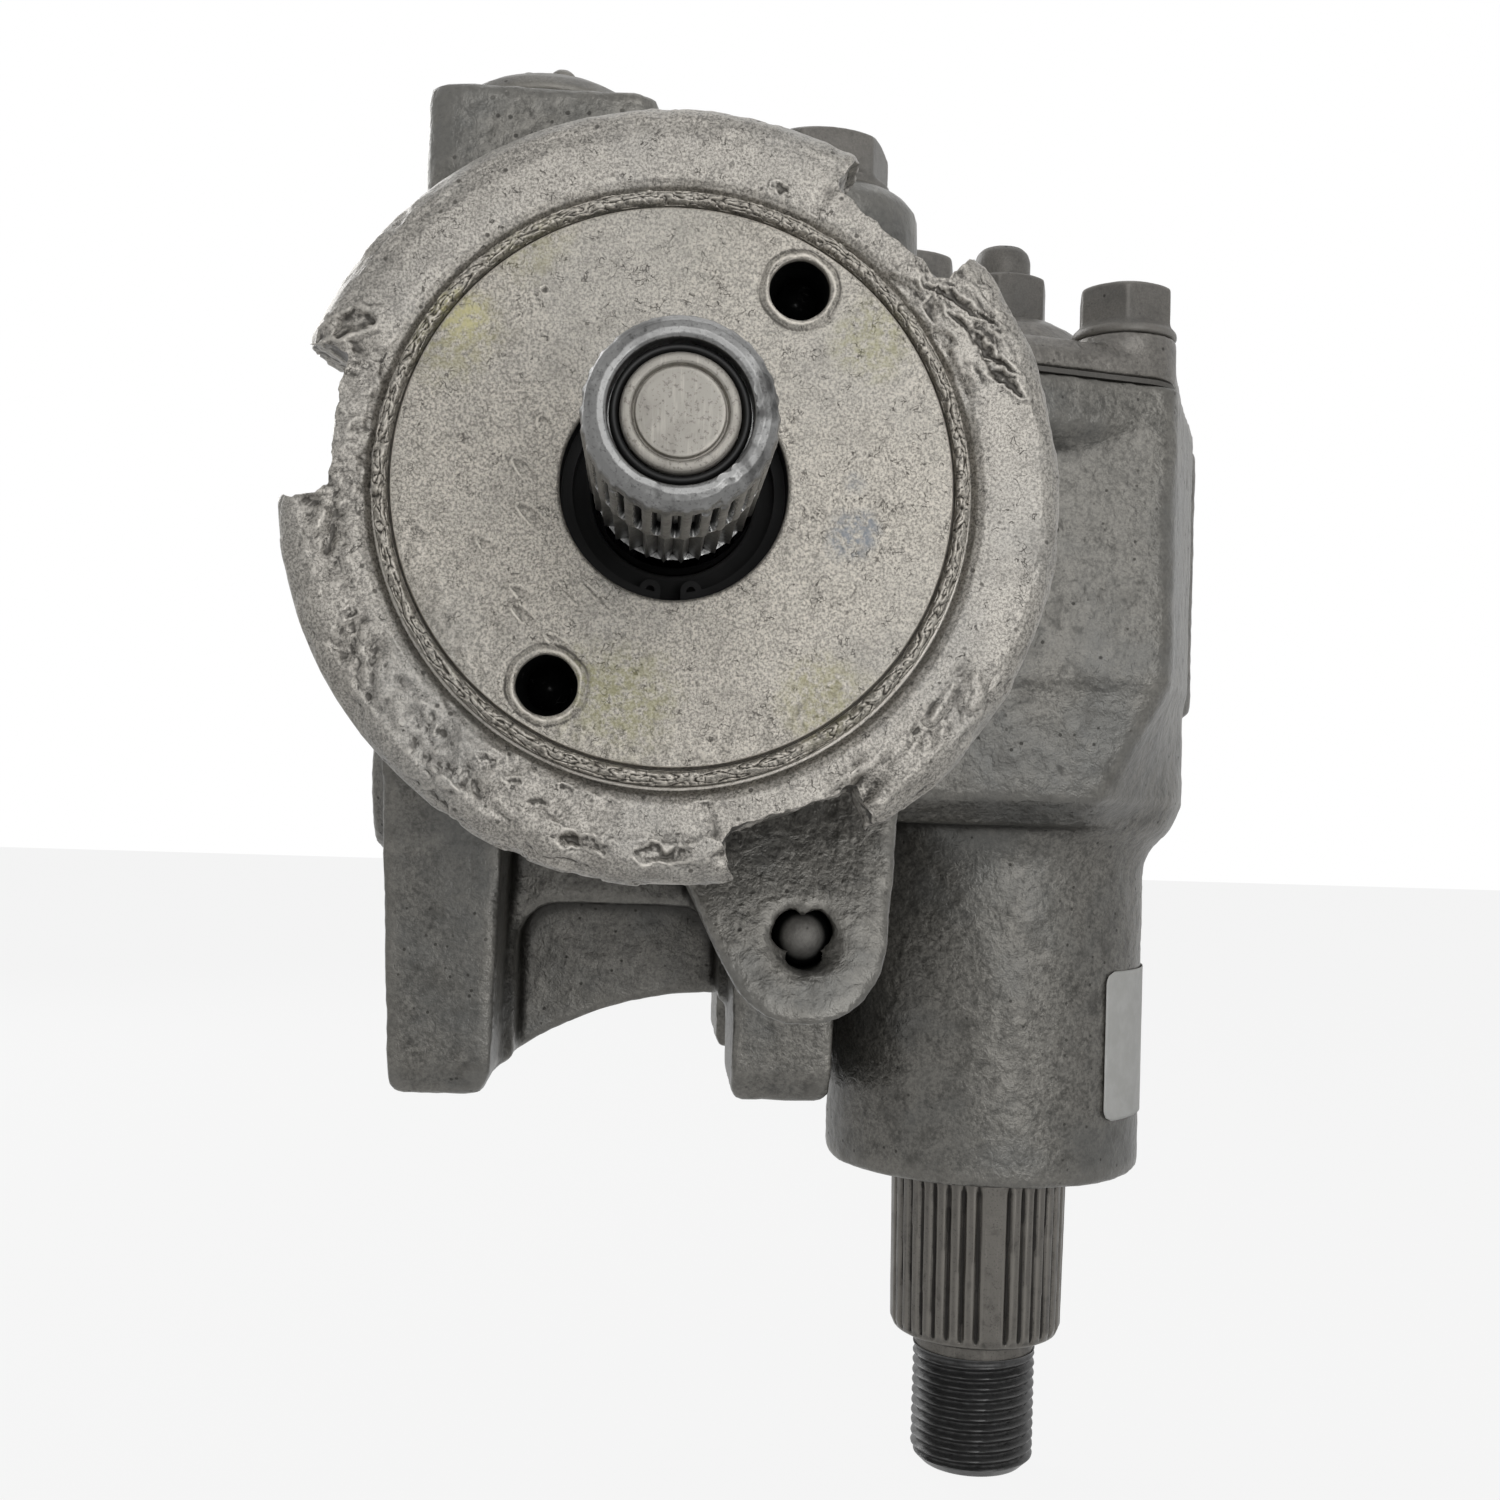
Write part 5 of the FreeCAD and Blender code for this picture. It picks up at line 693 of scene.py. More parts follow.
class Paintshop:
    """Makes each finish once and puts it on pieces."""

    def __init__(self) -> None:
        """Starts with no finish made."""
        self.made: Dict[str, bpy.types.Material] = {}

    def coat(self, piece: bpy.types.Object, finish: Finish) -> bpy.types.Object:
        """Gives a whole piece one finish.

        Args:
            piece: the piece to finish.
            finish: which finish.

        Returns:
            The piece.
        """
        material = self.material(finish)
        if not piece.material_slots:
            piece.data.materials.append(material)
        for place in piece.material_slots:
            place.material = material
        return piece

    def material(self, finish: Finish) -> bpy.types.Material:
        """The material of a finish.

        Args:
            finish: which finish.

        Returns:
            The material, made on first use.
        """
        if finish.value not in self.made:
            self.made[finish.value] = FINISHES[finish].material()
        return self.made[finish.value]


PAINT = Paintshop()


def linked(name: str, data: bpy.types.ID) -> bpy.types.Object:
    """A new object in the scene with that mesh, lamp or camera."""
    made = bpy.data.objects.new(name, data)
    bpy.context.scene.collection.objects.link(made)
    return made


def copy_of(node: str, name: str) -> bpy.types.Object:
    """A new object with a copy of a CAD node's mesh; the node itself stays as it is."""
    return linked(name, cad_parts[node].data.copy())


def mesh_piece(name: str, points: np.ndarray, faces: Sequence[Sequence[int]],
               smooth: bool = True) -> bpy.types.Object:
    """Makes a mesh object from points in millimetres.

    Args:
        name: the piece's name.
        points: one row of x, y, z for each vertex.
        faces: vertex numbers of each face.
        smooth: whether its faces are shaded smooth.

    Returns:
        The new object, in the scene.
    """
    mesh = bpy.data.meshes.new(name)
    mesh.from_pydata((np.asarray(points) * MM).tolist(), [], [list(face) for face in faces])
    mesh.update()
    if smooth:
        mesh.shade_smooth()
    return linked(name, mesh)


def outward(piece: bpy.types.Object) -> bpy.types.Object:
    """Turns the faces of a closed piece so that they look outwards.

    Args:
        piece: a piece without open edges.

    Returns:
        The piece.
    """
    work = bmesh.new()
    work.from_mesh(piece.data)
    if work.calc_volume(signed=True) < 0.0:
        bmesh.ops.reverse_faces(work, faces=work.faces[:])
        work.to_mesh(piece.data)
    work.free()
    return piece


def settle(piece: bpy.types.Object) -> bpy.types.Object:
    """Turns a piece's modifiers into its mesh.

    Args:
        piece: an object with modifiers.

    Returns:
        The same object, without modifiers.
    """
    graph = bpy.context.evaluated_depsgraph_get()
    mesh = bpy.data.meshes.new_from_object(piece.evaluated_get(graph))
    old = piece.data
    piece.modifiers.clear()
    piece.data = mesh
    bpy.data.meshes.remove(old)
    return piece


def cut_out(piece: bpy.types.Object, cutter: bpy.types.Object) -> None:
    """Takes a shape out of a piece.

    Args:
        piece: the piece.
        cutter: the closed shape, which is removed afterwards.
    """
    cut = piece.modifiers.new("cut", "BOOLEAN")
    cut.operation = "DIFFERENCE"
    cut.solver = "EXACT"
    cut.object = cutter
    settle(piece)
    bpy.data.objects.remove(cutter)


def cut_away(piece: bpy.types.Object, place: Point, normal: Point) -> bpy.types.Object:
    """Takes off what lies beyond a plane and closes the cut.

    Args:
        piece: the piece.
        place: a place on the plane, in millimetres.
        normal: the side of the plane that goes.

    Returns:
        The piece.
    """
    work = bmesh.new()
    work.from_mesh(piece.data)
    geometry = work.verts[:] + work.edges[:] + work.faces[:]
    cut = bmesh.ops.bisect_plane(work, geom=geometry, plane_co=Vector(place) * MM,
                                 plane_no=normal, clear_outer=True)
    rim = [item for item in cut["geom_cut"] if isinstance(item, bmesh.types.BMEdge)]
    bmesh.ops.holes_fill(work, edges=rim)
    work.to_mesh(piece.data)
    work.free()
    return piece


def note_hollows(piece: bpy.types.Object, rounds: int = 20) -> bpy.types.Object:
    """Stores how deep each vertex lies below its smoothed surroundings, in millimetres.

    Args:
        piece: the piece; ridges get negative values.
        rounds: how many rounds of smoothing; more find wider hollows.

    Returns:
        The piece.
    """
    calm = linked("calm_copy", piece.data.copy())
    soften = calm.modifiers.new("calm", "SMOOTH")
    soften.factor = 0.5
    soften.iterations = rounds
    settle(calm)
    count = len(piece.data.vertices)
    places, calmed, normals = (np.empty(count * 3, np.float64) for _ in range(3))
    piece.data.vertices.foreach_get("co", places)
    calm.data.vertices.foreach_get("co", calmed)
    piece.data.vertex_normals.foreach_get("vector", normals)
    depth = ((calmed - places) * normals).reshape(-1, 3).sum(axis=1) / MM
    piece.data.attributes.new("hollow", "FLOAT", "POINT").data.foreach_set("value", depth)
    bpy.data.objects.remove(calm)
    return piece


def smooth_by_angle(piece: bpy.types.Object, degrees: float = 38.0) -> bpy.types.Object:
    """Shades a piece smooth except across edges sharper than an angle.

    Args:
        piece: the piece.
        degrees: the sharpest angle that still looks smooth.

    Returns:
        The piece.
    """
    piece.data.shade_smooth()
    piece.data.set_sharp_from_angle(angle=math.radians(degrees))
    return piece


def rings(profile: Sequence[Tuple[float, float]], count: int,
          closed: bool = True) -> Tuple[np.ndarray, List[List[int]]]:
    """Turns a profile of (radius, y) points about the Y axis into rings of vertices.

    Args:
        profile: the points, in millimetres.
        count: how many places round the axis.
        closed: whether the last profile point joins the first.

    Returns:
        The vertices, one row each, and the faces between them.
    """
    angles = np.linspace(0.0, 2.0 * math.pi, count, endpoint=False)
    radii = np.array([radius for radius, _ in profile])
    depths = np.array([y for _, y in profile])
    points = np.stack([
        np.outer(np.cos(angles), radii), np.tile(depths, (count, 1)),
        np.outer(np.sin(angles), radii)], axis=-1).reshape(-1, 3)
    length = len(profile)
    faces = []
    for place in range(count):
        here = place * length
        there = ((place + 1) % count) * length
        for step in range(length if closed else length - 1):
            after = (step + 1) % length
            faces.append([here + step, there + step, there + after, here + after])
    return points, faces


def finely(profile: Sequence[Tuple[float, float, float]]) -> Profile:
    """Divides the runs of a closed profile into steps no longer than each run's own limit.

    Args:
        profile: (radius, y, longest step of the run that starts here).

    Returns:
        The finer profile.
    """
    made: Profile = []
    for index in range(len(profile)):
        r0, h0, limit = profile[index]
        r1, h1, _ = profile[(index + 1) % len(profile)]
        steps = max(1, math.ceil(math.hypot(r1 - r0, h1 - h0) / limit))
        for step in range(steps):
            share = step / steps
            made.append((r0 + (r1 - r0) * share, h0 + (h1 - h0) * share))
    return made


def clamp(value: float, low: float = 0.0, high: float = 1.0) -> float:
    """The value, kept between low and high."""
    return min(high, max(low, value))


def bell(value: float, centre: float, width: float) -> float:
    """1 at the centre, falling to 0 like a bell on both sides."""
    return math.exp(-((value - centre) / width) ** 2)


def hill(value: float, low: float, high: float, soft: float) -> float:
    """1 between low and high, falling smoothly to 0 over a soft edge on both sides.

    Args:
        value: the value to judge.
        low: the middle of the lower edge.
        high: the middle of the upper edge.
        soft: how wide each edge is.

    Returns:
        A share from 0 to 1.
    """
    up = clamp((value - low) / soft + 0.5)
    down = clamp((high - value) / soft + 0.5)
    return up * up * (3 - 2 * up) * down * down * (3 - 2 * down)


def cloud(x: float, y: float, z: float, scale: float, seed: float = 0.0) -> float:
    """Soft noise from about -1 to 1 at a place in millimetres."""
    return noise.noise(Vector((x * scale + seed, y * scale - seed, z * scale + 2 * seed)))


def hammered(x: float, y: float, z: float, scale: float, seed: float = 0.0) -> float:
    """Shallow round dents with sharp ridges between them, from 0 to about 1."""
    place = Vector((x * scale + seed, y * scale, z * scale - seed))
    return min(1.0, noise.voronoi(place)[0][0])


class Spot(NamedTuple):
    """A place on a piece's skin about the Y axis, in millimetres and degrees."""

    x: float
    y: float
    z: float
    radius: float
    angle: float

    @classmethod
    def at(cls, x: float, y: float, z: float) -> "Spot":
        """The spot at a place, with its distance from the axis and its angle round it."""
        return cls(x, y, z, math.hypot(x, z), math.degrees(math.atan2(z, x)) % 360.0)

    def cloud(self, scale: float, seed: float = 0.0) -> float:
        """Soft noise at the spot."""
        return cloud(self.x, self.y, self.z, scale, seed)

    def flat_cloud(self, scale: float, seed: float = 0.0) -> float:
        """Soft noise that doesn't change along the axis."""
        return cloud(self.x, 0.0, self.z, scale, seed)


@dataclass(frozen=True)
class Dent:
    """A struck mark on a face that looks along -Y, in millimetres and degrees."""

    x: float
    z: float
    length: float
    width: float
    angle: float
    depth: float
    lip: float = 0.12
    head: float = 0.0
    bend: float = 0.0

    def height(self, x: float, z: float) -> float:
        """How far the mark lifts the face.

        Args:
            x: the place, in millimetres.
            z: the place, in millimetres.

        Returns:
            The lift, in millimetres; dents are negative.
        """
        turn = math.radians(self.angle)
        dx, dz = x - self.x, z - self.z
        along = dx * math.cos(turn) + dz * math.sin(turn)
        across = -dx * math.sin(turn) + dz * math.cos(turn)
        across += self.bend * along * along
        reach = math.hypot(along / (self.length / 2), across / (self.width / 2))
        if reach > 1.7:
            return 0.0
        side = 1.0
        if self.head:
            side = 0.5 + 0.5 * clamp(-along / (self.length / 2), -1.0)
        floor = -self.depth * max(0.0, 1.0 - reach * reach) * (0.35 + 0.65 * side)
        rim = self.lip * side * bell(reach, 1.12, 0.22)
        return floor + rim


@dataclass(frozen=True)
class Battered:
    """A stretch of the lock ring that tools have marked, by angle and place on its skin."""

    low_deg: float
    high_deg: float
    inner: float
    outer: float
    depth: float
    scale: float
    seed: float
    squeeze: float = 1.0
    lean_deg: float = 0.0

    def height(self, spot: Spot, along: float) -> float:
        """How far the marks lift the skin at a place.

        Args:
            spot: the place.
            along: how far out it lies on the ring's skin.

        Returns:
            The lift, in millimetres.
        """
        middle = (self.low_deg + self.high_deg) / 2
        from_middle = (spot.angle - middle + 180.0) % 360.0 - 180.0
        half = (self.high_deg - self.low_deg) / 2
        share = hill(from_middle, -half, half, 9.0) * hill(along, self.inner, self.outer, 2.2)
        if share <= 0.0:
            return 0.0
        turn = math.radians(self.lean_deg)
        round_way = math.radians(from_middle) * 44.0
        first = round_way * math.cos(turn) + along * math.sin(turn)
        second = (along * math.cos(turn) - round_way * math.sin(turn)) * self.squeeze
        swirl = cloud(first, second, 0.0, self.scale * 0.5, self.seed + 7.0) * 1.4
        layers = cloud(first + swirl, second - swirl, 0.0, self.scale, self.seed) * 5.0
        layers += cloud(first, second, 3.0, self.scale * 2.4, self.seed) * 2.0
        whole = math.floor(layers)
        edge = clamp((layers - whole - 0.74) / 0.26)
        flakes = whole + 0.5 + 0.35 * (layers - whole) + 0.65 * edge * edge * (3.0 - 2.0 * edge)
        dents = hammered(first, second, spot.y * 0.4, self.scale * 0.8, self.seed) - 0.45
        rough = spot.cloud(1.3, self.seed)
        share *= 0.45 + 0.55 * clamp(spot.cloud(0.16, self.seed) * 2.4 + 0.6)
        return self.depth * share * (0.50 * (flakes - 0.5) + 1.0 * dents + 0.14 * rough)


class Assembly:
    """What every sub-assembly shares: putting finished pieces on a body."""

    body: ClassVar[Body] = Body.HOUSING

    def add(self, piece: bpy.types.Object, finish: Finish, nodes: Sequence[str] = (),
            body: Optional[Body] = None) -> bpy.types.Object:
        """Finishes a new piece, hangs it on its body and reports it.

        Args:
            piece: the piece, in place.
            finish: its finish.
            nodes: CAD nodes that it stands for.
            body: the body that it rides on, if not this assembly's own.

        Returns:
            The piece.
        """
        PAINT.coat(piece, finish)
        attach(piece, (body or self.body).value)
        finish.slot
        if nodes:
            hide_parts(*nodes)
        log.info("%s: %d faces on %s", piece.name, len(piece.data.polygons),
                 (body or self.body).value)
        return piece

    def dress(self, node: str, finish: Finish) -> None:
        """Gives a CAD node its finish.

        Args:
            node: the node's name.
            finish: its finish.
        """
        smooth_by_angle(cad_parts[node])
        PAINT.coat(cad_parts[node], finish)
        log.info("%s: dressed as %s", node, finish.value)


@dataclass(frozen=True)
class Softening:
    """How a CAD node is given the soft edges of the real piece, in millimetres."""

    node: str
    name: str
    finish: Finish
    voxel: float
    rounds: int
    keep: float
    ripple: float = 0.0
    ripple_scale: float = 0.2
    pebble: float = 0.0
    pebble_scale: float = 0.9
    calm: int = 20

    def build(self) -> bpy.types.Object:
        """Makes the softened piece.

        Returns:
            The new object.
        """
        piece = copy_of(self.node, self.name)
        remesh = piece.modifiers.new("even_mesh", "REMESH")
        remesh.mode = "VOXEL"
        remesh.voxel_size = self.voxel * MM
        remesh.use_smooth_shade = True
        soften = piece.modifiers.new("worn_edges", "SMOOTH")
        soften.factor = 0.5
        soften.iterations = self.rounds
        settle(piece)
        if self.ripple > 0.0 or self.pebble > 0.0:
            self.roughen(piece.data)
        note_hollows(piece, self.calm)
        if self.keep < 1.0:
            thin = piece.modifiers.new("fewer_faces", "DECIMATE")
            thin.ratio = self.keep
            settle(piece)
        piece.data.shade_smooth()
        return piece

    def roughen(self, mesh: bpy.types.Mesh) -> None:
        """Moves the skin in and out a little, as sand casting leaves it.

        Args:
            mesh: the mesh to move.
        """
        count = len(mesh.vertices)
        places = np.empty(count * 3, np.float64)
        normals = np.empty(count * 3, np.float64)
        mesh.vertices.foreach_get("co", places)
        mesh.vertex_normals.foreach_get("vector", normals)
        places = places.reshape(-1, 3) / MM
        normals = normals.reshape(-1, 3)
        lift = np.empty(count)
        for index, (x, y, z) in enumerate(places.tolist()):
            high = self.ripple * cloud(x, y, z, self.ripple_scale)
            if self.pebble > 0.0:
                high += self.pebble * cloud(x, y, z, self.pebble_scale, 7.0)
            lift[index] = high - self.ripple * 0.8 - self.pebble * 0.6
        moved = (places + normals * lift[:, None]) * MM
        mesh.vertices.foreach_set("co", moved.ravel())
        mesh.update()


@dataclass(frozen=True)
class Lamp:
    """A soft square lamp: where it stands and its side in millimetres, its power in watts."""

    name: str
    place: Point
    width: float
    power: float

    def light(self, target: Point) -> None:
        """Adds the lamp and turns it.

        Args:
            target: the place that it looks at, in millimetres.
        """
        data = bpy.data.lights.new(self.name, "AREA")
        data.size = self.width * MM
        data.energy = self.power
        lamp = linked(self.name, data)
        lamp.location = Vector(self.place) * MM
        aim = Vector(target) * MM - lamp.location
        lamp.rotation_mode = "QUATERNION"
        lamp.rotation_quaternion = aim.to_track_quat("-Z", "Y")


LAMPS: Tuple[Lamp, ...] = (
    Lamp("key_lamp", (140.0, -480.0, 170.0), 430.0, 1.15),
    Lamp("low_lamp", (210.0, -470.0, -150.0), 260.0, 1.0),
    Lamp("top_lamp", (60.0, 260.0, 720.0), 520.0, 0.6),
    Lamp("back_lamp", (-420.0, 640.0, 330.0), 420.0, 2.2),
)


@dataclass
class Studio:
    """The camera at the photograph's angle, soft lamps, pale floor and white surround."""

    place: Point = (-1.97, -156.6, -36.06)
    yaw_deg: float = 3.41
    pitch_deg: float = 1.80
    roll_deg: float = 1.79
    lens: float = 40.99
    sensor: float = 36.0
    floor_z: float = -156.0
    floor_half: float = 3000.0
    floor_tone: float = 0.42
    floor_glow: float = 0.9
    world_strength: float = 0.07
    lit_place: Point = (20.0, 100.0, -20.0)

    def build(self) -> None:
        """Makes the camera, the lamps, the floor and the world."""
        self.camera()
        for lamp in LAMPS:
            lamp.light(self.lit_place)
        self.floor()
        self.world()

    def camera(self) -> None:
        """Places the camera where the photograph was taken from."""
        yaw, pitch, roll = (math.radians(a) for a in (self.yaw_deg, self.pitch_deg, self.roll_deg))
        ahead = Vector((math.sin(yaw) * math.cos(pitch), math.cos(yaw) * math.cos(pitch),
                        math.sin(pitch)))
        level = Vector((math.cos(yaw), -math.sin(yaw), 0.0))
        upright = level.cross(ahead)
        right = level * math.cos(roll) + upright * math.sin(roll)
        up = upright * math.cos(roll) - level * math.sin(roll)
        data = bpy.data.cameras.new("camera")
        data.sensor_width = self.sensor
        data.lens = self.lens
        data.clip_start = 0.01
        data.clip_end = 50.0
        camera = linked("camera", data)
        turn = Matrix((right, up, -ahead)).transposed().to_4x4()
        camera.matrix_world = Matrix.Translation(Vector(self.place) * MM) @ turn
        bpy.context.scene.camera = camera

    def floor(self) -> None:
        """Lays a plain pale floor that keeps a faint shadow."""
        half = self.floor_half
        z = self.floor_z
        corners = np.array([[-half, -half, z], [half, -half, z], [half, half, z], [-half, half, z]])
        piece = mesh_piece("floor", corners, [[0, 1, 2, 3]], smooth=False)
        g = Graph("pale_floor")
        matt = g.out("ShaderNodeBsdfDiffuse", {}, {"Color": (self.floor_tone,) * 3})
        glow = g.out("ShaderNodeEmission", {}, {"Color": WHITE, "Strength": 1.0})
        share = g.seen_directly() * self.floor_glow
        piece.data.materials.append(g.finish(
            g.out("ShaderNodeMixShader", {}, {"Fac": share, 1: matt, 2: glow})))

    def world(self) -> None:
        """Sets an even pale surround that the camera sees as white."""
        g = Graph("surround", of_world=True)
        strength = g.out("ShaderNodeMapRange", {},
                         {"Value": g.seen_directly(), "To Min": self.world_strength})
        bpy.context.scene.world = g.finish(
            g.out("ShaderNodeBackground", {}, {"Color": WHITE, "Strength": strength}))


RING_MARKS: Tuple[Battered, ...] = (
    Battered(181.0, 240.0, 3.5, 12.5, 0.50, 0.26, 3.1, 1.3, 24.0),
    Battered(236.0, 290.0, 6.6, 14.5, 0.72, 0.17, 9.4, 2.3, 4.0),
    Battered(222.0, 262.0, 1.0, 7.5, 0.16, 0.30, 5.2, 1.4, 30.0),
    Battered(299.0, 330.0, 4.6, 13.5, 0.62, 0.16, 11.7, 2.6, -8.0),
    Battered(330.0, 384.0, 8.5, 14.0, 0.20, 0.30, 15.3, 1.6, 0.0),
    Battered(20.0, 48.0, 1.2, 12.5, 0.60, 0.13, 21.9, 3.4, -13.0),
    Battered(62.0, 150.0, 8.6, 13.5, 0.20, 0.30, 27.1, 2.0, 10.0),
    Battered(158.0, 186.0, -1.0, 6.5, 0.26, 0.40, 31.5, 1.2, 60.0),
)

RING_DENTS: Tuple[Dent, ...] = (
    Dent(-39.3, 17.2, 9.0, 3.4, 16.0, 1.0, 0.50),
    Dent(-41.2, 14.2, 6.0, 2.2, 8.0, 0.8, 0.55),
    Dent(-42.6, 11.6, 3.4, 2.6, -30.0, 0.9, 0.45),
    Dent(-25.6, -37.0, 4.6, 3.8, 25.0, 0.6, 0.25),
    Dent(-0.8, -42.4, 9.0, 2.0, 4.0, 0.5, 0.30),
    Dent(-9.0, -41.2, 8.0, 1.7, -8.0, 0.4, 0.30),
    Dent(-37.3, -15.8, 3.6, 1.2, 12.0, 0.3, 0.22),
    Dent(40.0, -21.8, 3.2, 3.0, 20.0, 0.35, 0.18),
    Dent(11.3, 35.9, 2.6, 0.9, -35.0, 0.35, 0.15),
    Dent(33.2, 23.2, 11.0, 1.1, -28.0, 0.55, 0.42),
    Dent(35.6, 18.6, 12.0, 1.2, -42.0, 0.55, 0.42),
    Dent(38.2, 14.4, 6.5, 1.4, -34.0, 0.45, 0.38),
    Dent(36.6, 25.4, 5.0, 0.8, -70.0, 0.30, 0.25),
    Dent(-20.6, -31.6, 2.2, 0.8, -30.0, 0.20, 0.15),
    Dent(-17.4, -34.0, 2.4, 0.7, -36.0, 0.20, 0.15),
    Dent(-14.0, -36.6, 2.6, 0.8, -30.0, 0.22, 0.15),
    Dent(-11.4, -34.6, 2.0, 0.7, -38.0, 0.18, 0.12),
)

PLUG_DENTS: Tuple[Dent, ...] = (
    Dent(-14.9, 6.2, 2.4, 1.5, -62.0, 0.22, 0.16, 1.0),
    Dent(-16.6, 0.6, 4.6, 1.5, -48.0, 0.26, 0.18, 1.0, 0.03),
    Dent(-15.8, -4.4, 4.8, 1.5, -44.0, 0.28, 0.20, 1.0, 0.03),
    Dent(-20.6, -8.0, 3.6, 1.3, -30.0, 0.22, 0.17, 1.0, -0.06),
    Dent(-16.6, -13.2, 3.6, 1.2, -38.0, 0.22, 0.17, 1.0, 0.04),
    Dent(-16.4, -15.6, 3.8, 1.3, -42.0, 0.26, 0.18, 1.0, 0.03),
    Dent(-12.6, -18.4, 3.4, 1.1, -34.0, 0.22, 0.16, 1.0, 0.05),
    Dent(-10.4, -11.4, 5.4, 0.7, -38.0, 0.10, 0.12, 1.0, 0.03),
    Dent(-8.2, -13.2, 5.0, 0.6, -44.0, 0.08, 0.10, 0.0, 0.02),
    Dent(-11.8, -12.8, 4.6, 0.6, -40.0, 0.08, 0.08),
    Dent(-15.5, 21.9, 0.9, 0.9, 0.0, 0.16, 0.10),
    Dent(-19.6, -17.4, 1.7, 1.5, 0.0, 0.10, 0.02),
    Dent(-19.8, -20.6, 1.6, 1.6, 0.0, 0.10, 0.02),
    Dent(-17.2, 9.4, 1.2, 0.5, 20.0, 0.08, 0.06),
    Dent(-8.0, 25.6, 1.1, 0.4, -30.0, 0.08, 0.05),
    Dent(21.0, -11.5, 1.8, 0.6, 60.0, 0.10, 0.08),
    Dent(20.2, -14.6, 2.6, 0.4, 75.0, 0.07, 0.07),
    Dent(20.6, 4.2, 1.6, 0.4, 40.0, 0.08, 0.06),
)

BEAD_GOUGES: Tuple[Point, ...] = (
    (299.5, 2.6, 0.75), (303.5, 1.4, 0.55), (311.0, 1.6, 0.35),
    (322.0, 2.0, 0.30), (283.0, 2.0, 0.35), (205.0, 3.0, 0.35),
)

TIP_KNOCKS: Tuple[Point, ...] = (
    (304.0, 5.0, 0.30), (316.0, 3.0, 0.22), (18.0, 4.0, 0.16),
    (8.0, 2.5, 0.14), (250.0, 7.0, 0.14), (140.0, 6.0, 0.10),
)


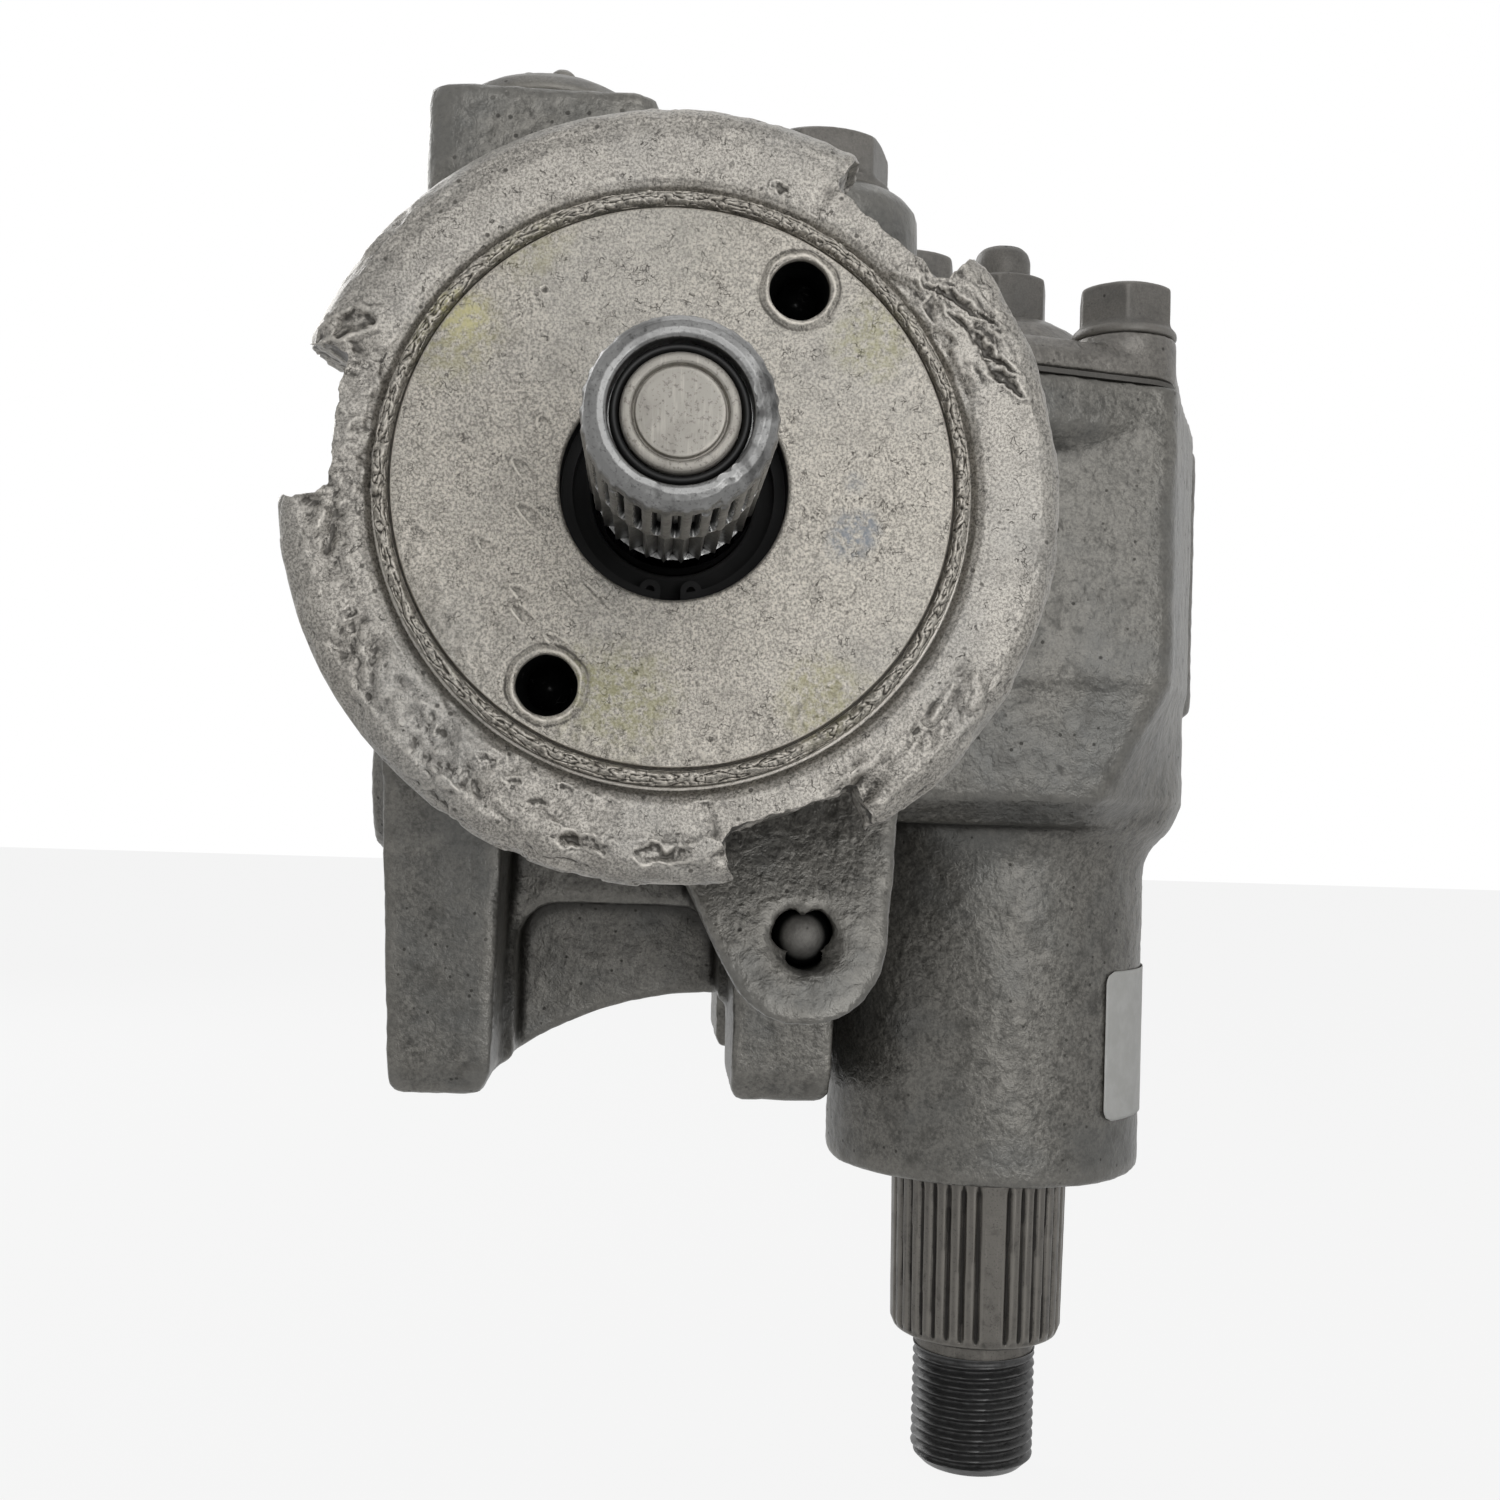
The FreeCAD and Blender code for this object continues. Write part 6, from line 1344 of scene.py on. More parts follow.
@dataclass
class LockRing(Assembly):
    """The battered slotted ring round the adjuster plug, in millimetres."""

    inner_r: float = 34.43
    outer_r: float = 45.9
    front_y: float = 40.0
    back_y: float = 51.0
    valley: float = 1.3
    edge_r: float = 3.6
    notch_width: float = 18.0
    notch_depth: float = 6.5
    notch_first_deg: float = 51.5
    notch_count: int = 3
    places: int = 1440
    step: float = 0.22
    deepest: float = 1.6
    proudest: float = 0.30
    worn_depth: float = 0.7
    worn_deg: float = 128.0

    def build(self) -> None:
        """Makes the ring and cuts its torn notches."""
        ring = self.ring()
        for index in range(self.notch_count):
            self.cut_notch(ring, index)
        ring.data.shade_smooth()
        self.add(note_hollows(ring, 18), Finish.RING, ("lock_ring",))

    def profile(self) -> Profile:
        """The ring's cross-section, from the inner front corner outwards.

        Returns:
            (radius, y) points, close together where the skin is marked.
        """
        front, rim, edge = self.front_y, self.outer_r, self.edge_r
        inner, step = self.inner_r, self.step
        coarse = [(inner, front + self.valley, step), (inner + 0.5, front + self.valley, step),
                  (inner + 1.1, front + self.valley * 0.45, step), (inner + 2.0, front + 0.16, step),
                  (inner + 3.4, front, step), (rim - edge - 0.6, front + 0.02, step)]
        for index in range(1, 8):
            turn = math.radians(90 * index / 7)
            coarse.append((rim - edge + edge * math.sin(turn),
                           front + edge - edge * math.cos(turn), step))
        coarse += [(rim, front + edge + 0.1, 0.4), (rim, self.back_y - 1.0, 1.0),
                   (rim - 1.2, self.back_y, 4.0), (inner, self.back_y, 4.0)]
        return finely(coarse)

    def ring(self) -> bpy.types.Object:
        """The whole ring with its hammer marks, before the notches.

        Returns:
            The new object.
        """
        profile = self.profile()
        points, faces = rings(profile, self.places)
        count = len(profile)
        along = np.cumsum([0.0] + [math.dist(a, b) for a, b in zip(profile[:-1], profile[1:])])
        marked = along[-1] - (self.outer_r - self.inner_r) - 2.0
        for index in range(len(points)):
            reach = along[index % count]
            if reach > marked:
                continue
            spot = Spot.at(*points[index].tolist())
            lift = 0.035 * spot.cloud(0.55) + 0.05 * spot.cloud(0.12, 4.0)
            for mark in RING_MARKS:
                lift += mark.height(spot, reach)
            if spot.y < self.front_y + 2.0:
                bent_x = spot.x + 1.0 * spot.flat_cloud(0.42, 3.0) + 0.4 * spot.flat_cloud(1.3, 5.0)
                bent_z = spot.z + 1.0 * spot.flat_cloud(0.42, 9.0) + 0.4 * spot.flat_cloud(1.3, 7.0)
                for dent in RING_DENTS:
                    lift += dent.height(bent_x, bent_z)
            lift += self.notch_lip(spot)
            lift = clamp(lift, -self.deepest, self.proudest) * min(1.0, reach / 0.8)
            lift -= self.worn_depth * hill(reach, 8.4, 13.5, 3.0) * max(
                0.0, math.cos(math.radians(spot.angle - self.worn_deg))) ** 2
            out = hill(reach, 9.6, 99.0, 3.0)
            points[index] += (spot.x / spot.radius * lift * out, -lift * (1.0 - out),
                              spot.z / spot.radius * lift * out)
        points[:, 1] = np.maximum(points[:, 1], self.front_y - self.proudest)
        return outward(mesh_piece("battered_lock_ring", points, faces))

    def notch_lip(self, spot: Spot) -> float:
        """Smeared metal beside the notches.

        Args:
            spot: the place.

        Returns:
            The lift, in millimetres.
        """
        lift = 0.0
        for index in range(self.notch_count):
            turn = math.radians(self.notch_first_deg + 360 * index / self.notch_count)
            across = -spot.x * math.sin(turn) + spot.z * math.cos(turn)
            ahead = spot.x * math.cos(turn) + spot.z * math.sin(turn)
            if ahead < 0 or spot.radius < self.outer_r - self.notch_depth - 3:
                continue
            beside = abs(across) - self.notch_width / 2
            if -1.0 < beside < 4.0:
                lift += 0.5 * bell(beside, 0.0, 1.5) * spot.cloud(0.5, 40.0)
                lift -= 0.35 * bell(beside, 0.0, 0.8)
        return lift

    def cut_notch(self, ring: bpy.types.Object, index: int) -> None:
        """Cuts one notch with uneven walls.

        Args:
            ring: the ring.
            index: which notch.
        """
        turn = math.radians(self.notch_first_deg + 360 * index / self.notch_count)
        floor_r = self.outer_r - self.notch_depth
        mesh = bmesh.new()
        bmesh.ops.create_cube(mesh, size=1.0)
        bmesh.ops.subdivide_edges(mesh, edges=mesh.edges[:], cuts=26, use_grid_fill=True)
        for vertex in mesh.verts:
            outward = vertex.co.x + 0.5
            x = floor_r + outward * (self.notch_depth + 3.0)
            y = (self.front_y - 3.0) + (vertex.co.y + 0.5) * (self.back_y - self.front_y + 4.0)
            z = vertex.co.z * (self.notch_width - 1.0 + 1.6 * outward)
            ragged = Vector((cloud(x, y, z, 0.30, 50.0 + index), cloud(x, y, z, 0.35, 61.0 + index),
                             cloud(x, y, z, 0.30, 72.0 + index)))
            fine = Vector((cloud(x, y, z, 1.1, 3.0), 0.0, cloud(x, y, z, 1.1, 9.0)))
            place = Vector((x, y, z)) + ragged * 0.9 + fine * 0.28
            corner = max(0.0, abs(place.z) - self.notch_width / 2 + 2.2)
            place.x += corner * corner * 0.22 * max(0.0, 1.0 - outward * 2.0)
            vertex.co = Vector((place.x * math.cos(turn) - place.z * math.sin(turn), place.y,
                                place.x * math.sin(turn) + place.z * math.cos(turn))) * MM
        data = bpy.data.meshes.new("notch_cutter")
        mesh.to_mesh(data)
        mesh.free()
        cut_out(ring, linked("notch_cutter", data))


@dataclass
class AdjusterPlug(Assembly):
    """The threaded plug inside the lock ring, in millimetres."""

    face_y: float = 38.0
    bore_r: float = 13.1
    thread_r: float = 34.38
    bead_r: float = 32.7
    bearing_bore_r: float = 12.6
    pilot_r: float = 25.44
    hole_r: float = 3.5
    hole_ring_r: float = 27.1
    hole_deg: float = 59.5
    hole_depth: float = 6.0
    rim_r: float = 4.7
    places: int = 1280
    deepest: float = 0.8
    proudest: float = 0.49

    def build(self) -> None:
        """Makes the plug and drills its spanner holes."""
        plug = self.face_and_body()
        for sign in (1.0, -1.0):
            self.drill(plug, sign)
        plug.data.shade_smooth()
        self.add(note_hollows(plug, 10), Finish.PLUG, ("adjuster_plug",))

    def profile(self) -> Profile:
        """The plug's cross-section, from the bore's mouth outwards and back inside.

        Returns:
            (radius, y) points.
        """
        y, bore, bead, rim = self.face_y, self.bore_r, self.bead_r, self.thread_r
        coarse = [(bore, y + 0.45, 0.3), (bore + 0.08, y + 0.14, 0.1), (bore + 0.3, y, 0.24),
                  (bead - 1.6, y + 0.02, 0.20), (bead - 0.50, y + 0.10, 0.15),
                  (bead - 0.34, y + 1.1, 0.3), (bead - 0.14, y + 1.1, 0.2),
                  (bead + 0.02, y + 0.05, 0.15), (bead + 0.30, y - 0.36, 0.15),
                  (bead + 0.75, y - 0.42, 0.15), (rim - 0.55, y - 0.10, 0.15),
                  (rim - 0.15, y + 0.35, 0.2), (rim, y + 0.9, 0.4),
                  (rim, y + 4.0, 6.0), (rim, 56.0, 4.0),
                  (self.pilot_r, 56.0, 4.0), (self.pilot_r, 57.6, 4.0),
                  (self.pilot_r - 1.9, 57.6, 4.0), (self.pilot_r - 1.9, 59.5, 4.0),
                  (self.pilot_r, 59.5, 4.0), (self.pilot_r, 60.5, 6.0),
                  (self.bearing_bore_r, 60.5, 6.0), (self.bearing_bore_r, 51.0, 4.0),
                  (bore, 51.0, 6.0), (bore, 43.7, 4.0), (bore + 1.1, 43.7, 4.0),
                  (bore + 1.1, 42.3, 4.0), (bore, 42.3, 2.0)]
        return finely(coarse)

    def hole_places(self) -> Tuple[Tuple[float, float], Tuple[float, float]]:
        """The (x, z) of both spanner holes."""
        turn = math.radians(self.hole_deg)
        x, z = self.hole_ring_r * math.cos(turn), self.hole_ring_r * math.sin(turn)
        return ((x, z), (-x, -z))

    def face_lift(self, spot: Spot) -> float:
        """How far marks lift the front face at a place.

        Args:
            spot: the place.

        Returns:
            The lift, in millimetres.
        """
        lift = 0.02 * spot.flat_cloud(0.8) + 0.05 * spot.flat_cloud(0.09, 5.0)
        for dent in PLUG_DENTS:
            lift += dent.height(spot.x, spot.z)
        for hole_x, hole_z in self.hole_places():
            away = math.hypot(spot.x - hole_x, spot.z - hole_z)
            if away < self.rim_r + 2.0:
                uneven = 0.25 * spot.flat_cloud(0.4, 12.0)
                lift += 0.30 * bell(away - 3.95, uneven, 0.36)
                lift -= 0.16 * bell(away - self.rim_r, uneven, 0.20)
        near_rim = hill(spot.radius, 28.6, 32.0, 2.0)
        low_edge = hill(spot.angle, 188.0, 318.0, 22.0)
        flakes = hammered(spot.x * 1.3, 0.0, spot.z, 0.62, 6.0) - 0.42
        lift += flakes * 0.34 * near_rim * low_edge
        sides = hill(spot.angle, 10.0, 80.0, 14.0)
        lift += 0.20 * near_rim * sides * (hammered(spot.x, 0.0, spot.z, 0.9, 16.0) - 0.4)
        return lift

    @staticmethod
    def bead_lift(spot: Spot) -> float:
        """How far blows lift the bead round the face.

        Args:
            spot: the place.

        Returns:
            The lift, in millimetres.
        """
        rough = spot.flat_cloud(1.3, 8.0) * 0.36 + spot.flat_cloud(0.5, 2.0) * 0.24
        blows = (hammered(spot.x, spot.radius, spot.z, 0.75, 3.0) - 0.42) * 0.60
        left = hill(spot.angle, 120.0, 250.0, 20.0)
        seam = cloud(spot.angle * 0.22, spot.radius * 1.5, 0.0, 1.0, 61.0)
        fold = cloud(spot.angle * 0.5, spot.radius * 0.9, 7.0, 1.0, 83.0)
        cracks = (max(0.0, 1.0 - abs(seam) / 0.13) * 0.50
                  + max(0.0, 1.0 - abs(fold) / 0.10) * 0.34)
        gouges = sum(depth * bell(spot.angle, centre, width) for centre, width, depth in BEAD_GOUGES)
        return rough + blows * (0.35 + 0.65 * left) - cracks - gouges

    def face_and_body(self) -> bpy.types.Object:
        """The whole plug before its spanner holes.

        Returns:
            The new object.
        """
        points, faces = rings(self.profile(), self.places)
        for index in range(len(points)):
            spot = Spot.at(*points[index].tolist())
            if spot.y > self.face_y + 1.2:
                continue
            if spot.radius < self.bead_r - 0.5:
                lift = self.face_lift(spot) * clamp((spot.radius - self.bore_r) / 1.2)
                points[index, 1] = max(self.face_y - self.proudest, spot.y - lift)
            elif self.bead_r - 0.05 < spot.radius < self.thread_r - 0.02:
                lift = clamp(self.bead_lift(spot), -self.deepest, 0.22)
                points[index, 1] = max(self.face_y - self.proudest, spot.y - lift)
                wander = 0.16 * spot.flat_cloud(0.4, 30.0) + 0.05 * spot.flat_cloud(1.1, 41.0)
                points[index, 0] += spot.x / spot.radius * wander
                points[index, 2] += spot.z / spot.radius * wander
        return outward(mesh_piece("stamped_adjuster_plug", points, faces))

    def drill(self, plug: bpy.types.Object, sign: float) -> None:
        """Drills one spanner hole.

        Args:
            plug: the plug.
            sign: 1 for the upper hole and -1 for the lower one.
        """
        hole_x, hole_z = self.hole_places()[0]
        profile = [(0.0, self.face_y - 2.0), (self.hole_r + 0.12, self.face_y - 2.0),
                   (self.hole_r + 0.12, self.face_y - 0.2), (self.hole_r, self.face_y + 0.4),
                   (self.hole_r, self.face_y + self.hole_depth - 0.5),
                   (self.hole_r * 0.75, self.face_y + self.hole_depth), (0.0, self.face_y + 6.4)]
        points, faces = rings(profile[1:-1], 72, closed=False)
        points = points + np.array([sign * hole_x, 0.0, sign * hole_z])
        for row in points:
            row[0] += 0.10 * cloud(*row.tolist(), 0.6, 20.0)
            row[2] += 0.10 * cloud(*row.tolist(), 0.6, 26.0)
        last = len(profile) - 2
        faces.append([place * last for place in range(72)])
        faces.append([place * last + last - 1 for place in range(71, -1, -1)])
        cutter = outward(mesh_piece("hole_cutter", points, faces))
        cut_out(plug, cutter)


@dataclass
class InputEnd(Assembly):
    """The input shaft's worn end, its torsion bar's head and seal ring, in millimetres."""

    shaft_r: float = 9.50
    land_r: float = 9.47
    bore_r: float = 6.85
    bore_floor_y: float = 3.0
    tube_r: float = 5.9
    slot_start_y: float = 3.2
    slot_end_y: float = 16.4
    slot_depth: float = 1.35
    slot_share: float = 0.235
    slot_round: float = 0.9
    teeth: int = 30
    tooth_depth: float = 1.25
    tooth_start_y: float = 16.7
    tooth_end_y: float = 33.6
    undercut_r: float = 8.20
    front_end_y: float = 38.0
    places: int = 900
    head_front_y: float = 0.5
    head_r: float = 5.7
    groove_r: float = 4.32
    clean_r: float = 3.2
    seal_outer_r: float = 6.70
    seal_inner_r: float = 5.80
    seal_front_y: float = 1.1
    seal_back_y: float = 2.9
    body: ClassVar[Body] = Body.INPUT

    def build(self) -> None:
        """Makes the shaft, the seal ring and the inner pieces that turn with them."""
        self.add(note_hollows(self.worn_end(), 10), Finish.INPUT, ("input_shaft",))
        rest = copy_of("input_shaft", "input_shaft_rear")
        cut_away(rest, (0.0, self.front_end_y - 0.2, 0.0), (0.0, -1.0, 0.0))
        self.add(smooth_by_angle(rest), Finish.INPUT)
        self.seal_ring()
        self.bar_head()
        self.dress("upper_drive_pin", Finish.GROUND)
        self.dress("valve_spool", Finish.GROUND)

    def profile(self) -> Profile:
        """The shaft end's cross-section before its teeth are cut.

        Returns:
            (radius, y) points.
        """
        land, bore, tube = self.land_r, self.bore_r, self.tube_r
        coarse = [(tube, self.front_end_y, 40.0), (tube, self.bore_floor_y, 0.5),
                  (bore, self.bore_floor_y, 0.6), (bore, 0.60, 0.12), (bore + 0.08, 0.25, 0.12),
                  (bore + 0.35, 0.05, 0.12), (bore + 0.9, 0.0, 0.12), (bore + 1.6, 0.22, 0.12),
                  (land - 0.50, 0.75, 0.14), (land - 0.18, 1.40, 0.16), (land - 0.03, 2.3, 0.16),
                  (land, 3.2, 0.16), (land, self.tooth_start_y - 0.1, 0.1),
                  (self.shaft_r, self.tooth_start_y + 0.1, 0.18),
                  (self.shaft_r, self.tooth_end_y, 0.2),
                  (self.undercut_r, self.tooth_end_y + 0.3, 0.4),
                  (self.undercut_r, self.front_end_y, 4.0)]
        return finely(coarse)

    def cut_depth(self, y: float, share: float) -> float:
        """How deep the teeth's gaps are.

        Args:
            y: place along the shaft.
            share: place within one tooth's pitch, from -0.5 to 0.5; the gap is at 0.

        Returns:
            The depth.
        """
        if y < self.tooth_start_y:
            middle = (self.slot_start_y + self.slot_end_y) / 2
            past = abs(y - middle) - (self.slot_end_y - middle) + self.slot_round
            width = self.slot_share * math.sqrt(
                max(0.0, 1.0 - max(0.0, past / self.slot_round) ** 2))
            away = min(1.0, (0.5 - abs(share)) / (0.5 - self.slot_share))
            if width <= 0.0:
                return 0.16 * min(1.0, y / 2.0) * away * away
            return self.slot_depth * clamp((width - abs(share)) / 0.07) + 0.20 * away * away
        return self.tooth_depth * (1.0 - min(1.0, abs(share) * 2.05))

    @staticmethod
    def wear(spot: Spot) -> float:
        """How far knocks lift the shaft's skin.

        Args:
            spot: the place.

        Returns:
            The lift.
        """
        lift = 0.05 * spot.cloud(0.55, 3.0) + 0.03 * spot.cloud(1.6, 8.0)
        if spot.y < 4.0:
            lift += 0.10 * (hammered(spot.x, spot.y * 0.6, spot.z, 0.55, 14.0) - 0.45)
            for centre, width, depth in TIP_KNOCKS:
                lift -= depth * bell(spot.angle + spot.y * 5.0, centre, width)
        return lift

    def worn_end(self) -> bpy.types.Object:
        """The end of the shaft with its slots and teeth.

        Returns:
            The new object.
        """
        points, faces = rings(self.profile(), self.places)
        for index in range(len(points)):
            spot = Spot.at(*points[index].tolist())
            if spot.radius < self.bore_r - 0.02 or spot.y > self.tooth_end_y + 0.2:
                continue
            lift = self.wear(spot) if spot.radius > self.bore_r + 0.3 else 0.0
            if spot.radius > self.land_r - 0.3:
                share = (spot.angle * self.teeth / 360.0) % 1.0 - 0.5
                lift -= self.cut_depth(spot.y, share)
                if spot.y > self.tooth_end_y:
                    gap_r = self.shaft_r - self.cut_depth(self.tooth_end_y, share)
                    lift = min(0.0, gap_r - spot.radius)
            lift = min(lift, 0.08)
            points[index, 0] += spot.x / spot.radius * lift
            points[index, 2] += spot.z / spot.radius * lift
        return smooth_by_angle(outward(mesh_piece("worn_input_end", points, faces)), 60.0)

    def bar_head(self) -> None:
        """The bar's turned head with its groove, and the rest of the bar behind it."""
        front, outer, groove = self.head_front_y, self.head_r, self.groove_r
        coarse = [(0.02, front, 0.5), (groove - 0.22, front, 0.3), (groove - 0.10, front + 0.08, 0.1),
                  (groove, front + 0.70, 0.1), (groove + 0.18, front + 0.75, 0.1),
                  (groove + 0.30, front + 0.16, 0.1), (groove + 0.5, front + 0.02, 0.1),
                  (outer - 0.5, front + 0.02, 0.2), (outer - 0.2, front + 0.14, 0.1),
                  (outer - 0.03, front + 0.42, 0.1), (outer, front + 0.9, 0.2),
                  (outer, front + 2.2, 2.0), (0.02, front + 2.2, 5.0)]
        points, faces = rings(finely(coarse), 220)
        head = outward(mesh_piece("torsion_bar_head", points, faces))
        note_hollows(smooth_by_angle(head, 60.0), 8)
        for index, vertex in enumerate(head.data.vertices):
            if math.hypot(vertex.co.x, vertex.co.z) < self.clean_r * MM:
                head.data.attributes["hollow"].data[index].value = 0.0
        self.add(head, Finish.TORSION, ("torsion_bar",))
        rest = copy_of("torsion_bar", "torsion_bar_rear")
        cut_away(rest, (0.0, front + 2.1, 0.0), (0.0, -1.0, 0.0))
        self.add(smooth_by_angle(rest), Finish.TORSION)

    def seal_ring(self) -> None:
        """The round rubber ring between the bar's head and the shaft."""
        middle_r = (self.seal_outer_r + self.seal_inner_r) / 2
        half_r = (self.seal_outer_r - self.seal_inner_r) / 2
        middle_y = (self.seal_front_y + self.seal_back_y) / 2
        half_y = (self.seal_back_y - self.seal_front_y) / 2
        profile = []
        for step in range(20):
            turn = 2 * math.pi * step / 20
            profile.append((middle_r + half_r * math.cos(turn), middle_y + half_y * math.sin(turn)))
        points, faces = rings(profile, 128)
        self.add(outward(mesh_piece("tip_seal_ring", points, faces)),
                 Finish.RUBBER, ("torsion_bar_o_ring",))


@dataclass
class PlugSeals(Assembly):
    """What is seen deep in the plug's bore round the input shaft, in millimetres."""

    outer_r: float = 13.05
    lip_r: float = 9.56
    front_y: float = 43.9
    back_y: float = 45.9

    def build(self) -> None:
        """Makes the dust seal's rounded lip and dresses the ring and inner seal."""
        profile = [(self.lip_r, self.front_y + 0.25), (self.lip_r + 0.25, self.front_y),
                   (self.lip_r + 0.7, self.front_y + 0.1), (self.lip_r + 1.3, self.front_y + 0.7),
                   (self.outer_r - 0.4, self.front_y + 0.7), (self.outer_r, self.front_y + 0.9),
                   (self.outer_r, self.back_y), (self.lip_r + 1.0, self.back_y)]
        points, faces = rings(profile, 160)
        # Painted shade: the dust seal, the retaining ring and the lip seal get near-black finishes
        # for the shade deep in the bore; the seals' rubber is also black of itself.
        self.add(outward(mesh_piece("dust_seal_lip", points, faces)),
                 Finish.SOOTY, ("input_dust_seal",))
        self.dress("input_retaining_ring", Finish.BLACKED)
        self.dress("input_lip_seal", Finish.SOOTY)


@dataclass
class OilPorts(Assembly):
    """The return port's cap, the pressure port's plug, their seats and the passage ball."""

    def build(self) -> None:
        """Makes the caps and dresses what lies under them."""
        for soft in (
            Softening("return_port_cap", "domed_port_cap", Finish.CAP, 0.30, 4, 0.5, ripple=0.05,
                      ripple_scale=0.3, pebble=0.03, pebble_scale=1.0),
            Softening("pressure_port_plug", "hex_port_plug", Finish.FASTENER, 0.30, 8, 0.4,
                      ripple=0.03, ripple_scale=0.4),
        ):
            self.add(soft.build(), soft.finish, (soft.node,))
        self.dress("port_seats", Finish.BRASS)
        self.dress("passage_ball", Finish.SHADED_BALL)


@dataclass
class SideCover(Assembly):
    """The ribbed cover over the sector with its bolts, adjuster and gasket."""

    def build(self) -> None:
        """Makes the cover and what stands on it."""
        for soft in (
            Softening("side_cover", "cast_side_cover", Finish.COVER, 0.55, 7, 0.45, ripple=0.10,
                      ripple_scale=0.16, pebble=0.07, pebble_scale=0.7),
            Softening("side_cover_bolts", "flange_bolts", Finish.FASTENER, 0.34, 10, 0.35,
                      ripple=0.03, ripple_scale=0.4),
            Softening("adjuster_lock_nut", "adjuster_nut", Finish.FASTENER, 0.30, 12, 0.5,
                      ripple=0.03, ripple_scale=0.4),
            Softening("lash_adjuster_screw", "adjuster_screw", Finish.FASTENER, 0.30, 10, 0.5,
                      ripple=0.02, ripple_scale=0.5),
        ):
            self.add(soft.build(), soft.finish, (soft.node,))
        self.dress("side_cover_gasket", Finish.GASKET)
        self.dress("side_cover_bushing", Finish.BRONZE)


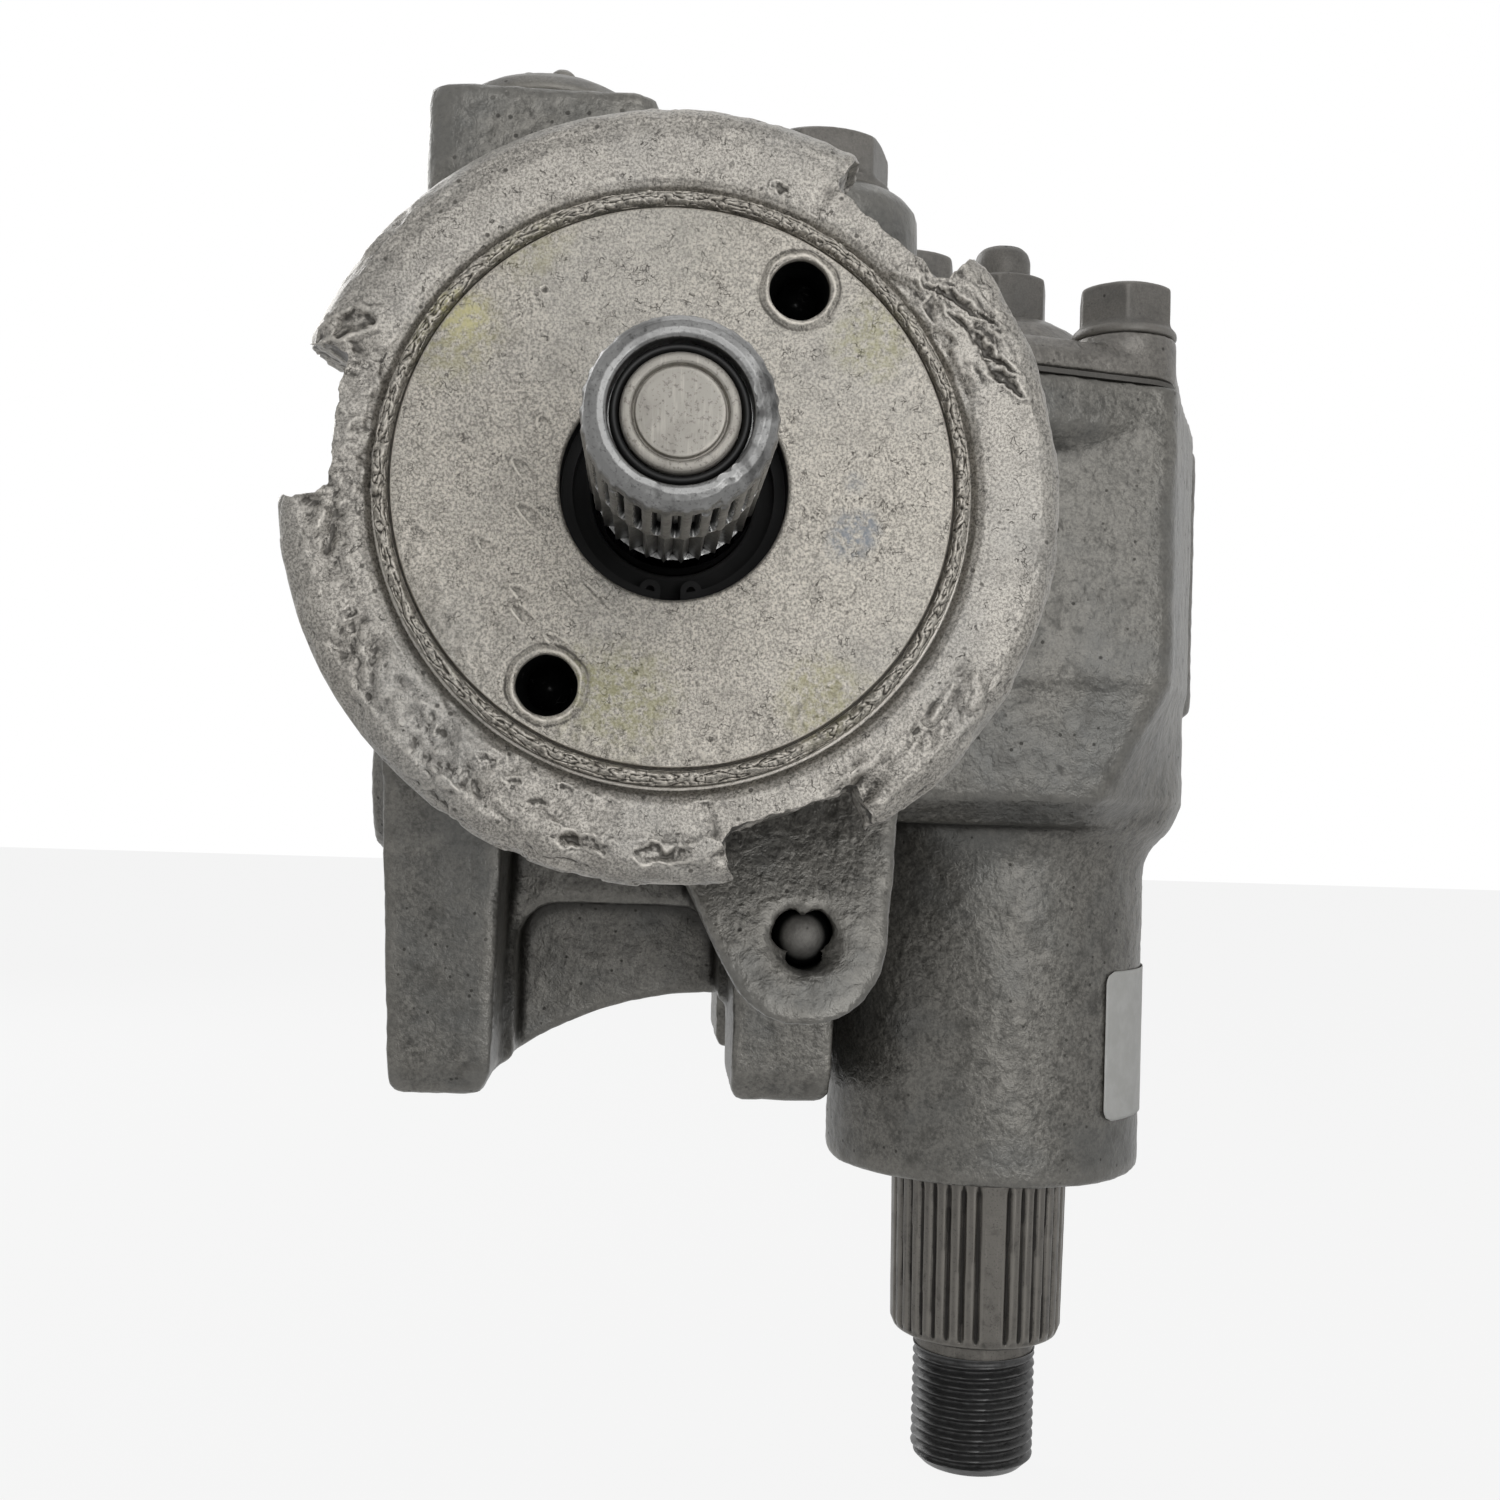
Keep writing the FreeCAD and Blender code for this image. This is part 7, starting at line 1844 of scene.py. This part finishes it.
@dataclass
class Casting(Assembly):
    """The one-piece housing with its cast skin, and the blank label on its neck."""

    pitman: Tuple[float, float] = (61.0, 156.0)
    neck_r: float = 28.4
    label_low_z: float = -88.6
    label_high_z: float = -63.0
    label_from_deg: float = -54.0
    label_to_deg: float = 28.0
    label_corner: float = 2.2
    label_lift: float = 0.04
    label_thickness: float = 0.16
    label_columns: int = 56
    label_rows: int = 40
    cylinder_r: float = 36.06
    cylinder_reach: float = 1.2
    cylinder_front_y: float = 102.0

    def build(self) -> None:
        """Makes the casting and sticks the label on."""
        # calm=60 measures broad hollows, so the darkening of hollows reaches wide fillets and
        # pockets: partly dirt, partly painted shade.
        soft = Softening("gear_housing", "cast_gear_housing", Finish.CASTING, 0.85, 10, 0.34,
                         ripple=0.16, ripple_scale=0.13, pebble=0.12, pebble_scale=0.62,
                         calm=60)
        casting = soft.build()
        self.clear_cylinder(casting.data)
        self.add(casting, soft.finish, (soft.node,))
        self.add(self.label(), Finish.LABEL)

    def clear_cylinder(self, mesh: bpy.types.Mesh) -> None:
        """Puts the piston's bore back to its radius where softening drew it in.

        Args:
            mesh: the casting's mesh.
        """
        places = np.empty(len(mesh.vertices) * 3, np.float64)
        mesh.vertices.foreach_get("co", places)
        places = places.reshape(-1, 3)
        radii = np.hypot(places[:, 0], places[:, 2]) / MM
        drawn_in = ((radii > self.cylinder_r - self.cylinder_reach) & (radii < self.cylinder_r)
                    & (places[:, 1] > self.cylinder_front_y * MM))
        grown = np.where(drawn_in, self.cylinder_r / np.maximum(radii, 1.0), 1.0)
        places[:, 0] *= grown
        places[:, 2] *= grown
        mesh.vertices.foreach_set("co", places.ravel())
        mesh.update()

    def label(self) -> bpy.types.Object:
        """The blank paper label on the right of the neck.

        Returns:
            The new object.
        """
        across, up = self.label_columns, self.label_rows
        points = [self.label_point(column / across * 2 - 1, row / up * 2 - 1, layer)
                  for layer in (self.label_lift, self.label_thickness)
                  for row in range(up + 1) for column in range(across + 1)]
        faces = []
        width = across + 1
        above = (up + 1) * width
        for row in range(up):
            for column in range(across):
                here = row * width + column
                faces.append([here, here + width, here + width + 1, here + 1])
                faces.append([above + here, above + here + 1, above + here + width + 1,
                              above + here + width])
        edge = (list(range(across))
                + [row * width + across for row in range(up)]
                + [up * width + column for column in range(across, 0, -1)]
                + [row * width for row in range(up, 0, -1)])
        for index, place in enumerate(edge):
            after = edge[(index + 1) % len(edge)]
            faces.append([place, after, above + after, above + place])
        return outward(mesh_piece("blank_label", np.array(points), faces))

    def label_point(self, along: float, rise: float, layer: float) -> Point:
        """One place on the label, which is drawn in at its round corners.

        Args:
            along: how far round the neck, from -1 to 1.
            rise: how far up the label, from -1 to 1.
            layer: how far off the neck's skin, in millimetres.

        Returns:
            The place, in millimetres.
        """
        length = math.radians(self.label_to_deg - self.label_from_deg) * self.neck_r
        height = self.label_high_z - self.label_low_z
        pull = max(0.0, self.label_corner - (1 - abs(rise)) * height / 2)
        pull = self.label_corner - math.sqrt(max(0.0, self.label_corner ** 2 - pull ** 2))
        reach = along * (length / 2 - pull)
        angle = math.radians((self.label_to_deg + self.label_from_deg) / 2) + reach / self.neck_r
        z = (self.label_high_z + self.label_low_z) / 2 + rise * height / 2
        radius = self.neck_r + layer + 0.03 * cloud(reach, z, 0.0, 0.2)
        return (self.pitman[0] + radius * math.cos(angle),
                self.pitman[1] + radius * math.sin(angle), z)

    def inside(self) -> None:
        """Dresses the pieces that the casting hides."""
        for node, finish in (
            ("plug_o_ring", Finish.RUBBER), ("plug_needle_bearing", Finish.GROUND),
            ("upper_thrust_bearing", Finish.GROUND), ("lower_thrust_bearing", Finish.GROUND),
            ("pitman_needle_bearing", Finish.GROUND), ("pitman_seal", Finish.RUBBER),
            ("seal_washer", Finish.BARE), ("pitman_dust_seal", Finish.RUBBER),
            ("pitman_retaining_ring", Finish.BARE), ("end_cover", Finish.CASTING),
            ("end_cover_o_ring", Finish.RUBBER), ("end_retaining_ring", Finish.BARE),
            ("worm_shaft", Finish.GROUND), ("valve_sleeve", Finish.GROUND),
            ("valve_sleeve_rings", Finish.RUBBER), ("valve_sleeve_pin", Finish.GROUND),
            ("lower_drive_pin", Finish.GROUND), ("rack_piston", Finish.GROUND),
            ("piston_ring", Finish.BARE), ("piston_end_plug", Finish.BARE),
            ("recirculating_balls", Finish.BALL), ("ball_guide", Finish.BARE),
            ("guide_clamp", Finish.BARE), ("clamp_screws", Finish.BARE),
            ("adjuster_retainer", Finish.BARE),
        ):
            self.dress(node, finish)


@dataclass
class OutputShaft(Assembly):
    """The output shaft: softened splines above and a real screw thread below, in millimetres."""

    pitman: Tuple[float, float] = (61.0, 156.0)
    thread_r: float = 11.08
    thread_depth: float = 0.95
    thread_pitch: float = 1.814
    thread_top_z: float = -133.6
    end_z: float = -154.0
    chamfer: float = 1.9
    row_height: float = 0.14
    places: int = 144
    body: ClassVar[Body] = Body.SECTOR

    def build(self) -> None:
        """Makes the shaft and its thread."""
        soft = Softening("pitman_shaft", "splined_output_shaft", Finish.OUTPUT, 0.30, 2, 0.4,
                         ripple=0.03, ripple_scale=0.4)
        shaft = cut_away(soft.build(), (0.0, 0.0, self.thread_top_z + 0.2), (0.0, 0.0, -1.0))
        self.add(shaft, soft.finish, (soft.node,))
        self.add(note_hollows(self.thread(), 12), Finish.THREAD)

    def thread(self) -> bpy.types.Object:
        """The threaded end as one helical skin with a chamfered tip.

        Returns:
            The new object.
        """
        rows = int((self.thread_top_z + 0.6 - self.end_z) / self.row_height)
        heights = [self.end_z + self.row_height * row for row in range(rows + 1)]
        angles = np.linspace(0, 2 * math.pi, self.places, endpoint=False)
        points = []
        for z in heights:
            points += [self.thread_point(z, float(angle)) for angle in angles]
        faces = []
        for row in range(rows):
            for place in range(self.places):
                after = (place + 1) % self.places
                here = row * self.places
                faces.append([here + place, here + after, here + self.places + after,
                              here + self.places + place])
        hub = self.thread_r - self.chamfer
        outer = 0
        for radius, z in ((hub * 0.86, self.end_z + 0.02), (hub * 0.30, self.end_z + 0.02),
                          (hub * 0.16, self.end_z + 1.2)):
            start = len(points)
            points += [self.round_shaft(radius, angle, z) for angle in angles]
            for place in range(self.places):
                after = (place + 1) % self.places
                faces.append([outer + place, start + place, start + after, outer + after])
            outer = start
        faces.append([outer + place for place in range(self.places)][::-1])
        top = rows * self.places
        faces.append([top + place for place in range(self.places)])
        return smooth_by_angle(outward(mesh_piece("output_thread", np.array(points), faces)), 50.0)

    def thread_point(self, z: float, angle: float) -> Point:
        """One place on the thread's skin.

        Args:
            z: its height.
            angle: its angle round the shaft.

        Returns:
            The place.
        """
        phase = ((z - self.end_z) / self.thread_pitch - angle / (2 * math.pi)) % 1.0
        wave = clamp(abs(phase - 0.5) * 2.6 - 0.22)
        run_out = clamp((self.thread_top_z + 0.4 - z) / 1.6)
        radius = self.thread_r - self.thread_depth * (1.0 - wave) * run_out
        radius -= 0.05 * (1.0 + cloud(math.cos(angle) * 11, math.sin(angle) * 11, z, 0.8, 5.0))
        limit = self.thread_r - self.chamfer + (z - self.end_z) * 1.05
        radius = min(radius, limit)
        return self.round_shaft(radius, angle, z)

    def round_shaft(self, radius: float, angle: float, z: float) -> Point:
        """A place given by its distance from the shaft's axis, its angle and its height."""
        return (self.pitman[0] + radius * math.cos(angle),
                self.pitman[1] + radius * math.sin(angle), z)


def main() -> None:
    """Builds the studio and every sub-assembly in order."""
    scene = bpy.context.scene
    scene.view_settings.view_transform = "Standard"
    casting = Casting()
    for part in (Studio(), casting, SideCover(), OilPorts(), LockRing(), AdjusterPlug(),
                 PlugSeals(), InputEnd(), OutputShaft()):
        log.info("building %s", type(part).__name__)
        part.build()
    casting.inside()


if __name__ == "__main__":
    main()
